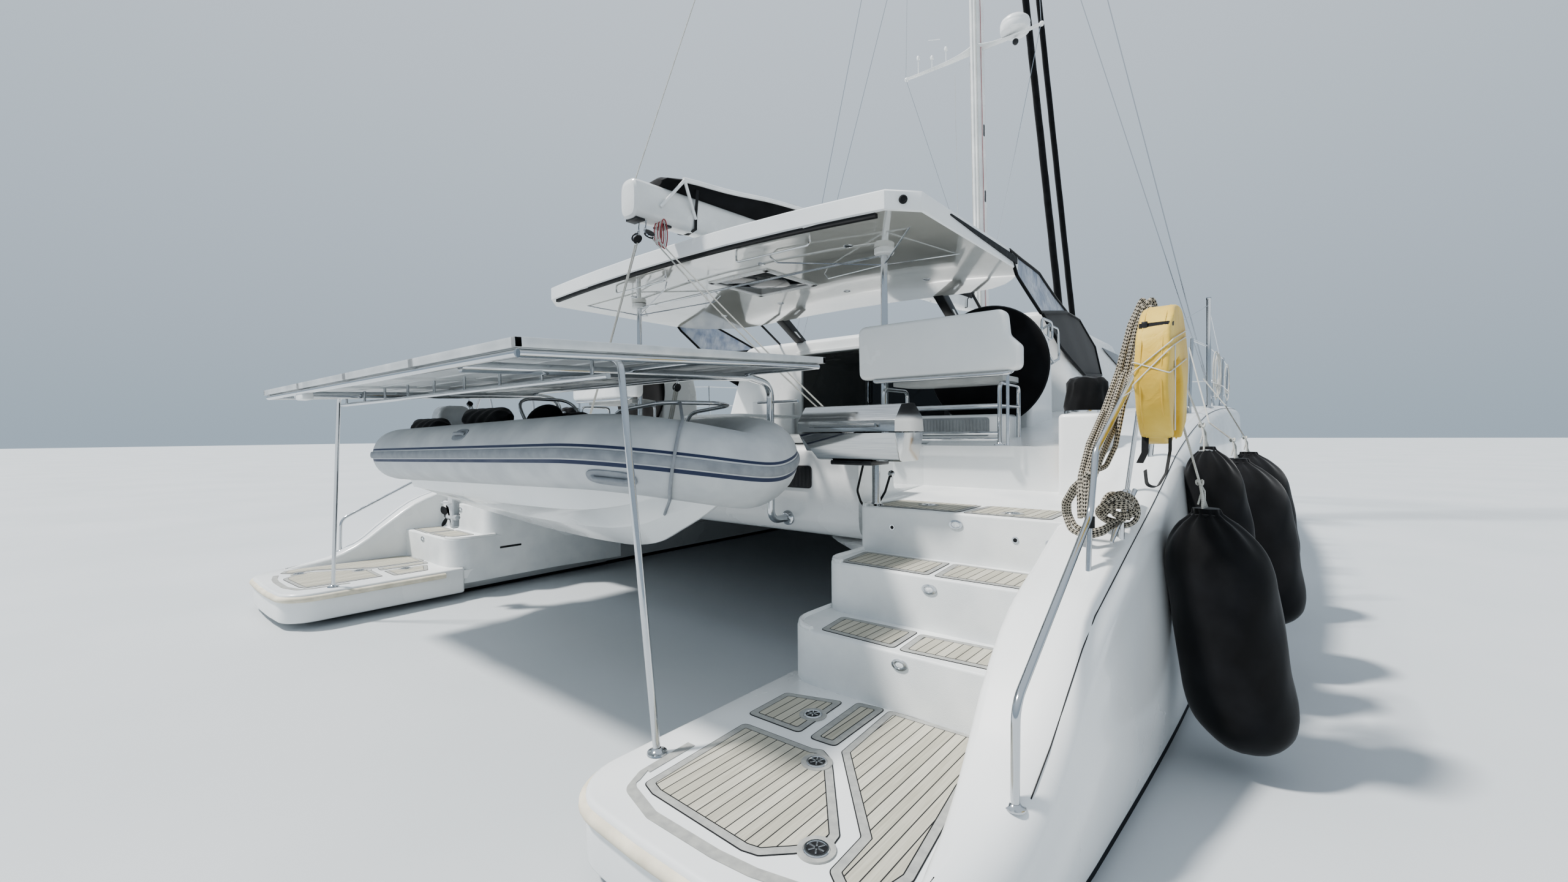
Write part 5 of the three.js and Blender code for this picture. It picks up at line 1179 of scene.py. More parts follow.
WINCH_PLACE = (3.33, -4.83, 1.815)
for side_name, side in SIDES.items():
    pedestal = bmesh.new()
    plan = rounded([(3.185, -5.04), (3.47, -5.04), (3.5, -4.8), (3.47, -4.62), (3.19, -4.62)],
                   [0.05, 0.08, 0.3, 0.08, 0.05])
    add_part(pedestal, slab(plan, 1.24, 1.82, 0.03, 4, True))
    add_part(pedestal, block((3.172, -4.95, 1.36), (3.19, -4.7, 1.66), 0.004), None, 1)
    add_part(pedestal, lathe([(0.145, 0.0), (0.15, 0.012), (0.15, 0.03), (0.12, 0.045), (0.115, 0.06)], 36),
             at(*WINCH_PLACE), 2)
    profile = [(0.148, 0.028), (0.152, 0.06), (0.14, 0.11), (0.132, 0.17), (0.128, 0.225), (0.11, 0.255),
               (0.06, 0.268), (0.0, 0.27)]
    cover = lathe(profile, 48)
    for vert in cover.verts:
        angle = math.atan2(vert.co.y, vert.co.x)
        out = math.hypot(vert.co.x, vert.co.y)
        if out > 0.01:
            fold = math.sin(7 * angle + 9 * vert.co.z) + 0.6 * math.sin(13 * angle - 21 * vert.co.z)
            pull = 0.006 * fold * (1 - 0.8 * (vert.co.z > 0.24)) * min(1, (vert.co.z - 0.02) * 20)
            vert.co.x *= 1 + pull / out
            vert.co.y *= 1 + pull / out
            vert.co.z += 0.006 * math.sin(5 * angle + 3) * min(1, max(0, (vert.co.z - 0.18) * 12))
    add_part(pedestal, cover, at(*WINCH_PLACE), 3)
    flip(pedestal, side)
    dress(f"winch_stand_{side_name}", pedestal, "boat", "gelcoat", [gelcoat, plywood, stainless, canvas],
          [f"winch_pedestal_{side_name}"])

# Side curtains and grab loops
# From the hardtop's side a clear vinyl curtain with black hems runs down to the coachroof, and a black cloth
# flap covers the side window below it. Both are zipped and snapped taut. Steel grab loops stand beside them.
CURTAIN_CLEAR = [(-3.77, 3.4), (-2.87, 3.36), (-1.9, 3.1), (-2.97, 2.93), (-3.02, 2.915), (-3.57, 3.21)]
CURTAIN_CLOTH = [(-2.97, 2.92), (-1.9, 3.09), (-1.35, 3.08), (-0.83, 2.8), (-0.85, 2.42), (-1.78, 2.36),
                 (-2.58, 2.62)]
CURTAIN_THICK = 0.0016

# Clear vinyl: plasticised sheet, glossy, faintly blue, creased where it has been rolled.
CLEAR = {"Roughness": 0.08, "IOR": 1.45, "Transmission Weight": 0.55, "Specular IOR Level": 0.6}
clear_vinyl, tree, shader, coords, _ = surface("clear_vinyl_sheet", CLEAR, "a9b3c6", "dfe3ea", 6, 3)
stretch = add_node(tree, "ShaderNodeMapping", {"Vector": (coords, "Object"), "Scale": (1, 14, 2)})
creases = add_node(tree, "ShaderNodeTexNoise", {"Vector": (stretch, "Vector"), "Scale": 3, "Detail": 3})
raise_grain(tree, shader, (creases, "Fac"), 0.012, 0.5)


def curtain_x(y, z):
    """The plane that a side curtain lies in, outside the coachroof's flared side."""
    return 2.4 + 0.22 * (3.3 - min(z, 3.2)) + 0.0015 * math.sin(9 * y + 5 * z)


def curtain(outline):
    """A thin sheet cut to an outline, with soft ripples across it, and its flat area."""
    sheet = bmesh.new()
    face = sheet.faces.new([sheet.verts.new((0, y, z)) for y, z in outline])
    area = face.calc_area() * math.hypot(1, 0.22)
    bmesh.ops.triangulate(sheet, faces=sheet.faces)
    for _ in range(4):
        bmesh.ops.subdivide_edges(sheet, edges=sheet.edges, cuts=1, use_grid_fill=True)
        bmesh.ops.triangulate(sheet, faces=sheet.faces)
    for vert in sheet.verts:
        vert.co.x = curtain_x(vert.co.y, vert.co.z)
    bmesh.ops.recalc_face_normals(sheet, faces=sheet.faces)
    bmesh.ops.solidify(sheet, geom=list(sheet.faces), thickness=CURTAIN_THICK)
    return sheet, area


for side_name, side in SIDES.items():
    for name, outline, slot, finish, border in (("clear_curtain", CURTAIN_CLEAR, "solar_glass", clear_vinyl,
                                                 canvas), ("cloth_flap", CURTAIN_CLOTH, "dark_cloth",
                                                           canvas, canvas)):
        sheet, area = curtain(outline)
        flip(sheet, side)
        piece = dress(f"{name}_{side_name}", sheet, "boat", slot, [finish], (), 60)
        wide = max(y for y, z in outline) - min(y for y, z in outline)
        tall = 1.03 * (max(z for y, z in outline) - min(z for y, z in outline))
        hem = bmesh.new()
        for a, b in zip(outline, outline[1:] + outline[:1]):
            tube(hem, [(curtain_x(*p), *p) for p in ((mix(a[0], b[0], t), mix(a[1], b[1], t))
                                                     for t in steps_between(0, 1, 14))], 0.017, 8)
        flip(hem, side)
        dress(f"{name}_hem_{side_name}", hem, "boat", "dark_cloth", [border], (), 60)
loops = bmesh.new()
for x, points in ((2.6, [(-3.4, 2.65), (-3.38, 2.8), (-3.05, 2.8), (-3.03, 2.62)]),
                  (2.57, [(-3.1, 2.5), (-3.06, 2.78), (-2.72, 2.78), (-2.68, 2.47), (-2.9, 2.42)])):
    bars = turned([(x, y, z) for y, z in points], 0.07, 6, True)
    tube(loops, [*bars, bars[0]], BAR_R, 12)
    for y, z in (points[0], points[-2]):
        tube(loops, [(x, y, z), (x - 0.12, y + 0.04, z - 0.06)], BAR_R, 12)
dress("console_grab_loops", loops, "boat", "stainless", [stainless], ())

# Cockpit furniture
# Moulded white benches line the cockpit forward of the beam, with grey vinyl cushions. A table on a steel
# leg stands to port.
benches = bmesh.new()
add_part(benches, block((-1.42, -5.42, SOLE_Z - 0.02), (1.42, -5.05, 1.6), 0.03, 4))
add_part(benches, block((-2.06, -5.42, SOLE_Z - 0.02), (-1.44, -4.92, 1.58), 0.03, 4))
add_part(benches, block((-2.06, -2.44, SOLE_Z - 0.02), (-1.25, -2.36, 2.2), 0.03, 4))
add_part(benches, block((1.25, -2.44, SOLE_Z - 0.02), (2.06, -2.36, 1.95), 0.03, 4))
for x in steps_between(-1.15, 1.15, 3):
    add_part(benches, block((x - 0.32, -5.05, 1.33), (x + 0.32, -5.043, 1.53), 0.003), None, 1)
    add_part(benches, lathe([(0.0, 0.006), (0.012, 0.006), (0.016, 0.0)], 16),
             at(x, -5.043, 1.49) @ rolled(-90, "X"), 1)
table = lathe([(0.09, SOLE_Z + 0.0), (0.085, SOLE_Z + 0.012), (0.04, SOLE_Z + 0.02), (0.035, 1.9)], 28)
add_part(benches, table, at(-1.0, -3.7, 0), 2)
plan = rounded([(-1.55, -4.35), (-0.5, -4.35), (-0.5, -3.05), (-1.55, -3.05)], 0.12)
add_part(benches, slab(plan, 1.9, 1.935, 0.012, 3))
dress("cockpit_mouldings", benches, "boat", "gelcoat", [gelcoat, grey_plastic, stainless], (), 38)
for number, (low, high) in enumerate((((-1.38, -5.4, 1.602), (-0.03, -5.08, 1.68)),
                                      ((0.03, -5.4, 1.602), (1.38, -5.08, 1.68)))):
    piece = dress(f"bench_cushion_{number + 1}", cushion(low, high, 0.012), "boat", "gelcoat", [vinyl])

# Mast
# An alloy tube in white polyurethane, with twin luff grooves down its after face, swept spreaders at two
# levels, a radar dome on a bracket, small instruments on the other arm and a masthead crane.
MAST_FOOT_Z = 3.15
MAST_TOP_Z = 22.3
CRANE_Z = 22.2
SPREADERS = [(8.77, 1.26, 8.56, 0.35), (15.3, 0.98, 15.15, 0.3)]

# White paint: polyurethane sprayed on alloy, glossy, a little greyer in faint soft patches.
alloy_paint = surface("white_polyurethane_on_alloy", {"IOR": 1.5, "Coat Weight": 0.5,
                                                      "Coat Roughness": 0.08}, "dcdedd", "ecedeb", 3, 6,
                      (0.15, 0.3))[0]


def mast_at(z):
    """Y of the mast's axis at one height."""
    return 1.84 - (z - 3.06) * 0.0452


def mast_ring(z, grow=0.0):
    """The mast's section: a rounded oval with two shallow grooves in its after face."""
    ring = []
    for a in around(32):
        x = (0.11 + grow) * swollen(math.cos(a), 0.82)
        y = (0.165 + grow) * swollen(math.sin(a), 0.82)
        ring.append((x, mast_at(z) + y, z))
    return ring


spar = bmesh.new()
taper = [(MAST_FOOT_Z, 0.0), (6.0, 0.0), (9.0, 0.0), (13.0, 0.0), (18.0, 0.0), (20.5, -0.02),
         (MAST_TOP_Z, -0.045)]
loft(spar, [mast_ring(z, grow) for z, grow in taper])
for x in (-0.028, 0.028):
    tube(spar, [(x, mast_at(z) - 0.166 - grow, z) for z, grow in taper], 0.016, 8, 0)
add_part(spar, lathe([(0.0, 3.13), (0.26, 3.13), (0.25, 3.16), (0.18, 3.19), (0.17, 3.24), (0.0, 3.24)], 32),
         at(0, mast_at(3.15), 0), 1)
for z in (4.6, 5.3, 6.1, 7.3):
    slot = oblong(0.03, 0.11, 0.03, 5)
    for side in SIDES.values():
        turn = at(side * 0.109, mast_at(z) - 0.02, z) @ Matrix.Rotation(side * math.radians(90), 4, "Y")
        add_part(spar, slab([(y, x) for x, y in slot], -0.004, 0.003, 0.001, 1), turn, 2)
for z, reach, tip_z, sweep in SPREADERS:
    for side in SIDES.values():
        rings = []
        for t in steps_between(0, 1, 12):
            x = side * mix(0.06, reach, t)
            y = mast_at(z) - sweep * t ** 1.1 - 0.02
            height = mix(z, tip_z, t) + 0.05 * (1 - t) ** 4
            wide, deep = mix(0.075, 0.04, t) + 0.05 * (1 - t) ** 6, mix(0.022, 0.014,
                                                                        t) + 0.03 * (1 - t) ** 6
            rings.append([(x, y + wide * math.cos(a), height + deep * math.sin(a))
                          for a in around(16)])
        loft(spar, rings)
        tip = Matrix.Translation(rings[-1][0]) @ at(0, -0.04, 0)
        add_part(spar, lathe([(0.0, -0.035), (0.03, -0.03), (0.042, 0.0), (0.03, 0.03), (0.0, 0.035)], 16),
                 tip, 3)
lower = SPREADERS[0]
for x, height in ((-0.55, 0.26), (-0.8, 0.2), (-1.05, 0.3)):
    share = (abs(x) - 0.06) / (lower[1] - 0.06)
    y, z = mast_at(lower[0]) - lower[3] * share, mix(lower[0], lower[2], share)
    tube(spar, [(x, y, z), (x, y, z + height)], 0.008, 8, 3)
    add_part(spar, lathe([(0.0, 0.0), (0.03, 0.005), (0.034, 0.04), (0.026, 0.065), (0.0, 0.075)], 18),
             at(x, y, z + height), 3)
tube(spar, [(-0.55, 1.18, 9.03), (-0.75, 1.1, 9.05)], 0.006, 8, 3)
tube(spar, turned([(0, mast_at(CRANE_Z), 22.25), (0, mast_at(CRANE_Z) - 0.4, 22.3),
                   (0, mast_at(CRANE_Z) - 0.45, 22.2)], 0.05), 0.02, 10, 3)
dress("mast_spar", spar, "boat", "painted_alloy", [alloy_paint, gelcoat, black_plastic, white_plastic],
      ["mast"], 40)

dome = bmesh.new()
radar_y = mast_at(lower[0]) - lower[3] * 0.55
add_part(dome, lathe([(0.0, 8.7), (0.2, 8.7), (0.238, 8.715), (0.25, 8.75), (0.25, 8.8), (0.247, 8.82),
                      (0.247, 8.83), (0.25, 8.85), (0.235, 8.9), (0.19, 8.94), (0.1, 8.958), (0.0, 8.962)],
                     48), at(0.76, radar_y, 0))
add_part(dome, lathe([(0.0, -0.055), (0.03, -0.045), (0.05, -0.015), (0.05, 0.02), (0.035, 0.04),
                      (0.0, 0.05)], 24), at(0.76, radar_y + 0.02, 8.56), 1)
dress("radar_dome", dome, "boat", "gelcoat", [white_plastic, black_plastic], ["radar"])

# Boom
# A white alloy box spar with rounded edges and a rounded cap on its after end turns on a pin at the mast.
# Black fittings under its end take the sheet blocks, and red and white control lines are coiled there.
BOOM_PIVOT = Vector((0, 1.545, 4.02))
BOOM_LOW = [(-6.28, 3.578), (-3.5, 3.7), (1.4, 3.9)]


def superellipse(half, low, high, y, power=0.55, count=28):
    """A rounded box section across the boat, at one Y."""
    ring = []
    for a in around(count):
        x = half * swollen(math.cos(a), power)
        z = (low + high) / 2 + (high - low) / 2 * swollen(math.sin(a), power)
        ring.append((x, y, z))
    return ring


spar = bmesh.new()
loft(spar, [superellipse(half, low, high, y) for y, low, high,
            half in ((-6.285, 3.64, 3.86, 0.06), (-6.28, 3.6, 3.9, 0.09), (-6.262, 3.582, 3.92, 0.106),
                     (-6.22, 3.578, 3.925, 0.11), (-3.5, 3.70, 4.01, 0.12), (0.9, 3.87, 4.115, 0.1),
                     (1.36, 3.9, 4.125, 0.086), (1.4, 3.915, 4.115, 0.075))])
add_part(spar, lathe([(0.0, -0.12), (0.045, -0.12), (0.045, 0.08), (0.0, 0.08)], 24),
         Matrix.Translation(BOOM_PIVOT), 1)
for low, high in (((-0.045, 1.37, 3.93), (0.045, 1.55, 3.97)), ((-0.045, 1.37, 4.06), (0.045, 1.55, 4.09))):
    add_part(spar, block(low, high, 0.01, 3), None, 1)
for y in (-6.2, -5.9, -5.2):
    low = along(BOOM_LOW, y)
    add_part(spar, block((-0.075, y - 0.05, low - 0.012), (0.075, y + 0.05, low + 0.01), 0.006), None, 2)
dress("boom_spar", spar, "boom", "painted_alloy", [alloy_paint, stainless, black_plastic], ["boom"])

# Mainsheet
# Double-braid polyester line: white, with a fine dark fleck. It runs in double parts from blocks under the
# boom's end to blocks at both after corners of the cockpit, and a topping lift goes up to the masthead.


def rope_finish(name, pale, dark, fleck, strands=9.0, share=0.04, winding=330.0):
    """Braided line: strands wind both ways round it, with a coloured fleck in one of them."""
    finish, tree, shader = new_finish(name, {"Sheen Weight": 0.2, "Specular IOR Level": 0.25})
    lay = add_node(tree, "ShaderNodeAttribute", attribute_name="lay")
    parts = add_node(tree, "ShaderNodeSeparateXYZ", {"Vector": (lay, "Vector")})
    angle = reckon(tree, "ARCTAN2", (parts, "Y"), (parts, "X"))
    crown = None
    for hand in (1, -1):
        wound = reckon(tree, "MULTIPLY", (parts, "Z"), hand * winding)
        turned_by = reckon(tree, "MULTIPLY", (angle, "Value"), strands)
        phase = reckon(tree, "ADD", (wound, "Value"), (turned_by, "Value"))
        strand = reckon(tree, "SINE", (phase, "Value"))
        if crown:
            crown = reckon(tree, "MULTIPLY", (crown, "Value"), (strand, "Value"))
        else:
            crown = strand
    shade = add_node(tree, "ShaderNodeMapRange", {"Value": (crown, "Value"), "From Min": -1.0,
                                                  "From Max": 1.0})
    ramp = add_node(tree, "ShaderNodeValToRGB", {"Fac": (shade, "Result")})
    ramp.color_ramp.elements[0].color = linear(fleck)
    ramp.color_ramp.elements[0].position = share
    ramp.color_ramp.elements[1].color = linear(pale)
    ramp.color_ramp.elements[1].position = share + 0.1
    coords = add_node(tree, "ShaderNodeTexCoord")
    dirt = add_node(tree, "ShaderNodeTexNoise", {"Vector": (coords, "Object"), "Scale": 14, "Detail": 6})
    blend = add_node(tree, "ShaderNodeMix", {0: (dirt, "Fac"), MIX_A: (ramp, "Color"), MIX_B: linear(dark)},
                     data_type="RGBA", blend_type="MULTIPLY")
    tree.links.new(blend.outputs[MIX_OUT], shader.inputs["Base Color"])
    vary(tree, shader, dirt, 0.75, 0.95)
    raise_grain(tree, shader, (crown, "Value"), 0.0012, 0.6)
    return finish


white_rope = rope_finish("white_braided_polyester", "e2e2dd", "c9c8c2", "6d7276")
red_rope = rope_finish("faded_red_braid", "b8474a", "cfc5c3", "e0d8d6")


def hanging(start, end, drop, count=14):
    """Points of a line between two places, sagging by that much in the middle."""
    start, end = Vector(start), Vector(end)
    return [start.lerp(end, t) - Vector((0, 0, drop * 4 * t * (1 - t))) for t in steps_between(0, 1, count)]


def pointing(way):
    """The turn that lays the Z axis along a direction."""
    return Vector((0, 0, 1)).rotation_difference(way).to_matrix().to_4x4()


def pulley(bm, place, size, cheek, sheave, heading=(0, 0, 1)):
    """A block: two rounded cheeks, a sheave between them and a shackle over it."""
    turn = Matrix.Translation(place) @ pointing(Vector(heading))
    across = turn @ rolled(90, "Y")
    for low in (-0.42, 0.24):
        shell = lathe([(0.0, low * size), (0.8 * size, low * size), (size, (low + 0.04) * size),
                       (size, (low + 0.14) * size), (0.8 * size, (low + 0.18) * size),
                       (0.0, (low + 0.18) * size)], 24)
        add_part(bm, shell, across, cheek)
    wheel = lathe([(0.0, -0.2 * size), (0.78 * size, -0.2 * size), (0.66 * size, 0.0),
                   (0.78 * size, 0.2 * size), (0.0, 0.2 * size)], 24)
    add_part(bm, wheel, across, sheave)
    loop = bmesh.new()
    tube(loop, turned([(0.3 * size, 0, 0.8 * size), (0.3 * size, 0, 1.7 * size),
                       (-0.3 * size, 0, 1.7 * size), (-0.3 * size, 0, 0.8 * size)], 0.28 * size),
         0.12 * size, 8, sheave)
    add_part(bm, loop, turn, None)


SHEET_DECK = {"starboard": Vector((1.78, -5.6, 1.72)), "port": Vector((-1.78, -5.6, 1.72))}
SHEET_BOOM = {"starboard": Vector((0.09, -6.12, 3.46)), "port": Vector((-0.09, -6.12, 3.46))}
for side_name, side in SIDES.items():
    tackle = bmesh.new()
    deck_end, boom_end = SHEET_DECK[side_name], SHEET_BOOM[side_name]
    heading = (boom_end - deck_end).normalized()
    for shift, drop in ((Vector((0.03, 0, 0)), 0.02), (Vector((-0.03, 0.02, 0)), 0.05)):
        tube(tackle, hanging(deck_end + heading * 0.05 + shift, boom_end - heading * 0.05 + shift, drop,
                             20), 0.0065, 8, 0, True)
    sheet = dress(f"mainsheet_{side_name}", tackle, None, "gelcoat", [white_rope], (), 60)
    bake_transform(sheet)
    low_block = bmesh.new()
    pulley(low_block, deck_end, 0.045, 0, 1, -heading)
    dress(f"sheet_block_low_{side_name}", low_block, "boat", "black_alloy", [black_plastic, stainless])
    high_block = bmesh.new()
    pulley(high_block, boom_end, 0.045, 0, 1, heading)
    tube(high_block, [tuple(boom_end + heading * 0.06), (side * 0.05, -6.12, 3.6)], 0.006, 8, 1)
    dress(f"sheet_block_high_{side_name}", high_block, "boom", "black_alloy", [black_plastic, stainless])
lines = bmesh.new()
for k in range(5):
    loop = []
    for t in range(25):
        a = 2 * math.pi * t / 24
        loop.append((0.05 + 0.012 * k, -6.0 + 0.035 * math.sin(a) + 0.01 * k, 3.5 + (0.1 + 0.008 * k)
                     * math.cos(a)))
    tube(lines, loop, 0.005, 8, k % 2, True, False)
dress("boom_line_coil", lines, "boom", "gelcoat", [red_rope, white_rope], (), 60)
lift = bmesh.new()
tube(lift, [(0, -6.2, 3.93), (0, mast_at(CRANE_Z) - 0.42, 22.2)], 0.005, 8, 0, True)
lift_line = dress("topping_lift", lift, None, "gelcoat", [white_rope], (), 60)
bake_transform(lift_line)

# Sail bag
# The mainsail lies flaked in a black woven acrylic bag along the boom, zipped along its top. A white pole
# stiffens each side, with two struts at its after end, and webbing straps pass under the boom.
BAG_ROWS = [(-5.98, 3.93, 4.0, 0.12), (-5.95, 3.93, 4.03, 0.16), (-5.2, 3.955, 4.13, 0.21),
            (-4.6, 3.97, 4.24, 0.25), (-3.2, 4.01, 4.4, 0.28), (-1.5, 4.05, 4.56, 0.3),
            (-0.3, 4.08, 4.72, 0.28), (0.9, 4.116, 4.9, 0.23), (1.2, 4.13, 4.99, 0.16),
            (1.27, 4.14, 5.0, 0.13)]


def bag_at(y, column):
    """The bag's low edge, high edge or half width, columns 1 to 3, at one Y."""
    return along([(row[0], row[column]) for row in BAG_ROWS], y)


bag = bmesh.new()
rings = []
for i in range(len(BAG_ROWS) - 1):
    a, b = BAG_ROWS[i], BAG_ROWS[i + 1]
    count = max(2, round((b[0] - a[0]) / 0.09))
    for t in steps_between(0, 1, count)[: None if i == len(BAG_ROWS) - 2 else -1]:
        y, low, high, half = [mix(a[k], b[k], t) for k in range(4)]
        ring = []
        for angle in around(36):
            sag = 0.012 * math.sin(9 * y + 3 * math.cos(angle)) + 0.008 * math.sin(23 * y + 5 * angle)
            x = half * swollen(math.cos(angle), 0.8)
            rise = math.sin(angle)
            z = mix(low, high, (rise + 1) / 2)
            pinch = min(1, 0.58 + 0.3 * (rise + 1)) - 0.5 * max(0.0, rise) ** 4
            swell = 1 + sag / max(half, 0.1)
            ring.append((x * pinch * swell, y, z + sag * 0.5 * abs(math.cos(angle))))
        rings.append(ring)
loft(bag, rings)
for x in (-1, 1):
    pole = [(x * (0.95 * bag_at(y, 3) + 0.016), y, mix(bag_at(y, 1), bag_at(y, 2), 0.64))
            for y in steps_between(-5.8, 1.2, 40)]
    tube(bag, pole, 0.022, 12, 1)
    for y in (-5.86, -5.7):
        tube(bag, [(x * 0.185, -5.79, 4.01), (x * 0.122, y - 0.16 if y < -5.8 else y + 0.1, 3.72)], 0.015,
             10, 1)
for y in (-5.6, -4.4, -3.1, -1.8, -0.4, 0.8):
    half, low = bag_at(y, 3), along(BOOM_LOW, y)
    strap = [(0.8 * half, 4.1 + 0.02 * y), (0.125, low + 0.16), (0.12, low + 0.02), (0.0, low - 0.008)]
    strap = strap + [(-x, z) for x, z in strap[-2::-1]]
    edges = ((-0.018, -0.002), (0.018, -0.002), (0.018, 0.002), (-0.018, 0.002))
    for pair in zip(strap, strap[1:]):
        band = bmesh.new()
        loft(band, [[(x, y + dy, z + dz) for dy, dz in edges] for x, z in pair])
        add_part(bag, band, None, 2)
zipper = [(0.0, y, bag_at(y, 2) + 0.004) for y in steps_between(-5.9, 1.2, 60)]
tube(bag, zipper, 0.007, 6, 2)
dress("stowed_mainsail_bag", bag, "boom", "dark_cloth", [canvas, white_plastic, rubber_and_painted_shadow], ["sail_bag"], 60)

# Headsails
# Both headsails are rolled on their stays with the dark sun strip outermost, wound in a shallow spiral. Each
# turns on a drum at its foot and a swivel at its head.
sails = (("genoa", (0, 8.15, 1.95), (0, mast_at(18.8) + 0.15, 18.8), 0.095, 0.055, "genoa_furled"),
         ("code_sail", (0, 9.43, 1.95), (0, mast_at(21.7) + 0.115, 21.7), 0.08, 0.045, "code_sail_furled"))
for name, foot, head, low_r, high_r, node in sails:
    roll = bmesh.new()
    foot, head = Vector(foot), Vector(head)
    rings = []
    for t in steps_between(0, 1, 150):
        middle = foot.lerp(head, t)
        size = mix(low_r, high_r, t) * (0.35 + 0.65 * min(1, t * 60)) * (0.35 + 0.65 * min(1, (1 - t) * 60))
        ring = []
        for a in around(20):
            wound = 1 + 0.07 * (((a / (2 * math.pi) + t * 17) % 1.0) - 0.5)
            ring.append((middle.x + size * wound * math.cos(a), middle.y + size * wound * math.sin(a),
                         middle.z))
        rings.append(ring)
    loft(roll, rings)
    way = (head - foot).normalized()
    tube(roll, [tuple(foot - way * 0.16), tuple(foot)], 0.02, 12, 1)
    drum = lathe([(0.0, -0.1), (0.1, -0.1), (0.105, -0.09), (0.06, -0.08), (0.06, -0.02), (0.105, -0.01),
                  (0.1, 0.0), (0.0, 0.0)], 28)
    add_part(roll, drum, Matrix.Translation(foot) @ pointing(way), 2)
    tube(roll, [tuple(head), tuple(head + way * 0.35)], 0.012, 8, 1)
    dress(f"{name}_roll", roll, "boat", "dark_cloth", [canvas, stainless, black_plastic], [node], 60)

# Standing rigging
# Stranded stainless wires hold the mast from chainplates at the deck edges: two shrouds a side over the
# spreaders, diamonds between them, with rigging screws at their feet. Halyards run beside the mast.
for side_name, side in SIDES.items():
    stays = bmesh.new()
    foot = Vector((side * 3.69, 0.25, 2.1))
    main_head = Vector((0.1 * side, mast_at(18.6), 18.6))
    lower_head = Vector((0.11 * side, mast_at(15.2), 15.2))
    low_tip = Vector((side * 1.26, mast_at(8.77) - 0.4, 8.56))
    high_tip = Vector((side * 0.98, mast_at(15.3) - 0.34, 15.15))
    runs = [(foot, main_head, 0.007), (foot + Vector((0, 0.09, 0)), lower_head, 0.006),
            ((0.11 * side, mast_at(4.4), 4.4), low_tip, 0.005), (low_tip, high_tip, 0.005),
            (high_tip, (0.09 * side, mast_at(21.6), 21.6), 0.005)]
    for start, end, size in runs:
        tube(stays, [Vector(start), Vector(end)], size, 8)
    for shift, head in ((0, main_head), (0.09, lower_head)):
        start = foot + Vector((0, shift, 0))
        way = (head - start).normalized()
        tube(stays, [start - way * 0.08, *(start + way * far for far in (0.06, 0.08, 0.34, 0.36, 0.5))],
             [0.009, 0.009, 0.014, 0.014, 0.009, 0.008], 12)
    plate = block((3.68, 0.2, 2.02), (3.7, 0.4, 2.12), 0.006)
    flip(plate, side)
    add_part(stays, plate)
    dress(f"shroud_wires_{side_name}", stays, "boat", "stainless", [stainless], [f"shrouds_{side_name}"], 40)
running = bmesh.new()
for x, y, size, finish, head in ((0.06, 0.2, 0.006, 0, 22.1), (0.11, 0.1, 0.005, 1, 18.9),
                                 (-0.12, 0.05, 0.005, 2, 8.6), (-0.5, -0.15, 0.003, 2, 8.6)):
    tube(running, [(x, mast_at(3.4) - y, 3.3), (x, mast_at(head) - y * 0.9, head)], size, 8, finish, True)
dress("halyards", running, "boat", "gelcoat", [white_rope, red_rope, white_rope], (), 60)

# Crossbeam and bowsprit
# A white alloy tube ties the bows together and carries a fixed bowsprit on a truss, with steel fittings
# where the stays take hold.
beam = bmesh.new()
tube(beam, [(x, 7.6, 1.78) for x in steps_between(-3.1, 3.1, 12)], 0.11, 28)
for x in (-3.08, 3.08):
    add_part(beam, block((x - 0.05, 7.44, 1.63), (x + 0.05, 7.76, 1.93), 0.03, 4))
tube(beam, turned([(-2.9, 7.6, 1.87), (0, 7.6, 2.12), (2.9, 7.6, 1.87)], 0.3), 0.014, 10, 1)
tube(beam, [(0, 7.6, 1.85), (0, 7.6, 2.12)], 0.03, 12, 1)
dress("bow_crossbeam", beam, "boat", "painted_alloy", [alloy_paint, stainless], ["crossbeam"])
sprit = bmesh.new()
tube(sprit, [(0, y, 1.79) for y in (4.3, 5.5, 7.0, 8.5, 9.5, 9.57, 9.595)],
     [0.075, 0.075, 0.073, 0.066, 0.061, 0.05, 0.02], 24)
for y in (7.6, 8.15, 9.4):
    add_part(sprit, lathe([(0.072, -0.05), (0.086, -0.045), (0.088, 0.045), (0.072, 0.05)], 24),
             at(0, y, 1.79) @ rolled(90, "X"), 1)
for y in (8.15, 9.4):
    add_part(sprit, block((-0.012, y - 0.06, 1.84), (0.012, y + 0.06, 1.97), 0.006), None, 1)
for x in (-2.85, 2.85):
    tube(sprit, [(x, 7.95, 1.35), (0, 9.38, 1.75)], 0.006, 8, 1)
dress("fixed_bowsprit", sprit, "boat", "painted_alloy", [alloy_paint, stainless], ["bowsprit"])

# Trampolines
# Knotless netting of square mesh is laced between the crossbeam, the hulls and the foredeck.

# Netting: polyester cord under a dull white coating.
netting = surface("coated_polyester_net", {"Specular IOR Level": 0.35}, "cfd0cd", "dededb", 5, 5,
                  (0.6, 0.8))[0]

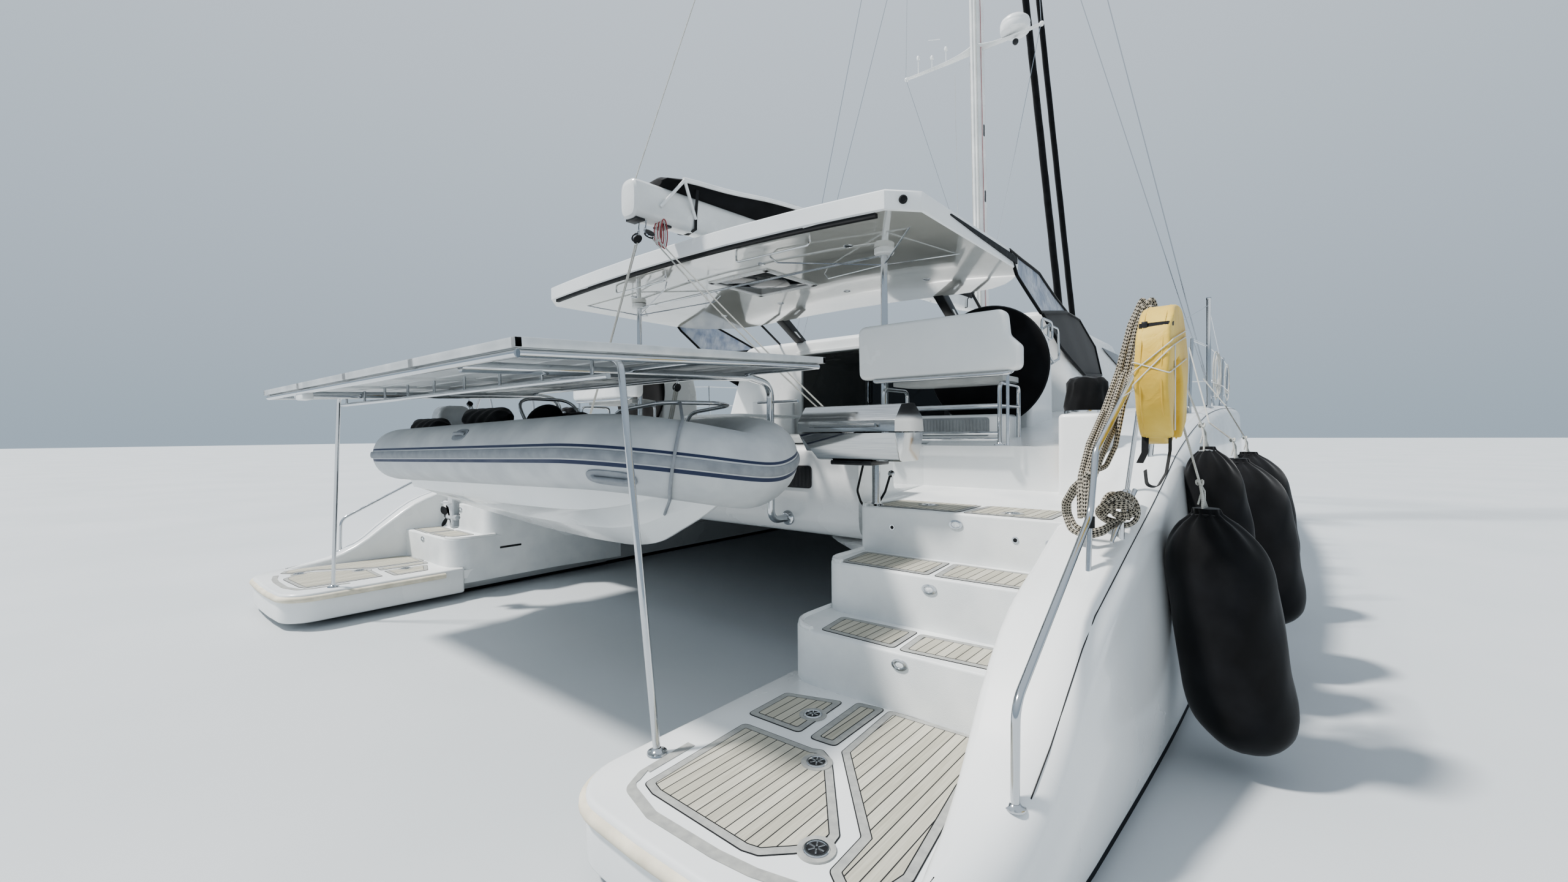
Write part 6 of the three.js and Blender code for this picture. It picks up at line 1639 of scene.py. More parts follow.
for side_name, side in SIDES.items():
    low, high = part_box(f"trampoline_{side_name}")
    net = bmesh.new()
    bmesh.ops.create_grid(net, x_segments=40, y_segments=52, size=0.5)
    for vert in net.verts:
        u, v = vert.co.x + 0.5, vert.co.y + 0.5
        y = mix(low[1], high[1], v)
        inner = 0.09
        outer = along([(4.2, 2.52), (5.0, 2.66), (6.5, 2.87), (7.7, 3.02)], y)
        vert.co = (mix(inner, outer, u), y, 1.79 - 0.012 * math.sin(math.pi * u) * math.sin(math.pi * v))
    bmesh.ops.wireframe(net, faces=list(net.faces), thickness=0.006, use_even_offset=True, use_replace=True,
                        use_boundary=True)
    flip(net, side)
    dress(f"net_{side_name}", net, "boat", "netting", [netting], [f"trampoline_{side_name}"], 60)

# Guard rails
# Steel stanchions in deck sockets carry two lifelines a side, and a bent tube rail guards each bow.
STANCHION_Y = [-3.35, -1.7, 0.2, 2.0, 3.9, 5.7]
for side_name, side in SIDES.items():
    rail = bmesh.new()
    tops = []
    lean = 0.02
    for y in STANCHION_Y:
        x, z = along(SHEER_OUT, y) - 0.17, along(SHEER_Z, y) - 0.005
        tube(rail, [(x, y, z - 0.02), (x + lean, y, z + 0.62), (x + lean, y, z + 0.637),
                    (x + lean, y, z + 0.642)], [0.0125, 0.0125, 0.011, 0.004], 14)
        add_part(rail, lathe([(0.0, 0.0), (0.036, 0.0), (0.034, 0.007), (0.018, 0.012), (0.016, 0.06),
                              (0.0126, 0.064)], 20), at(x, y, z - 0.006))
        tops.append((x + lean, y, z))
    tops.append((3.165, 7.7, 2.22))
    for rise in (0.62, 0.27):
        tube(rail, [(x, y, z + rise) for x, y, z in tops], 0.0045, 8, 1)
    bow = [(3.2, 6.95, 2.1), (3.2, 7.0, 2.85), (3.19, 7.7, 2.87), (3.19, 8.08, 2.87), (3.3, 8.1, 2.5),
           (3.2, 8.02, 2.1)]
    tube(rail, turned(bow, 0.1), BAR_R, 12)
    tube(rail, turned([(3.165, 7.7, 2.1), (3.165, 7.7, 2.86)], 0.02), BAR_R, 12)
    flip(rail, side)
    dress(f"lifelines_{side_name}", rail, "boat", "stainless", [stainless, white_plastic],
          [f"guard_rail_{side_name}"], 40)

# Stern rails
# One polished tube rises from each platform along the wing, over the hull's edge and round by the winch.
# Short legs carry it, with a lower bar, round welded feet and dark lashings where they meet.
RAIL_R = 0.016
STERN_RAIL = [(3.7, -7.45, 0.42), (3.7, -7.44, 0.77), (3.7, -6.4, 1.3), (3.7, -6.29, 1.6),
              (3.83, -5.9, 2.05), (3.86, -5.8, 2.3), (3.84, -5.12, 2.33), (3.74, -5.08, 1.4)]
for side_name, side in SIDES.items():
    rail = bmesh.new()
    path = turned(STERN_RAIL, [0, 0.12, 0.16, 0.12, 0.12, 0.1, 0.1, 0])
    tube(rail, path, RAIL_R, 16)
    for leg in ([(3.7, -6.45, 0.95), (3.7, -6.4, 1.3)], [(3.72, -5.64, 1.35), (3.78, -5.66, 1.8),
                                                         (3.85, -5.72, 2.29)]):
        tube(rail, leg, BAR_R, 12)
    tube(rail, [(3.79, -5.7, 1.9), (3.79, -5.1, 1.88)], 0.011, 10)
    for x, y, z in ((3.7, -7.45, 0.42), (3.72, -5.64, 1.35), (3.74, -5.08, 1.4), (3.7, -6.45, 0.97)):
        add_part(rail, lathe([(0.0, 0.0), (0.038, 0.0), (0.037, 0.006), (0.024, 0.01), (0.0165, 0.018)], 22),
                 at(x, y, z))
    for x, y, z, rise in ((3.7, -6.405, 1.27, 0.055), (3.845, -5.72, 2.27, 0.04)):
        band = bmesh.new()
        tube(band, [(x, y, z - rise / 2), (x, y + 0.002, z + rise / 2)], 0.0215, 14)
        add_part(rail, band, None, 1)
    flip(rail, side)
    dress(f"pushpit_{side_name}", rail, "boat", "stainless", [stainless, rubber_and_painted_shadow],
          [f"stern_rail_{side_name}"], 40)

# Solar array
# Framed glass panels lie side by side on the davit frame: dark blue cells under glass on top, a ribbed white
# backing sheet below, and pale alloy frames round each panel.
ARRAY_HALF = 2.11
ARRAY_AFT_Y = -8.37
ARRAY_FORE_Y = -6.3
ARRAY_THICK = 0.04
PANELS_ACROSS = 4


def array_z(y):
    """Height of the array's top at one Y."""
    return mix(2.08, 2.19, (y - ARRAY_AFT_Y) / (ARRAY_FORE_Y - ARRAY_AFT_Y))


# Solar glass: blue-black cells with fine silver fingers under toughened glass.
solar_glass, tree, shader = new_finish("solar_cells_under_glass", {"IOR": 1.52, "Coat Weight": 0.8,
                                                                   "Coat Roughness": 0.05})
coords = add_node(tree, "ShaderNodeTexCoord")
cells = add_node(tree, "ShaderNodeTexBrick", {"Vector": (coords, "Object"), "Scale": 1.0,
                                              "Mortar Size": 0.004, "Brick Width": 0.16, "Row Height": 0.16,
                                              "Color1": linear("16233d"), "Color2": linear("1b2a47"),
                                              "Mortar": linear("8f98a3")}, offset=0.0, squash=1.0)
fingers = add_node(tree, "ShaderNodeTexWave", {"Vector": (coords, "Object"), "Scale": 26, "Distortion": 0},
                   bands_direction="X")
silver = add_node(tree, "ShaderNodeMapRange", {"Value": (fingers, "Fac"), "From Min": 0.93, "From Max": 1.0,
                                               "To Max": 0.35})
blend = add_node(tree, "ShaderNodeMix", {0: (silver, "Result"), MIX_A: (cells, "Color"),
                                         MIX_B: linear("a9b2bb")}, data_type="RGBA")
tree.links.new(blend.outputs[MIX_OUT], shader.inputs["Base Color"])
dust = add_node(tree, "ShaderNodeTexNoise", {"Vector": (coords, "Object"), "Scale": 5, "Detail": 6})
vary(tree, shader, dust, 0.08, 0.28)

# Backing sheet: white laminate, satin, faintly grey.
backing = surface("white_backing_laminate", {"IOR": 1.48}, "c4c8ca", "d2d5d6", 3, 5, (0.3, 0.5))[0]

# Pale alloy: anodised extrusion, satin silver-white.
pale_alloy = surface("anodised_pale_alloy", {"Metallic": 0.35}, "c9cccd", "d9dbdb", 7, 5, (0.3, 0.45))[0]

array = bmesh.new()
width = 2 * ARRAY_HALF / PANELS_ACROSS
length = ARRAY_FORE_Y - ARRAY_AFT_Y
pitch = math.atan2(array_z(ARRAY_FORE_Y) - array_z(ARRAY_AFT_Y), length)
for i in range(PANELS_ACROSS):
    middle = -ARRAY_HALF + width * (i + 0.5)
    place = (at(middle, (ARRAY_AFT_Y + ARRAY_FORE_Y) / 2, (array_z(ARRAY_AFT_Y) + array_z(ARRAY_FORE_Y)) / 2)
             @ Matrix.Rotation(pitch, 4, "X"))
    half_w, half_l = width / 2 - 0.0015, length / 2
    for x0, x1, y0, y1 in ((-half_w, half_w, -half_l, -half_l + 0.03),
                           (-half_w, half_w, half_l - 0.03, half_l),
                           (-half_w, -half_w + 0.03, -half_l, half_l),
                           (half_w - 0.03, half_w, -half_l, half_l)):
        add_part(array, block((x0, y0, -ARRAY_THICK), (x1, y1, 0.0), 0.002), place, 1)
    in_w, in_l = half_w - 0.02, half_l - 0.02
    for low, high, finish in ((-0.012, -0.002, 0), (-0.022, -0.014, 2)):
        add_part(array, block((-in_w, -in_l, low), (in_w, in_l, high), 0.001, 1), place, finish)
    for k in range(7):
        y = -half_l + length * (k + 1) / 8
        add_part(array, block((-in_w, y - 0.012, -0.03), (in_w, y + 0.012, -0.02), 0.003), place, 2)
dress("solar_panels", array, "boat", "solar_glass", [solar_glass, pale_alloy, backing], ["solar_array"])

# Array frame and davits
# Two bent steel davits rise from round flanges in the bridgedeck's after face and carry the array, with
# tubes along its edges on short stubs. Two slim poles stand on the platforms under its outer corners.
DAVIT_X = 1.46
TUBE_DROP = 0.021
EDGE_TUBE_R = 0.018
FLANGE_Z = 1.05
POLE_FOOT = (2.316, -7.864)
frame_tubes = bmesh.new()


def under(y):
    """Height of the frame tubes' axis, just below the panels."""
    return array_z(y) - ARRAY_THICK - TUBE_DROP


for side in SIDES.values():
    davit = [(side * DAVIT_X, -5.9, FLANGE_Z), (side * DAVIT_X, -6.1, FLANGE_Z),
             (side * DAVIT_X, -6.1, 2.06), (side * DAVIT_X, -6.33, under(-6.33) - 0.03),
             (side * DAVIT_X, -8.3, under(-8.3) - 0.005)]
    tube(frame_tubes, turned(davit, [0, 0.09, 0.12, 0.1, 0], 8), 0.028, 20)
    add_part(frame_tubes, lathe([(0.0, 0.0), (0.058, 0.0), (0.056, 0.008), (0.036, 0.014), (0.028, 0.026)],
                                28), at(side * DAVIT_X, -5.9, FLANGE_Z) @ FACING_AFT)
    for k in range(4):
        a = math.pi / 4 + math.pi / 2 * k
        bolt = at(side * DAVIT_X + 0.045 * math.cos(a), -5.909, FLANGE_Z + 0.045 * math.sin(a)) @ FACING_AFT
        add_part(frame_tubes, lathe([(0.0, 0.005), (0.006, 0.004), (0.007, 0.0)], 12), bolt)
    tube(frame_tubes, [(side * (DAVIT_X - 0.12), -6.1, 1.93), (side * (DAVIT_X + 0.26), -6.1, 1.93)], 0.012,
         10)
    pole = [(side * POLE_FOOT[0], POLE_FOOT[1], PLATFORM_Z), (side * 2.075, -7.86, 2.03),
            (side * 1.97, -7.86, 2.06)]
    tube(frame_tubes, turned(pole, [0, 0.07, 0], 8), 0.0165, 16)
    add_part(frame_tubes, lathe([(0.0, 0.0), (0.045, 0.0), (0.043, 0.007), (0.025, 0.012), (0.0165, 0.024)],
                                24), at(side * POLE_FOOT[0], POLE_FOOT[1], PLATFORM_Z + 0.002))
    side_rail = [(side * (ARRAY_HALF - 0.03), y, under(y)) for y in (ARRAY_AFT_Y + 0.03,
                                                                     ARRAY_FORE_Y - 0.05)]
    tube(frame_tubes, side_rail, EDGE_TUBE_R, 14)
for y in (ARRAY_AFT_Y + 0.03, -7.35, ARRAY_FORE_Y - 0.06):
    tube(frame_tubes, [(-ARRAY_HALF + 0.03, y, under(y)), (ARRAY_HALF - 0.03, y, under(y))], EDGE_TUBE_R, 14)
low_y = -7.86
low_z = under(low_y) - 0.075
tube(frame_tubes, [(-1.98, low_y, low_z), (1.98, low_y, low_z)], 0.014, 12)
for x in steps_between(-1.85, 1.85, 8):
    tube(frame_tubes, [(x, low_y, low_z), (x, low_y, under(low_y) + 0.02)], 0.009, 10)
light_box = block((-1.2, ARRAY_AFT_Y + 0.02, under(ARRAY_AFT_Y) - 0.055),
                  (-1.02, ARRAY_AFT_Y + 0.09, under(ARRAY_AFT_Y)), 0.012)
add_part(frame_tubes, light_box, None, 1)
dress("array_tubes", frame_tubes, "boat", "stainless", [stainless, white_plastic], ["array_frame"], 40)

# Tender
# A rigid inflatable hangs athwart under the array. Its light grey coated-fabric collar is glued up in cones,
# with two navy bands and a grey rubbing strake between them, over a white moulded hull with a deep forefoot.
TENDER_Y = -7.0
TUBE_R = 0.215
TUBE_HALF = 0.56
STERN_X = -1.75
BEND_X = 1.3
TUBE_RISE = (1.535, 1.6)
NOSE = Vector((2.05, 0, 1.49))

# Collar fabric: chlorosulphonated coating on polyester, satin, with navy bands where it faces outboard.
collar_cloth, tree, shader = new_finish("light_grey_coated_fabric", {"Specular IOR Level": 0.45})
coords = add_node(tree, "ShaderNodeTexCoord")
lay = add_node(tree, "ShaderNodeAttribute", attribute_name="lay")
parts = add_node(tree, "ShaderNodeSeparateXYZ", {"Vector": (lay, "Vector")})
patches, ramp = mottle(tree, shader, "b4b8bb", "c8cbcc", (coords, "Object"), 4, 8)
navy = None
for low, high in ((0.17, 0.24), (-0.26, -0.16)):
    above = reckon(tree, "GREATER_THAN", (parts, "Y"), low)
    below = reckon(tree, "LESS_THAN", (parts, "Y"), high)
    band = reckon(tree, "MULTIPLY", (above, "Value"), (below, "Value"))
    if navy:
        navy = reckon(tree, "ADD", (navy, "Value"), (band, "Value"))
    else:
        navy = band
outboard_face = reckon(tree, "GREATER_THAN", (parts, "X"), 0.0)
navy = reckon(tree, "MULTIPLY", (navy, "Value"), (outboard_face, "Value"))
blend = add_node(tree, "ShaderNodeMix", {0: (navy, "Value"), MIX_A: (ramp, "Color"),
                                         MIX_B: linear("27324f")}, data_type="RGBA")
tree.links.new(blend.outputs[MIX_OUT], shader.inputs["Base Color"])
vary(tree, shader, patches, 0.4, 0.58)
fibres = add_node(tree, "ShaderNodeTexNoise", {"Vector": (coords, "Object"), "Scale": 240, "Detail": 2})
raise_grain(tree, shader, (fibres, "Fac"), 0.0005, 0.3)

# Rubber strake: grey extruded moulding, dull.
strake_rubber = surface("grey_rubbing_strake", {"Specular IOR Level": 0.35}, "868b90", "979ba0", 14, 5,
                        (0.55, 0.75))[0]


def collar_path():
    """The collar's centre line: two straight sides that rise forward, joined round a lower bow."""
    def on_side(x):
        return Vector((x, -TUBE_HALF, mix(*TUBE_RISE, (x - STERN_X) / (BEND_X - STERN_X))))
    a, b, c, d = on_side(BEND_X), on_side(BEND_X + 0.6), NOSE + Vector((0, -0.1, 0)), NOSE
    curve = [a * (1 - t) ** 3 + 3 * b * t * (1 - t) ** 2 + 3 * c * t * t * (1 - t) + d * t ** 3
             for t in steps_between(0, 1, 22)]
    near = [on_side(x) for x in steps_between(STERN_X, BEND_X, 30)[:-1]] + curve
    far = [Vector((p.x, -p.y, p.z)) for p in near[-2::-1]]
    return [p + Vector((0, TENDER_Y, 0)) for p in near + far]


def outboard_of(heading):
    """The level direction that points away from the tender beside a heading."""
    return heading.cross(Vector((0, 0, 1))).normalized()


collar = bmesh.new()
path = collar_path()
lay_layer = collar.verts.layers.float_vector.new("lay")
cone = [(-0.22, 0.035), (-0.2, 0.06), (-0.14, 0.12), (-0.06, 0.18), (0.0, 0.209), (0.06, TUBE_R)]
rings = []
angles = around(40)
headings = headings_along(path)
start_cone = [(path[0] + headings[0] * (s + 0.22), headings[0], r) for s, r in cone[:5]]
end_cone = [(path[-1] - headings[-1] * (s + 0.22), headings[-1], r) for s, r in cone[4::-1]]
sections = start_cone + [(p, h, TUBE_R) for p, h in zip(path, headings) if path[0].x + 0.3 < p.x] + end_cone
for point, heading, size in sections:
    outward = outboard_of(heading)
    up = outward.cross(heading).normalized()
    rings.append([point + size * (outward * math.cos(a) + up * math.sin(a)) for a in angles])
rows = loft(collar, rings)
for row in rows:
    for k, vert in enumerate(row):
        vert[lay_layer] = (math.cos(angles[k]), math.sin(angles[k]), 0)
for face in collar.faces:
    face.material_index = 0
strake_path = [p + outboard_of(h) * (TUBE_R + 0.001) for p, h, r in sections[4:-4]]
strake = bmesh.new()
rings = []
for p, (middle, heading, size) in zip(strake_path, sections[4:-4]):
    outward = outboard_of(heading)
    rings.append([p + outward * u + Vector((0, 0, v)) for u, v in ((-0.012, -0.03), (0.004, -0.026),
                                                                   (0.009, -0.014), (0.011, 0.0),
                                                                   (0.009, 0.014), (0.004, 0.026),
                                                                   (-0.012, 0.03))])
loft(strake, rings)
add_part(collar, strake, None, 1)
for x, side_z, long in ((0.05, 0.13, 0.1), (1.62, -0.12, 0.15)):
    middle, heading, size = min(sections[:len(sections) // 2], key=lambda row: abs(row[0].x - x))
    outward = outboard_of(heading)
    normal = (outward * math.sqrt(TUBE_R ** 2 - side_z ** 2) + Vector((0, 0, side_z))).normalized()
    across = normal.cross(heading).normalized()
    place = Matrix.Translation(middle + normal * (TUBE_R - 0.003)) @ Matrix((heading, across,
                                                                             normal)).transposed().to_4x4()
    oval = [(long * swollen(math.cos(a), 0.7), 0.048 * swollen(math.sin(a), 0.7))
            for a in around(32)]
    add_part(collar, slab(oval, -0.008, 0.006, 0.003), place, 1)
    grip = [(-0.75 * long, 0, 0.004), (-0.6 * long, 0, 0.018), (0.6 * long, 0, 0.018),
            (0.75 * long, 0, 0.004)]
    tube(collar, [place @ Vector(p) for p in turned(grip, 0.02)], 0.013, 10, 1)
dress("tender_tube", collar, "boat", "boat_fabric", [collar_cloth, strake_rubber, white_rope],
      ["tender_collar"], 40)

boat = bmesh.new()
HULL_ROWS = [(-1.69, 1.06, 1.25, 1.36, 0.4), (-1.0, 1.015, 1.235, 1.36, 0.41), (0, 0.96, 1.22, 1.36, 0.42),
             (0.6, 0.945, 1.225, 1.37, 0.4), (0.95, 0.948, 1.235, 1.38, 0.37), (1.25, 0.99, 1.27, 1.4, 0.3),
             (1.5, 1.1, 1.33, 1.43, 0.22), (1.75, 1.23, 1.4, 1.46, 0.12), (1.9, 1.33, 1.44, 1.49, 0.05)]
rings = []
for x in steps_between(-1.69, 1.9, 44):
    keel, chine, floor, half = [along([(row[0], row[k]) for row in HULL_ROWS], x) for k in range(1, 5)]
    section = [(0.0, keel), (0.012, keel + 0.002), (half * 0.48, mix(keel, chine, 0.5) + 0.004),
               (half * 0.5, mix(keel, chine, 0.52) - 0.012), (half * 0.54, mix(keel, chine, 0.56) - 0.002),
               (half * 0.93, chine - 0.02), (half, chine - 0.012), (half + 0.012, chine + 0.01),
               (half + 0.055, floor + 0.03), (half + 0.02, floor + 0.04), (half * 0.5, floor + 0.02),
               (0.0, floor + 0.015)]
    rings.append([(x, TENDER_Y + y, z) for y, z in section] + [(x, TENDER_Y - y, z) for y,
                                                               z in section[-2:0:-1]])
loft(boat, rings)
plan = rounded([(-0.46, 1.3), (0.46, 1.3), (0.46, 1.62), (0.14, 1.645), (-0.14, 1.645), (-0.46, 1.62)],
               [0.02, 0.02, 0.08, 0.06, 0.06, 0.08], 5)
add_part(boat, slab(plan, -1.63, -1.57, 0.012, 3), at(0, TENDER_Y, 0) @ ALONG_X)
seat = rounded([(-0.35, 1.38), (0.25, 1.38), (0.22, 1.62), (0.1, 1.74), (-0.1, 1.76), (-0.14, 1.66),
                (-0.35, 1.64)], [0.02, 0.03, 0.05, 0.05, 0.04, 0.03, 0.04], 5)
add_part(boat, slab(seat, -0.3, 0.3, 0.03, 4),
         at(0, TENDER_Y, 0) @ ALONG_Y, 1)
for x in (-1.25, 1.35):
    eye = [(x - 0.028, TENDER_Y, 1.4), (x - 0.028, TENDER_Y, 1.545), (x + 0.028, TENDER_Y, 1.545),
           (x + 0.028, TENDER_Y, 1.4)]
    tube(boat, turned(eye, 0.026), 0.007, 10, 2)
loop = turned([(0.1, TENDER_Y - 0.24, 1.72), (-0.12, TENDER_Y - 0.24, 1.98), (-0.12, TENDER_Y + 0.24, 1.98),
               (0.1, TENDER_Y + 0.24, 1.72)], 0.14)
tube(boat, loop, BAR_R, 12, 2)
bow_rail = turned([(1.15, TENDER_Y - 0.3, 1.48), (1.22, TENDER_Y - 0.3, 1.84),
                   (1.65, TENDER_Y - 0.28, 1.88), (1.8, TENDER_Y, 1.88), (1.65, TENDER_Y + 0.28, 1.88),
                   (1.22, TENDER_Y + 0.3, 1.84), (1.15, TENDER_Y + 0.3, 1.48)], 0.14)
tube(boat, bow_rail, BAR_R, 12, 2)
middle, heading, size = min(sections[:len(sections) // 2], key=lambda row: abs(row[0].x - 1.86))
outward = outboard_of(heading)
up = outward.cross(heading).normalized()
strap = [Vector((1.72, TENDER_Y - 0.2, 1.88))]
strap += [middle + (outward * math.cos(a) + up * math.sin(a)) * (TUBE_R + 0.011)
          for a in (math.radians(d) for d in range(75, -70, -12))]
strap.append(Vector((1.45, TENDER_Y - 0.1, 1.2)))
tube(boat, strap, 0.009, 10, 5)
add_part(boat, lathe([(0.0, 0.0), (0.15, 0.0), (0.155, 0.012), (0.15, 0.024), (0.14, 0.03), (0.0, 0.032)],
                     32), at(-0.12, TENDER_Y, 1.8) @ rolled(-58, "Y"), 3)
for low_x, high_x, y, z in ((-1.75, -1.05, -0.36, 1.77), (-0.75, 0.0, -0.34, 1.83), (-0.5, 0.2, 0.2, 1.8)):
    bundle = bmesh.new()
    rings = []
    for t in steps_between(0, 1, 24):
        x = mix(low_x, high_x, t)
        size = 0.075 * (0.35 + 0.65 * min(1, 7 * t, 7 * (1 - t)))
        rings.append([(x, TENDER_Y + y + size * (1 + 0.09 * math.sin(5 * a + 31 * t)) * math.cos(a),
                       z + size * (1 + 0.09 * math.sin(5 * a + 31 * t)) * math.sin(a))
                      for a in around(24)])
    loft(bundle, rings)
    add_part(boat, bundle, None, 4)
thwart = block((-1.3, -0.42, 1.6), (-0.25, 0.42, 1.65), 0.015, 3)
add_part(boat, thwart, at(0, TENDER_Y, 0))
dress("tender_boat", boat, "boat", "painted_alloy", [gelcoat, white_plastic, stainless, black_plastic,
                                                     canvas, strake_rubber], ["tender_hull"], 35)

# Tender falls
# A rope purchase at each end hangs the tender from the davits: white braided line in three parts between a
# block under the frame and a block shackled to the tender's eye.
for name, x in (("aft", -1.25), ("fore", 1.35)):
    fall = bmesh.new()
    top = Vector((math.copysign(DAVIT_X, x), TENDER_Y, under(TENDER_Y) - 0.1))
    eye = Vector((x, TENDER_Y, 1.64))
    way = (top - eye).normalized()
    pulley(fall, tuple(eye), 0.026, 1, 2, tuple(-way))
    pulley(fall, tuple(top), 0.026, 1, 2, tuple(way))
    for dx in (-0.012, 0.0, 0.012):
        tube(fall, [tuple(eye + way * 0.01 + Vector((0, dx * 1.2, 0))),
                    tuple(top - way * 0.01 + Vector((0, dx * 1.2, 0)))], 0.0045, 8, 0, True)
    dress(f"tender_purchase_{name}", fall, "boat", "netting", [white_rope, black_plastic, stainless],
          [f"tender_fall_{name}"], 50)

# Outboard motor
# A small four-stroke motor clamps to the tender's transom: a black bracket with two screws, a grey-white
# cowl over a slim leg, an anti-ventilation plate and a three-bladed black propeller.
TILT_PIN = Vector((-1.745, TENDER_Y, 1.665))
LEG_X = -1.845
SHAFT_HEIGHT = 0.905
TENDER_MIDDLE = at(0, TENDER_Y, 0)

# Cowl paint: pearl grey-white over moulded plastic, glossy.
cowl_paint = surface("pearl_grey_cowl_paint", {"Metallic": 0.15, "Coat Weight": 0.6,
                                               "Coat Roughness": 0.06}, "b7bbbd", "c6c9ca", 9, 5,
                     (0.2, 0.32))[0]

clamp = bmesh.new()
for side in (-1, 1):
    ear = rounded([(-1.773, 1.56), (-1.6303, 1.56), (-1.6303, 1.677), (-1.773, 1.677)],
                  [0.03, 0, 0.01, 0.03], 4)
    near = side * 0.1003
    far = side * 0.1223
    add_part(clamp, slab(ear, min(near, far), max(near, far), 0.003, 2),
             TENDER_MIDDLE @ ALONG_Y)
    screw_place = at(-1.535, TENDER_Y + side * 0.07, 1.59) @ rolled(90, "Y")
    add_part(clamp, lathe([(0.0, -0.03), (0.022, -0.03), (0.022, -0.022), (0.008, -0.02), (0.008, 0.05),
                           (0.0, 0.052)], 18), screw_place, 1)
    add_part(clamp, block((-0.006, -0.045, 0.035), (0.006, 0.045, 0.047), 0.003), screw_place, 0)
add_part(clamp, block((-1.67, -0.12, 1.42), (-1.6303, 0.12, 1.645), 0.008), TENDER_MIDDLE)
add_part(clamp, block((-1.67, -0.12, 1.6403), (-1.54, 0.12, 1.662), 0.006), TENDER_MIDDLE)
dress("motor_clamp", clamp, "boat", "black_alloy", [black_alloy, stainless], ["outboard_bracket"])

motor = bmesh.new()
rings = []
for z, half, lead in ((1.7, 0.1, 0.0), (1.715, 0.115, 0.0), (1.76, 0.155, 0.0), (1.8, 0.16, 0.0),
                      (1.9, 0.153, 0.0), (1.95, 0.13, 0.01), (1.975, 0.1, 0.025), (1.985, 0.07, 0.04)):
    plan = [(LEG_X - 0.16 + lead, -half * 0.6), (LEG_X - 0.16 + lead, half * 0.6), (LEG_X - 0.09, half),
            (-1.749, half), (-1.749, -half), (LEG_X - 0.09, -half)]
    smooth = turned([(x, TENDER_Y + y, z) for x, y in plan], [0.045, 0.045, 0.05, 0.03, 0.03, 0.05], 5, True)
    rings.append([tuple(p) for p in smooth])
loft(motor, rings)
band = [[(mix(p[0], LEG_X - 0.02, -0.02), mix(p[1], TENDER_Y, -0.02), z) for p in rings[2]]
        for z in (1.752, 1.766)]
strip = bmesh.new()
loft(strip, band)
add_part(motor, strip, None, 1)
leg_side = rounded([(LEG_X - 0.07, 1.71), (LEG_X - 0.06, 1.03), (LEG_X - 0.1, 1.02), (LEG_X - 0.1, 1.005),
                    (LEG_X - 0.04, 0.985), (LEG_X - 0.02, 0.8), (LEG_X + 0.05, 0.8), (LEG_X + 0.06, 1.0),
                    (LEG_X + 0.055, 1.71)], [0, 0.03, 0.005, 0.005, 0.02, 0.03, 0.02, 0.05, 0], 4)
add_part(motor, slab(leg_side, -0.035, 0.035, 0.018, 4), TENDER_MIDDLE @ ALONG_Y)
plate = rounded([(LEG_X - 0.19, -0.05), (LEG_X - 0.19, 0.05), (LEG_X + 0.04, 0.07), (LEG_X + 0.04, -0.07)],
                0.03, 5)
add_part(motor, slab(plate, 1.035, 1.043, 0.002, 2), TENDER_MIDDLE)
pod = lathe([(0.0, -0.1), (0.024, -0.09), (0.036, -0.05), (0.039, 0.0), (0.038, 0.09), (0.0, 0.091)], 24)
add_part(motor, pod, at(LEG_X, TENDER_Y, SHAFT_HEIGHT) @ rolled(-90, "Y"))
pin = lathe([(0.0, -0.1), (0.018, -0.1), (0.018, 0.1), (0.0, 0.1)], 20)
add_part(motor, pin, Matrix.Translation(TILT_PIN) @ FACING_AFT, 1)
add_part(motor, block((LEG_X, -0.06, 1.61), (-1.745, 0.06, 1.69), 0.012, 3), TENDER_MIDDLE, 1)
dress("motor_cowl_and_leg", motor, "outboard", "painted_alloy", [cowl_paint, black_plastic], ["outboard"])


def propeller(hub_r, hub_long, reach, blades, lean):
    """A screw on the Z axis: a rounded hub and thin cupped blades with swept round tips."""
    bm = bmesh.new()
    half = hub_long / 2
    add_part(bm, lathe([(0.0, -half), (hub_r * 0.6, -half), (hub_r * 0.78, -half * 0.9),
                        (hub_r, half * 0.6), (hub_r, half * 0.9), (hub_r * 0.8, half), (0.0, half)], 28))
    for i in range(blades):
        blade = bmesh.new()
        rings = []
        for t in steps_between(0, 1, 12):
            r = mix(hub_r * 0.8, reach, t)
            chord = reach * 0.58 * math.sin(math.pi * min(1, 0.22 + 0.75 * t)) ** 0.8
            chord *= 1 if t < 0.99 else 0.5
            twist = lean * (1.25 - 0.6 * t)
            ring = []
            for a in around(12):
                u = chord / 2 * math.cos(a)
                v = 0.0035 * (1.3 - t) * math.sin(a) + 0.05 * chord * math.cos(a) ** 2
                ring.append((u * math.cos(twist) - v * math.sin(twist), r, u * math.sin(twist) + v
                             * math.cos(twist)))
            rings.append(ring)
        loft(blade, rings)
        add_part(bm, blade, Matrix.Rotation(2 * math.pi * i / blades, 4, "Z"))
    return bm


fan = bmesh.new()
add_part(fan, propeller(0.03, 0.09, 0.115, 3, 0.6), at(-1.9805, TENDER_Y, SHAFT_HEIGHT) @ rolled(90, "Y"))
dress("motor_propeller", fan, "outboard_screw", "black_alloy", [black_alloy], ["outboard_propeller"])

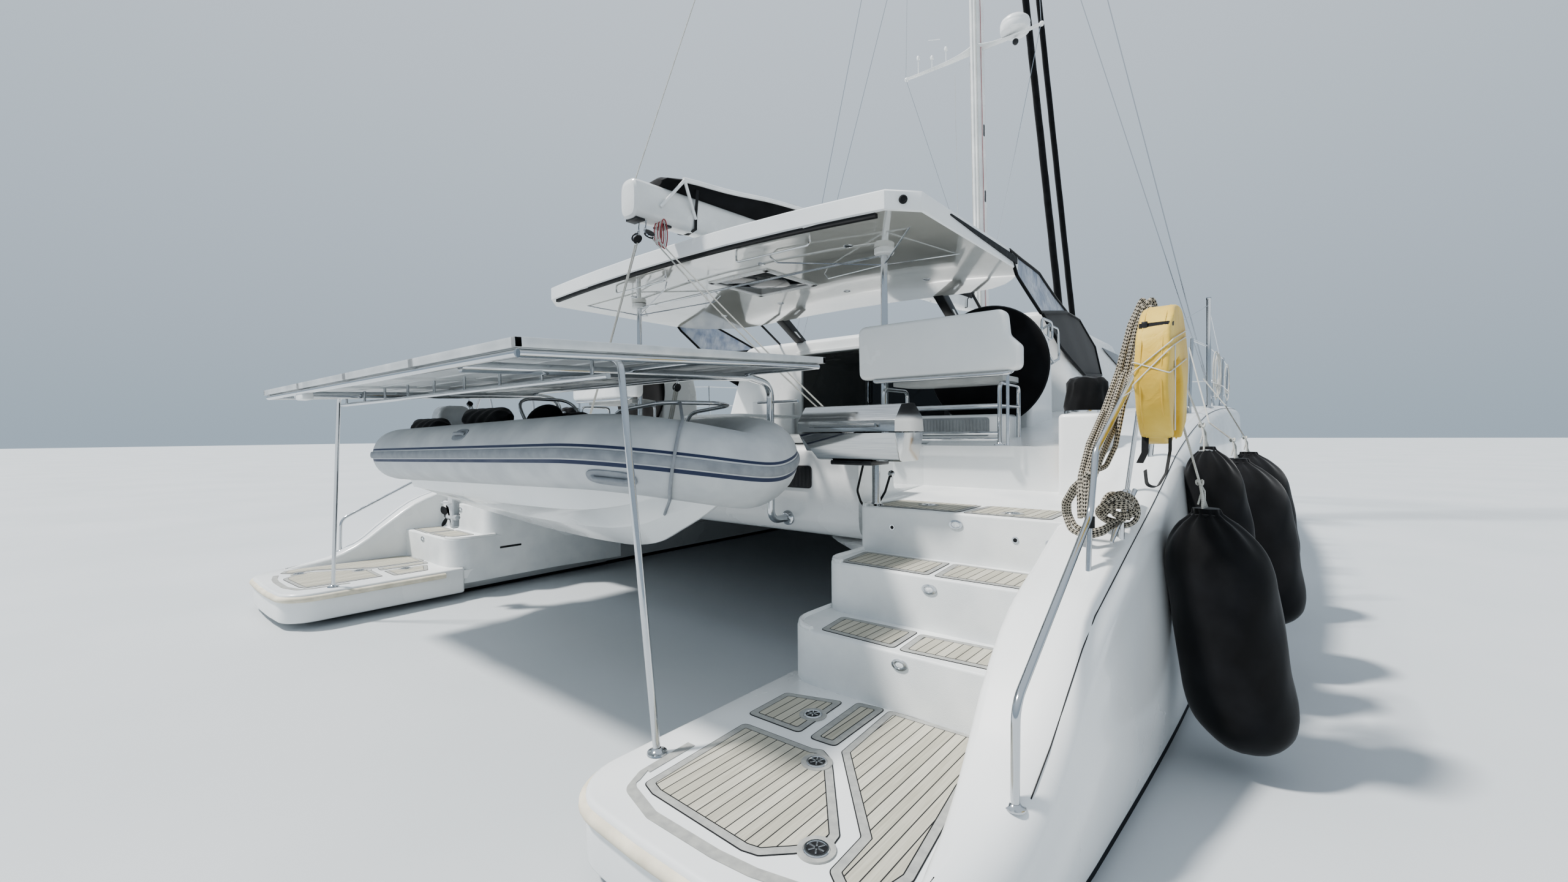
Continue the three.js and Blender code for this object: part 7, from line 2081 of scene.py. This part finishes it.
# Barbecue
# A polished steel gas grill stands on a short post by the last step: a tapered bowl, a folded lid with a
# broad front band and hexagonal ends, a bar handle on two brackets, and a gas hose to a socket in the
# coaming.
GRILL_LOW_X = 1.89
GRILL_HIGH_X = 2.62
GRILL_Y = -6.13
GRILL_RIM_Z = 1.7
HINGE_PLACES = (GRILL_LOW_X + 0.15, GRILL_HIGH_X - 0.11)

# Brushed steel: pressed sheet with a fine fore-and-aft brushing.
brushed = surface("brushed_steel_sheet", {"Metallic": 1.0, "Anisotropic": 0.4}, "b5b7b8", "cfd0d0", 5, 6,
                  (0.07, 0.15), vector=(1, 90, 90))[0]


bowl = bmesh.new()
outer = [(GRILL_Y + dy, z) for dy, z in ((-0.19, GRILL_RIM_Z), (-0.125, 1.53), (-0.1, 1.52), (0.1, 1.52),
                                         (0.125, 1.53), (0.19, GRILL_RIM_Z))]
shell = bmesh.new()
loft(shell, [[(GRILL_LOW_X + 0.66 * (GRILL_RIM_Z - z), y, z) for y, z in outer],
             [(GRILL_HIGH_X, y, z) for y, z in outer]])
rim_face = max(shell.faces, key=lambda f: f.calc_center_median().z)
bmesh.ops.recalc_face_normals(shell, faces=shell.faces)
bmesh.ops.inset_region(shell, faces=[rim_face], thickness=0.014, use_even_offset=True)
bmesh.ops.translate(shell, verts=list(rim_face.verts), vec=(0, 0, -0.12))
for vert in rim_face.verts:
    vert.co.y = GRILL_Y + (vert.co.y - GRILL_Y) * 0.66
long_edges = [e for e in shell.edges if e.calc_length() > 0.1]
bmesh.ops.bevel(shell, geom=long_edges, offset=0.006, segments=3, profile=0.5, affect="EDGES", material=-1)
add_part(bowl, shell)
add_part(bowl, block((GRILL_LOW_X + 0.03, GRILL_Y - 0.15, 1.66), (GRILL_HIGH_X - 0.03, GRILL_Y + 0.15,
                                                                  1.672), 0.003), None, 1)
add_part(bowl, block((GRILL_LOW_X + 0.22, GRILL_Y - 0.13, 1.492), (GRILL_HIGH_X - 0.2, GRILL_Y + 0.1,
                                                                   1.522), 0.008), None, 1)
post = at(2.29, -5.98, 0)
add_part(bowl, lathe([(0.0, 1.2), (0.06, 1.2), (0.058, 1.212), (0.035, 1.222), (0.028, 1.235),
                      (0.028, 1.535), (0.0, 1.536)], 28), post)
for x in HINGE_PLACES:
    add_part(bowl, block((x - 0.04, GRILL_Y + 0.15, 1.64), (x - 0.031, GRILL_Y + 0.22, 1.698), 0.002))
    add_part(bowl, block((x - 0.04, GRILL_Y + 0.197, 1.69), (x - 0.031, GRILL_Y + 0.22, 1.72), 0.002))
    tube(bowl, [(x - 0.035, GRILL_Y + 0.212, 1.712), (x + 0.03, GRILL_Y + 0.212, 1.712)], 0.006, 12)
hose = turned([(2.2, -5.99, 1.5), (2.14, -5.98, 1.3), (2.17, -5.97, 1.2), (2.27, -5.95, 1.19),
               (2.33, -5.93, 1.3), (2.36, -5.91, 1.42)], 0.06, 6)
add_part(bowl, lathe([(0.0, 0.0), (0.024, 0.0), (0.024, 0.006), (0.012, 0.01), (0.012, 0.03), (0.0, 0.03)],
                     20), at(2.36, -5.895, 1.42) @ FACING_AFT)
dress("grill_bowl", bowl, "boat", "stainless", [brushed, black_alloy, rubber_and_painted_shadow], ["barbecue"], 30)
HOSE_R = 0.008
hose_tube = bmesh.new()
tube(hose_tube, hose, HOSE_R, 10)
piece = dress("grill_gas_hose", hose_tube, "boat", "boat_fabric", [rubber_and_painted_shadow])
hose_length = sum((b - a).length for a, b in zip(hose, hose[1:]))
tuple(hose[0])
[tuple(p) for p in hose]

hood = bmesh.new()
hood_side = rounded([(GRILL_Y + dy, z) for dy, z in ((-0.19, 1.706), (-0.188, 1.775), (-0.105, 1.872),
                                                     (0.06, 1.885), (0.17, 1.8), (0.19, 1.706))],
                    [0, 0.004, 0.006, 0.006, 0.006, 0], 3)
shell = bmesh.new()
loft(shell, [[(x, y, z) for y, z in hood_side]
             for x in (GRILL_LOW_X, GRILL_LOW_X + 0.006, GRILL_HIGH_X - 0.006, GRILL_HIGH_X)])
floor_faces = [f for f in shell.faces if f.calc_center_median().z < 1.707]
bmesh.ops.delete(shell, geom=floor_faces, context="FACES")
bmesh.ops.recalc_face_normals(shell, faces=shell.faces)
outward = max(shell.faces, key=lambda f: f.calc_center_median().z)
if outward.normal.z < 0:
    bmesh.ops.reverse_faces(shell, faces=shell.faces)
bmesh.ops.solidify(shell, geom=list(shell.faces), thickness=0.008)
add_part(hood, shell)
tube(hood, [(GRILL_LOW_X + 0.12, GRILL_Y - 0.215, 1.745), (GRILL_HIGH_X - 0.12, GRILL_Y - 0.215, 1.745)],
     0.011, 14)
for x in (GRILL_LOW_X + 0.1375, GRILL_HIGH_X - 0.1375):
    add_part(hood, block((x - 0.0075, GRILL_Y - 0.222, 1.735), (x + 0.0075, GRILL_Y - 0.178, 1.755), 0.003))
for x in HINGE_PLACES:
    knuckle = lathe([(0.0075, -0.03), (0.014, -0.03), (0.014, 0.03), (0.0075, 0.03)], 20)
    add_part(hood, knuckle, at(x, GRILL_Y + 0.212, 1.712) @ rolled(90, "Y"))
    add_part(hood, block((x - 0.03, GRILL_Y + 0.176, 1.716), (x + 0.03, GRILL_Y + 0.203, 1.722), 0.001, 1))
dress("grill_hood", hood, "grill_lid", "stainless", [brushed], ["barbecue_lid"], 30)

# Lifebuoy
# A horseshoe buoy is stowed against the pushpit in a yellow coated-cloth cover with welted seams. A black
# strap with a buckle, white webbing and thin white cords hold it, and black tapes hang below.
BUOY_X = (3.878, 4.018)
BUOY_Y = -6.08
BUOY_Z = 1.965
BUOY_HALF = (0.27, 0.335)
STRAP_RISE = 0.225

# Yellow cloth: coated polyester, faded unevenly by the sun, with soft wrinkles.
yellow_cloth = surface("yellow_coated_polyester", {"Specular IOR Level": 0.4, "Sheen Weight": 0.15},
                       "cda944", "e2c568", 3.5, 7, (0.5, 0.7), (0.014, 0.35, 11, 3, 1.5))[0]

# Webbing: flat woven tape, black, and the same in white.
black_tape = surface("black_webbing", {"Sheen Weight": 0.3, "Specular IOR Level": 0.25}, "111214", "1f2022",
                     60, 3, (0.7, 0.9))[0]


def tape(bm, path, width, finish, across=(1, 0, 0), thick=0.0016):
    """Flat webbing laid along a path, its width along one direction."""
    path = [Vector(p) for p in path]
    side_way = Vector(across).normalized() * width / 2
    rings = []
    for i, p in enumerate(path):
        heading = (path[min(i + 1, len(path) - 1)] - path[max(i - 1, 0)]).normalized()
        normal = heading.cross(side_way).normalized() * thick
        rings.append([p - side_way - normal, p + side_way - normal, p + side_way + normal,
                      p - side_way + normal])
    part = bmesh.new()
    loft(part, rings)
    add_part(bm, part, None, finish)


def buoy_aft(x, rise):
    """A point just off the buoy's after face, at a height above its middle."""
    return (x, BUOY_Y - BUOY_HALF[0] * math.sqrt(1 - (rise / BUOY_HALF[1]) ** 2) - 0.004, BUOY_Z + rise)


buoy = bmesh.new()
shape = [(BUOY_HALF[0] * math.sin(a), BUOY_HALF[1] * math.cos(a))
         for a in (math.radians(d) for d in range(-156, 157, 8))]
shape += [(0.105, -0.28), (0.105, -0.06), (0.07, 0.05), (0, 0.09), (-0.07, 0.05), (-0.105, -0.06),
          (-0.105, -0.28)]
outline = [(BUOY_Y - y, BUOY_Z + z) for y, z in shape]
add_part(buoy, slab(outline, BUOY_X[0] + 0.02, BUOY_X[1], 0.014, 4), ALONG_X)
core = [(BUOY_Y - 0.99 * BUOY_HALF[0] * math.sin(a), BUOY_Z + 0.99 * BUOY_HALF[1] * math.cos(a))
        for a in (math.radians(d) for d in range(0, 360, 8))]
add_part(buoy, slab(core, BUOY_X[0], BUOY_X[1] - 0.035, 0.02, 4), ALONG_X)
for face in buoy.faces:
    face.smooth = True
cuts = [e for e in buoy.edges if e.calc_length() > 0.06]
bmesh.ops.subdivide_edges(buoy, edges=cuts, cuts=5, use_grid_fill=True)
for vert in buoy.verts:
    dy, dz = vert.co.y - BUOY_Y, vert.co.z - BUOY_Z
    crease = 0.0035 * math.sin(31 * dz + 17 * dy) + 0.003 * math.sin(57 * dz - 23 * vert.co.x)
    vert.co.y += crease * (1 if dy > 0 else -1)
    vert.co.x += 0.003 * math.sin(19 * dz + 26 * dy) * (1 if vert.co.x > 3.9 else 0)
for x in (BUOY_X[0] + 0.028, BUOY_X[1] - 0.028):
    welt = [(x, BUOY_Y - (BUOY_HALF[0] - 0.002) * math.sin(a), BUOY_Z + (BUOY_HALF[1] - 0.002) * math.cos(a))
            for a in (math.radians(d) for d in range(-156, 157, 6))]
    tube(buoy, welt, 0.004, 8, 0)
strap_z = BUOY_Z + STRAP_RISE
strap_y = buoy_aft(0, STRAP_RISE)[1]
tape(buoy, [(BUOY_X[0] - 0.001, strap_y + 0.05, strap_z), (BUOY_X[0] + 0.012, strap_y, strap_z - 0.004),
            (BUOY_X[1] - 0.012, strap_y, strap_z - 0.004), (BUOY_X[1] + 0.001, strap_y + 0.05, strap_z)],
     0.022, 1, (0, 0.35, 1))
add_part(buoy, block((3.9, strap_y - 0.008, strap_z - 0.02), (3.925, strap_y + 0.004, strap_z + 0.014),
                     0.003), None, 3)
outer = BUOY_X[1] + 0.0025
tape(buoy, [(outer, BUOY_Y - 0.12, z) for z in steps_between(BUOY_Z + 0.135, BUOY_Z - 0.265, 12)], 0.02, 2,
     (0, 1, 0))
hook = [(outer - dx, BUOY_Y - dy, BUOY_Z - dz) for dx, dy, dz in ((0.02, 0.11, 0.22), (0.02, 0.12, 0.36),
                                                                  (0.03, 0.15, 0.46), (0.06, 0.19, 0.53),
                                                                  (0.1, 0.2, 0.52), (0.11, 0.18, 0.45))]
tape(buoy, turned(hook, 0.05, 5), 0.022, 1, (0.6, -0.6, 0.35))
tape(buoy, [(3.9, BUOY_Y - 0.12, BUOY_Z - 0.29), (3.9, BUOY_Y - 0.13, BUOY_Z - 0.37),
            (3.88, BUOY_Y - 0.14, BUOY_Z - 0.42)], 0.03, 1, (1, 0, 0))
for first, last in ((0.1, -0.06), (0.13, -0.0), (-0.01, 0.05)):
    cord = [(outer + 0.005, BUOY_Y + 0.16, BUOY_Z + first + 0.1),
            (outer + 0.005, BUOY_Y - 0.2, BUOY_Z + first + 0.02), buoy_aft(outer + 0.002, first),
            buoy_aft(mix(outer, BUOY_X[0], 0.5), (first + last) / 2), buoy_aft(BUOY_X[0] - 0.004, last),
            (BUOY_X[0] - 0.006, BUOY_Y - 0.2, BUOY_Z + last - 0.01), (3.8, BUOY_Y - 0.1, BUOY_Z - 0.1)]
    tube(buoy, turned(cord, 0.015, 4), 0.003, 8, 2)
bmesh.ops.rotate(buoy, verts=buoy.verts, cent=(sum(BUOY_X) / 2, BUOY_Y, 0),
                 matrix=Matrix.Rotation(math.radians(-2), 3, "Z"))
dress("lifebuoy_cover", buoy, "boat", "yellow_cloth", [yellow_cloth, black_tape, white_rope, black_plastic],
      ["lifebuoy"], 50)

# Mooring cleat and stowed rope
# A steel cleat is bolted to the starboard wing. Flecked mooring rope is hitched round it in a big knot, and
# its spare length hangs over the pushpit in eight gathered strands, with three loose loops inboard.
stow = bmesh.new()
tube(stow, turned([(3.77, -6.3, 1.165), (3.775, -6.22, 1.22), (3.785, -5.8, 1.375), (3.79, -5.66, 1.4)],
                  0.04), [0.008] + [0.014] * 13 + [0.008], 12, 0)
for y, z in ((-6.12, 1.2), (-5.9, 1.28)):
    tube(stow, [(3.78, y, z - 0.06), (3.78, y, z + 0.06)], 0.014, 12, 0)
dress("wing_cleat", stow, "boat", "stainless", [stainless])
ROPE_R = 0.0125
flecked_rope = rope_finish("flecked_mooring_braid", "cbc5b8", "b3aca0", "141312", 4.0, 0.4, 170.0)
hank = bmesh.new()
random.seed(5)
for k, turn in enumerate(around(8)):
    reach = 0.046 if k % 2 else 0.024
    lift = Vector((reach * math.cos(turn), 0.4 * reach * math.sin(turn), reach * math.sin(turn)))
    over = [Vector(p) + lift * swell + Vector([random.uniform(-0.005, 0.005) for _ in range(3)]) for p,
            swell in (((3.86, -5.74, 2.05 + 0.02 * k), 0.6), ((3.855, -5.745, 2.32), 0.6),
                      ((3.835, -5.77, 2.4), 0.6), ((3.785, -5.79, 2.25), 0.8), ((3.745, -5.83, 2.0), 1.0),
                      ((3.7, -5.97, 1.78), 1.1), ((3.68, -6.2, 1.6), 1.0), ((3.665, -6.33, 1.45), 0.8),
                      ((3.67, -6.38, 1.3), 0.5))]
    tube(hank, turned(over, 0.08, 5), ROPE_R, 10, 0, True)
for out in (0.0, 0.022):
    loop = [(3.68, -6.33, 1.5), (3.62 - out, -6.3, 1.42), (3.57 - out, -6.26, 1.34),
            (3.56 - out, -6.22, 1.28), (3.6 - out, -6.26, 1.225 - out), (3.66, -6.28, 1.2 - out),
            (3.72, -6.24, 1.22 - out), (3.78, -6.14, 1.26)]
    tube(hank, turned(loop, 0.06, 6), ROPE_R, 10, 0, True)
low_loop = [(3.8, -5.9, 2.02), (3.77, -6.0, 1.85), (3.74, -6.05, 1.62), (3.71, -6.12, 1.52),
            (3.68, -6.2, 1.5), (3.7, -6.24, 1.6)]
tube(hank, turned(low_loop, 0.05, 6), ROPE_R, 10, 0, True)
centre = Vector((3.755, -6.1, 1.31))
for k in range(7):
    lean = Matrix.Rotation(0.5 + 0.62 * k, 3, "Z") @ Matrix.Rotation(0.35 + 0.5 * (k % 3), 3, "X")
    big, small = 0.092 - 0.006 * k, 0.082 - 0.005 * k
    coil = []
    for t in range(29):
        a = 2 * math.pi * t / 28
        coil.append(centre + lean @ Vector((big * math.cos(a), 0.028 * math.sin(2 * a + k) + 0.01 * (k - 2),
                                            small * math.sin(a))))
    tube(hank, coil, ROPE_R, 10, 0, True, False)
tube(hank, [centre + Vector(p) for p in ((-0.05, -0.03, -0.03), (-0.01, -0.055, 0.03), (0.04, -0.05, 0.05),
                                         (0.07, -0.02, 0.0), (0.05, 0.0, -0.05))], ROPE_R, 10, 0, True)
dress("stowed_mooring_rope", hank, "boat", "netting", [flecked_rope], (), 60)

# Gate post and hung lines
# A tall steel post stands at the starboard boarding gate, with a wire from its head to the pushpit. Spare
# white lines are coiled over the lifelines forward of it.
gate = bmesh.new()
POST_FOOT = Vector((3.84, -2.25, 1.93))
add_part(gate, lathe([(0.0, 0.0), (0.045, 0.0), (0.043, 0.008), (0.026, 0.014), (0.019, 0.03),
                      (0.019, 1.06), (0.022, 1.065), (0.022, 1.085), (0.0, 1.09)], 24),
         Matrix.Translation(POST_FOOT - Vector((0, 0, 0.01))))
tube(gate, [POST_FOOT + Vector((0, 0, 1.0)), (3.84, -5.15, 2.31)], 0.003, 6)
tube(gate, [POST_FOOT + Vector((0, 0, 0.6)), (3.79, -3.35, 2.49)], 0.003, 6)
tube(gate, [POST_FOOT + Vector((0, 0, 1.0)), (3.81, -0.4, 2.6)], 0.003, 6)
dress("gate_post", gate, "boat", "stainless", [stainless])
coils = bmesh.new()
random.seed(8)
for y in (-0.9, -0.6, 1.4):
    top = Vector((along(SHEER_OUT, y) - 0.15, y, along(SHEER_Z, y) + 0.63))
    for k in range(4):
        drop, wide = random.uniform(0.38, 0.56), random.uniform(0.05, 0.11)
        ring = [top + Vector((random.uniform(-0.004, 0.004) + 0.02 * math.sin(2 * math.pi * t / 20),
                              wide * math.sin(2 * math.pi * t / 20), -drop / 2 + drop / 2
                              * math.cos(2 * math.pi * t / 20))) for t in range(21)]
        tube(coils, ring, 0.005, 8, 0, True, False)
dress("hung_line_coils", coils, "boat", "gelcoat", [white_rope], (), 60)

# Fenders
# Long inflated fenders lie pressed against the starboard topside in woven black covers, seamed along their
# length and gathered round the neck with cord. Doubled white lines with knots carry them from the rail.
FENDERS = [(-5.75, 0.1, 1.3, 0.235), (-4.15, 0.35, 1.5, 0.25), (-2.5, 0.42, 1.5, 0.25),
           (-5.0, 0.7, 1.6, 0.155)]
SQUASH = 0.011
TOPSIDE = 0.013
LEAN = 0.14
SHOULDER = 0.33
NECK = 0.972
LINE_R = 0.0055
FENDER_PROFILE = [(0, 0.02), (0.012, 0.3), (0.03, 0.5), (0.07, 0.72), (0.125, 0.88), (0.2, 0.965),
                  (0.275, 1), (0.65, 1), (0.725, 0.985), (0.8, 0.93), (0.86, 0.82), (0.92, 0.6),
                  (0.955, 0.4), (0.972, 0.27), (1, 0.25)]
LINE_TOPS = [(3.86, -5.76, 2.3), (3.79, -3.35, 2.4), (3.81, -2.4, 2.2), (3.84, -5.14, 2.3)]
for number, ((y, low, high, radius), hung_from) in enumerate(zip(FENDERS, LINE_TOPS), 1):
    fender = bmesh.new()
    tall = high - low
    side_x = along(SHEER_OUT, y) + TOPSIDE + radius - SQUASH
    rings = []
    for t in [0, 0.006, 0.015, 0.03, *steps_between(0.05, 1, 46)]:
        r = radius * along(FENDER_PROFILE, t)
        x = side_x + LEAN * (high - SHOULDER - low - tall * t)
        pinch = max(0.0, min(1, (t - 0.8) * 6)) * (1 - max(0.0, (t - 0.975) * 40))
        ring = []
        for a in around(64):
            seam = 0.0035 * max(0.0, math.cos(4 * a + 0.6)) ** 30
            fold = 0.011 * pinch * math.sin(11 * a + 4 * t) + 0.0035 * math.sin(3 * a + 9 * t + number)
            fold += 0.003 * math.sin(5 * a - 21 * t)
            out = max(0.002, r + seam + fold * min(1, r / 0.1))
            px = max(x - radius + SQUASH, x + out * math.cos(a))
            ring.append((px, y + out * math.sin(a), low + tall * t))
        rings.append(ring)
    loft(fender, rings)
    x = side_x - LEAN * SHOULDER
    neck_z = low + tall * NECK
    for k in range(4):
        ring = [(x + 0.27 * radius * math.cos(a), y + 0.27 * radius * math.sin(a),
                 neck_z - 0.012 * k + 0.003 * math.sin(3 * a))
                for a in (2 * math.pi * j / 24 for j in range(25))]
        tube(fender, ring, 0.006, 8, 1 if number != 4 else 2, False, False)
    dress(f"fender_cover_{number}", fender, "boat", "dark_cloth", [canvas, black_tape, grey_plastic],
          [f"fender_{number}"], 60)
    hung = bmesh.new()
    edge_x, edge_z = along(SHEER_OUT, y) + 0.012, along(SHEER_Z, y) + 0.01
    top = Vector(hung_from)
    knot = Vector((x - 0.03, y, high + 0.13))
    for dy in (-0.05, -0.018, 0.018, 0.05):
        tube(hung, [(x + 0.3 * dy, y + dy, neck_z - 0.03), (x * 0.5 + knot.x * 0.5, y + dy * 0.7,
                                                            (neck_z + knot.z) / 2), knot], LINE_R, 8, 0,
             True)
    ring = [knot + Vector((0.014 * math.cos(a), 0.014 * math.sin(a) + 0.004 * math.sin(3 * a),
                           0.012 * math.sin(2 * a))) for a in (2 * math.pi * j / 16 for j in range(33))]
    tube(hung, ring, LINE_R, 8, 0, True, False)
    over_edge = [(edge_x + 0.015, mix(y, top.y, 0.2), edge_z + 0.01)] if edge_z > knot.z - 0.05 else []
    for dy in (-0.006, 0.006):
        path = turned([tuple(knot), *over_edge, tuple(top + Vector((0, dy, 0)))], 0.03, 5)
        tube(hung, path, LINE_R, 8, 0, True)
    for tail in ((0.02, 0.03, -0.09), (-0.004, -0.035, -0.11)):
        tube(hung, [knot, knot + Vector(tail) * 0.5 + Vector((0.01, 0, 0)), knot + Vector(tail)], 0.0045, 8,
             0, True)
    dress(f"fender_line_{number}", hung, "boat", "gelcoat", [white_rope], (), 60)

# Keels
# Each hull stands on a fixed low-aspect keel, cast and faired, in the same antifouling as the bottom.


def foil_ring(x, z, lead, chord, half, count=40):
    """A streamlined section: rounded at its leading edge, thin at its trailing edge."""
    ring = []
    for k, a in enumerate(around(count)):
        u = (1 - math.cos(a)) / 2
        thick = half * 5.1 * (0.2969 * math.sqrt(u) - 0.126 * u - 0.3516 * u * u + 0.2843 * u ** 3 - 0.1
                              * u ** 4) * 2
        ring.append((x + math.copysign(thick, math.sin(a)) if 0 < k < count / 2 or k > count / 2 else x,
                     lead - chord * u, z))
    return ring


def foil(rows):
    """A fin through rows of z, leading edge, chord and half thickness at the hull's centre plane."""
    bm = bmesh.new()
    loft(bm, [foil_ring(HULL_MIDDLE, *row) for row in rows])
    return bm


HULL_MIDDLE = 3.22
for side_name, side in SIDES.items():
    keel = foil([(-1.35, 0.82, 1.9, 0.03), (-1.342, 0.86, 2.0, 0.07), (-1.32, 0.89, 2.07, 0.105),
                 (-1.27, 0.92, 2.12, 0.122), (-1.15, 0.99, 2.24, 0.13), (-0.8, 1.18, 2.6, 0.15),
                 (-0.45, 1.37, 2.95, 0.175), (-0.3, 1.45, 3.1, 0.19)])
    flip(keel, side)
    dress(f"fixed_keel_{side_name}", keel, "boat", "antifouling", [antifouling], [f"keel_{side_name}"], 40)

# Rudders
# A spade rudder hangs on its stock under each stern, foam-cored glassfibre in antifouling paint.
RUDDER_Y = -6.9
for side_name, side in SIDES.items():
    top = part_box(f"rudder_{side_name}")[1][2]
    blade = foil([(-1.28, RUDDER_Y + 0.06, 0.3, 0.006), (-1.275, RUDDER_Y + 0.08, 0.35, 0.016),
                  (-1.25, RUDDER_Y + 0.09, 0.38, 0.022), (-0.9, RUDDER_Y + 0.1, 0.415, 0.027),
                  (top - 0.03, RUDDER_Y + 0.12, 0.465, 0.034), (top - 0.018, RUDDER_Y + 0.118, 0.46, 0.03)])
    tube(blade, [(HULL_MIDDLE, RUDDER_Y, top - 0.06), (HULL_MIDDLE, RUDDER_Y, top)], 0.03, 20, 1)
    flip(blade, side)
    dress(f"spade_rudder_{side_name}", blade, f"rudder_{side_name}", "antifouling", [antifouling, stainless],
          [f"rudder_{side_name}"], 40)

# Saildrives
# A saildrive leg comes down through each hull forward of its rudder, painted alloy with a torpedo-shaped
# gear case, water inlets in its sides and an anode at its after end.
DRIVE_Y = -4.25
SHAFT_Z = -1.01
for side_name, side in SIDES.items():
    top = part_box(f"saildrive_{side_name}")[1][2]
    leg = foil([(SHAFT_Z, DRIVE_Y + 0.11, 0.25, 0.05), (SHAFT_Z + 0.12, DRIVE_Y + 0.115, 0.26, 0.052),
                (top, DRIVE_Y + 0.13, 0.29, 0.06)])
    shaft = at(HULL_MIDDLE, DRIVE_Y, SHAFT_Z) @ rolled(-90, "X")
    case = lathe([(0.0, -0.19), (0.045, -0.19), (0.055, -0.17), (0.06, -0.08), (0.062, 0.02), (0.055, 0.11),
                  (0.036, 0.165), (0.014, 0.187), (0.0, 0.19)], 32)
    add_part(leg, case, shaft)
    add_part(leg, lathe([(0.045, -0.1905), (0.056, -0.186), (0.0585, -0.16), (0.0605, -0.15),
                         (0.0605, -0.14)], 32), shaft, 1)
    for k in range(4):
        for x in (-1, 1):
            place = at(HULL_MIDDLE + x * 0.046, DRIVE_Y, SHAFT_Z + 0.1 + 0.03 * k)
            add_part(leg, block((-0.006, 0.045, 0.0), (0.006, 0.085, 0.012), 0.002, 1), place, 2)
    flip(leg, side)
    dress(f"drive_leg_{side_name}", leg, "boat", "painted_alloy", [alloy_paint, grey_plastic, black_plastic],
          [f"saildrive_{side_name}"], 40)

# Propellers
# Three-bladed propellers in cast bronze, browner in some soft patches and brighter in others.

# Bronze: cast nickel-aluminium bronze.
bronze = surface("cast_propeller_bronze", {"Metallic": 1.0}, "7a5a2e", "b08a4c", 14, 7, (0.25, 0.45))[0]

for side_name, side in SIDES.items():
    fan = bmesh.new()
    add_part(fan, propeller(0.048, 0.13, 0.225, 3, 0.6),
             at(HULL_MIDDLE, DRIVE_Y - 0.2555, SHAFT_Z) @ rolled(90, "X"))
    flip(fan, side)
    dress(f"bronze_propeller_{side_name}", fan, f"screw_{side_name}", "bronze", [bronze],
          [f"propeller_{side_name}"], 40)
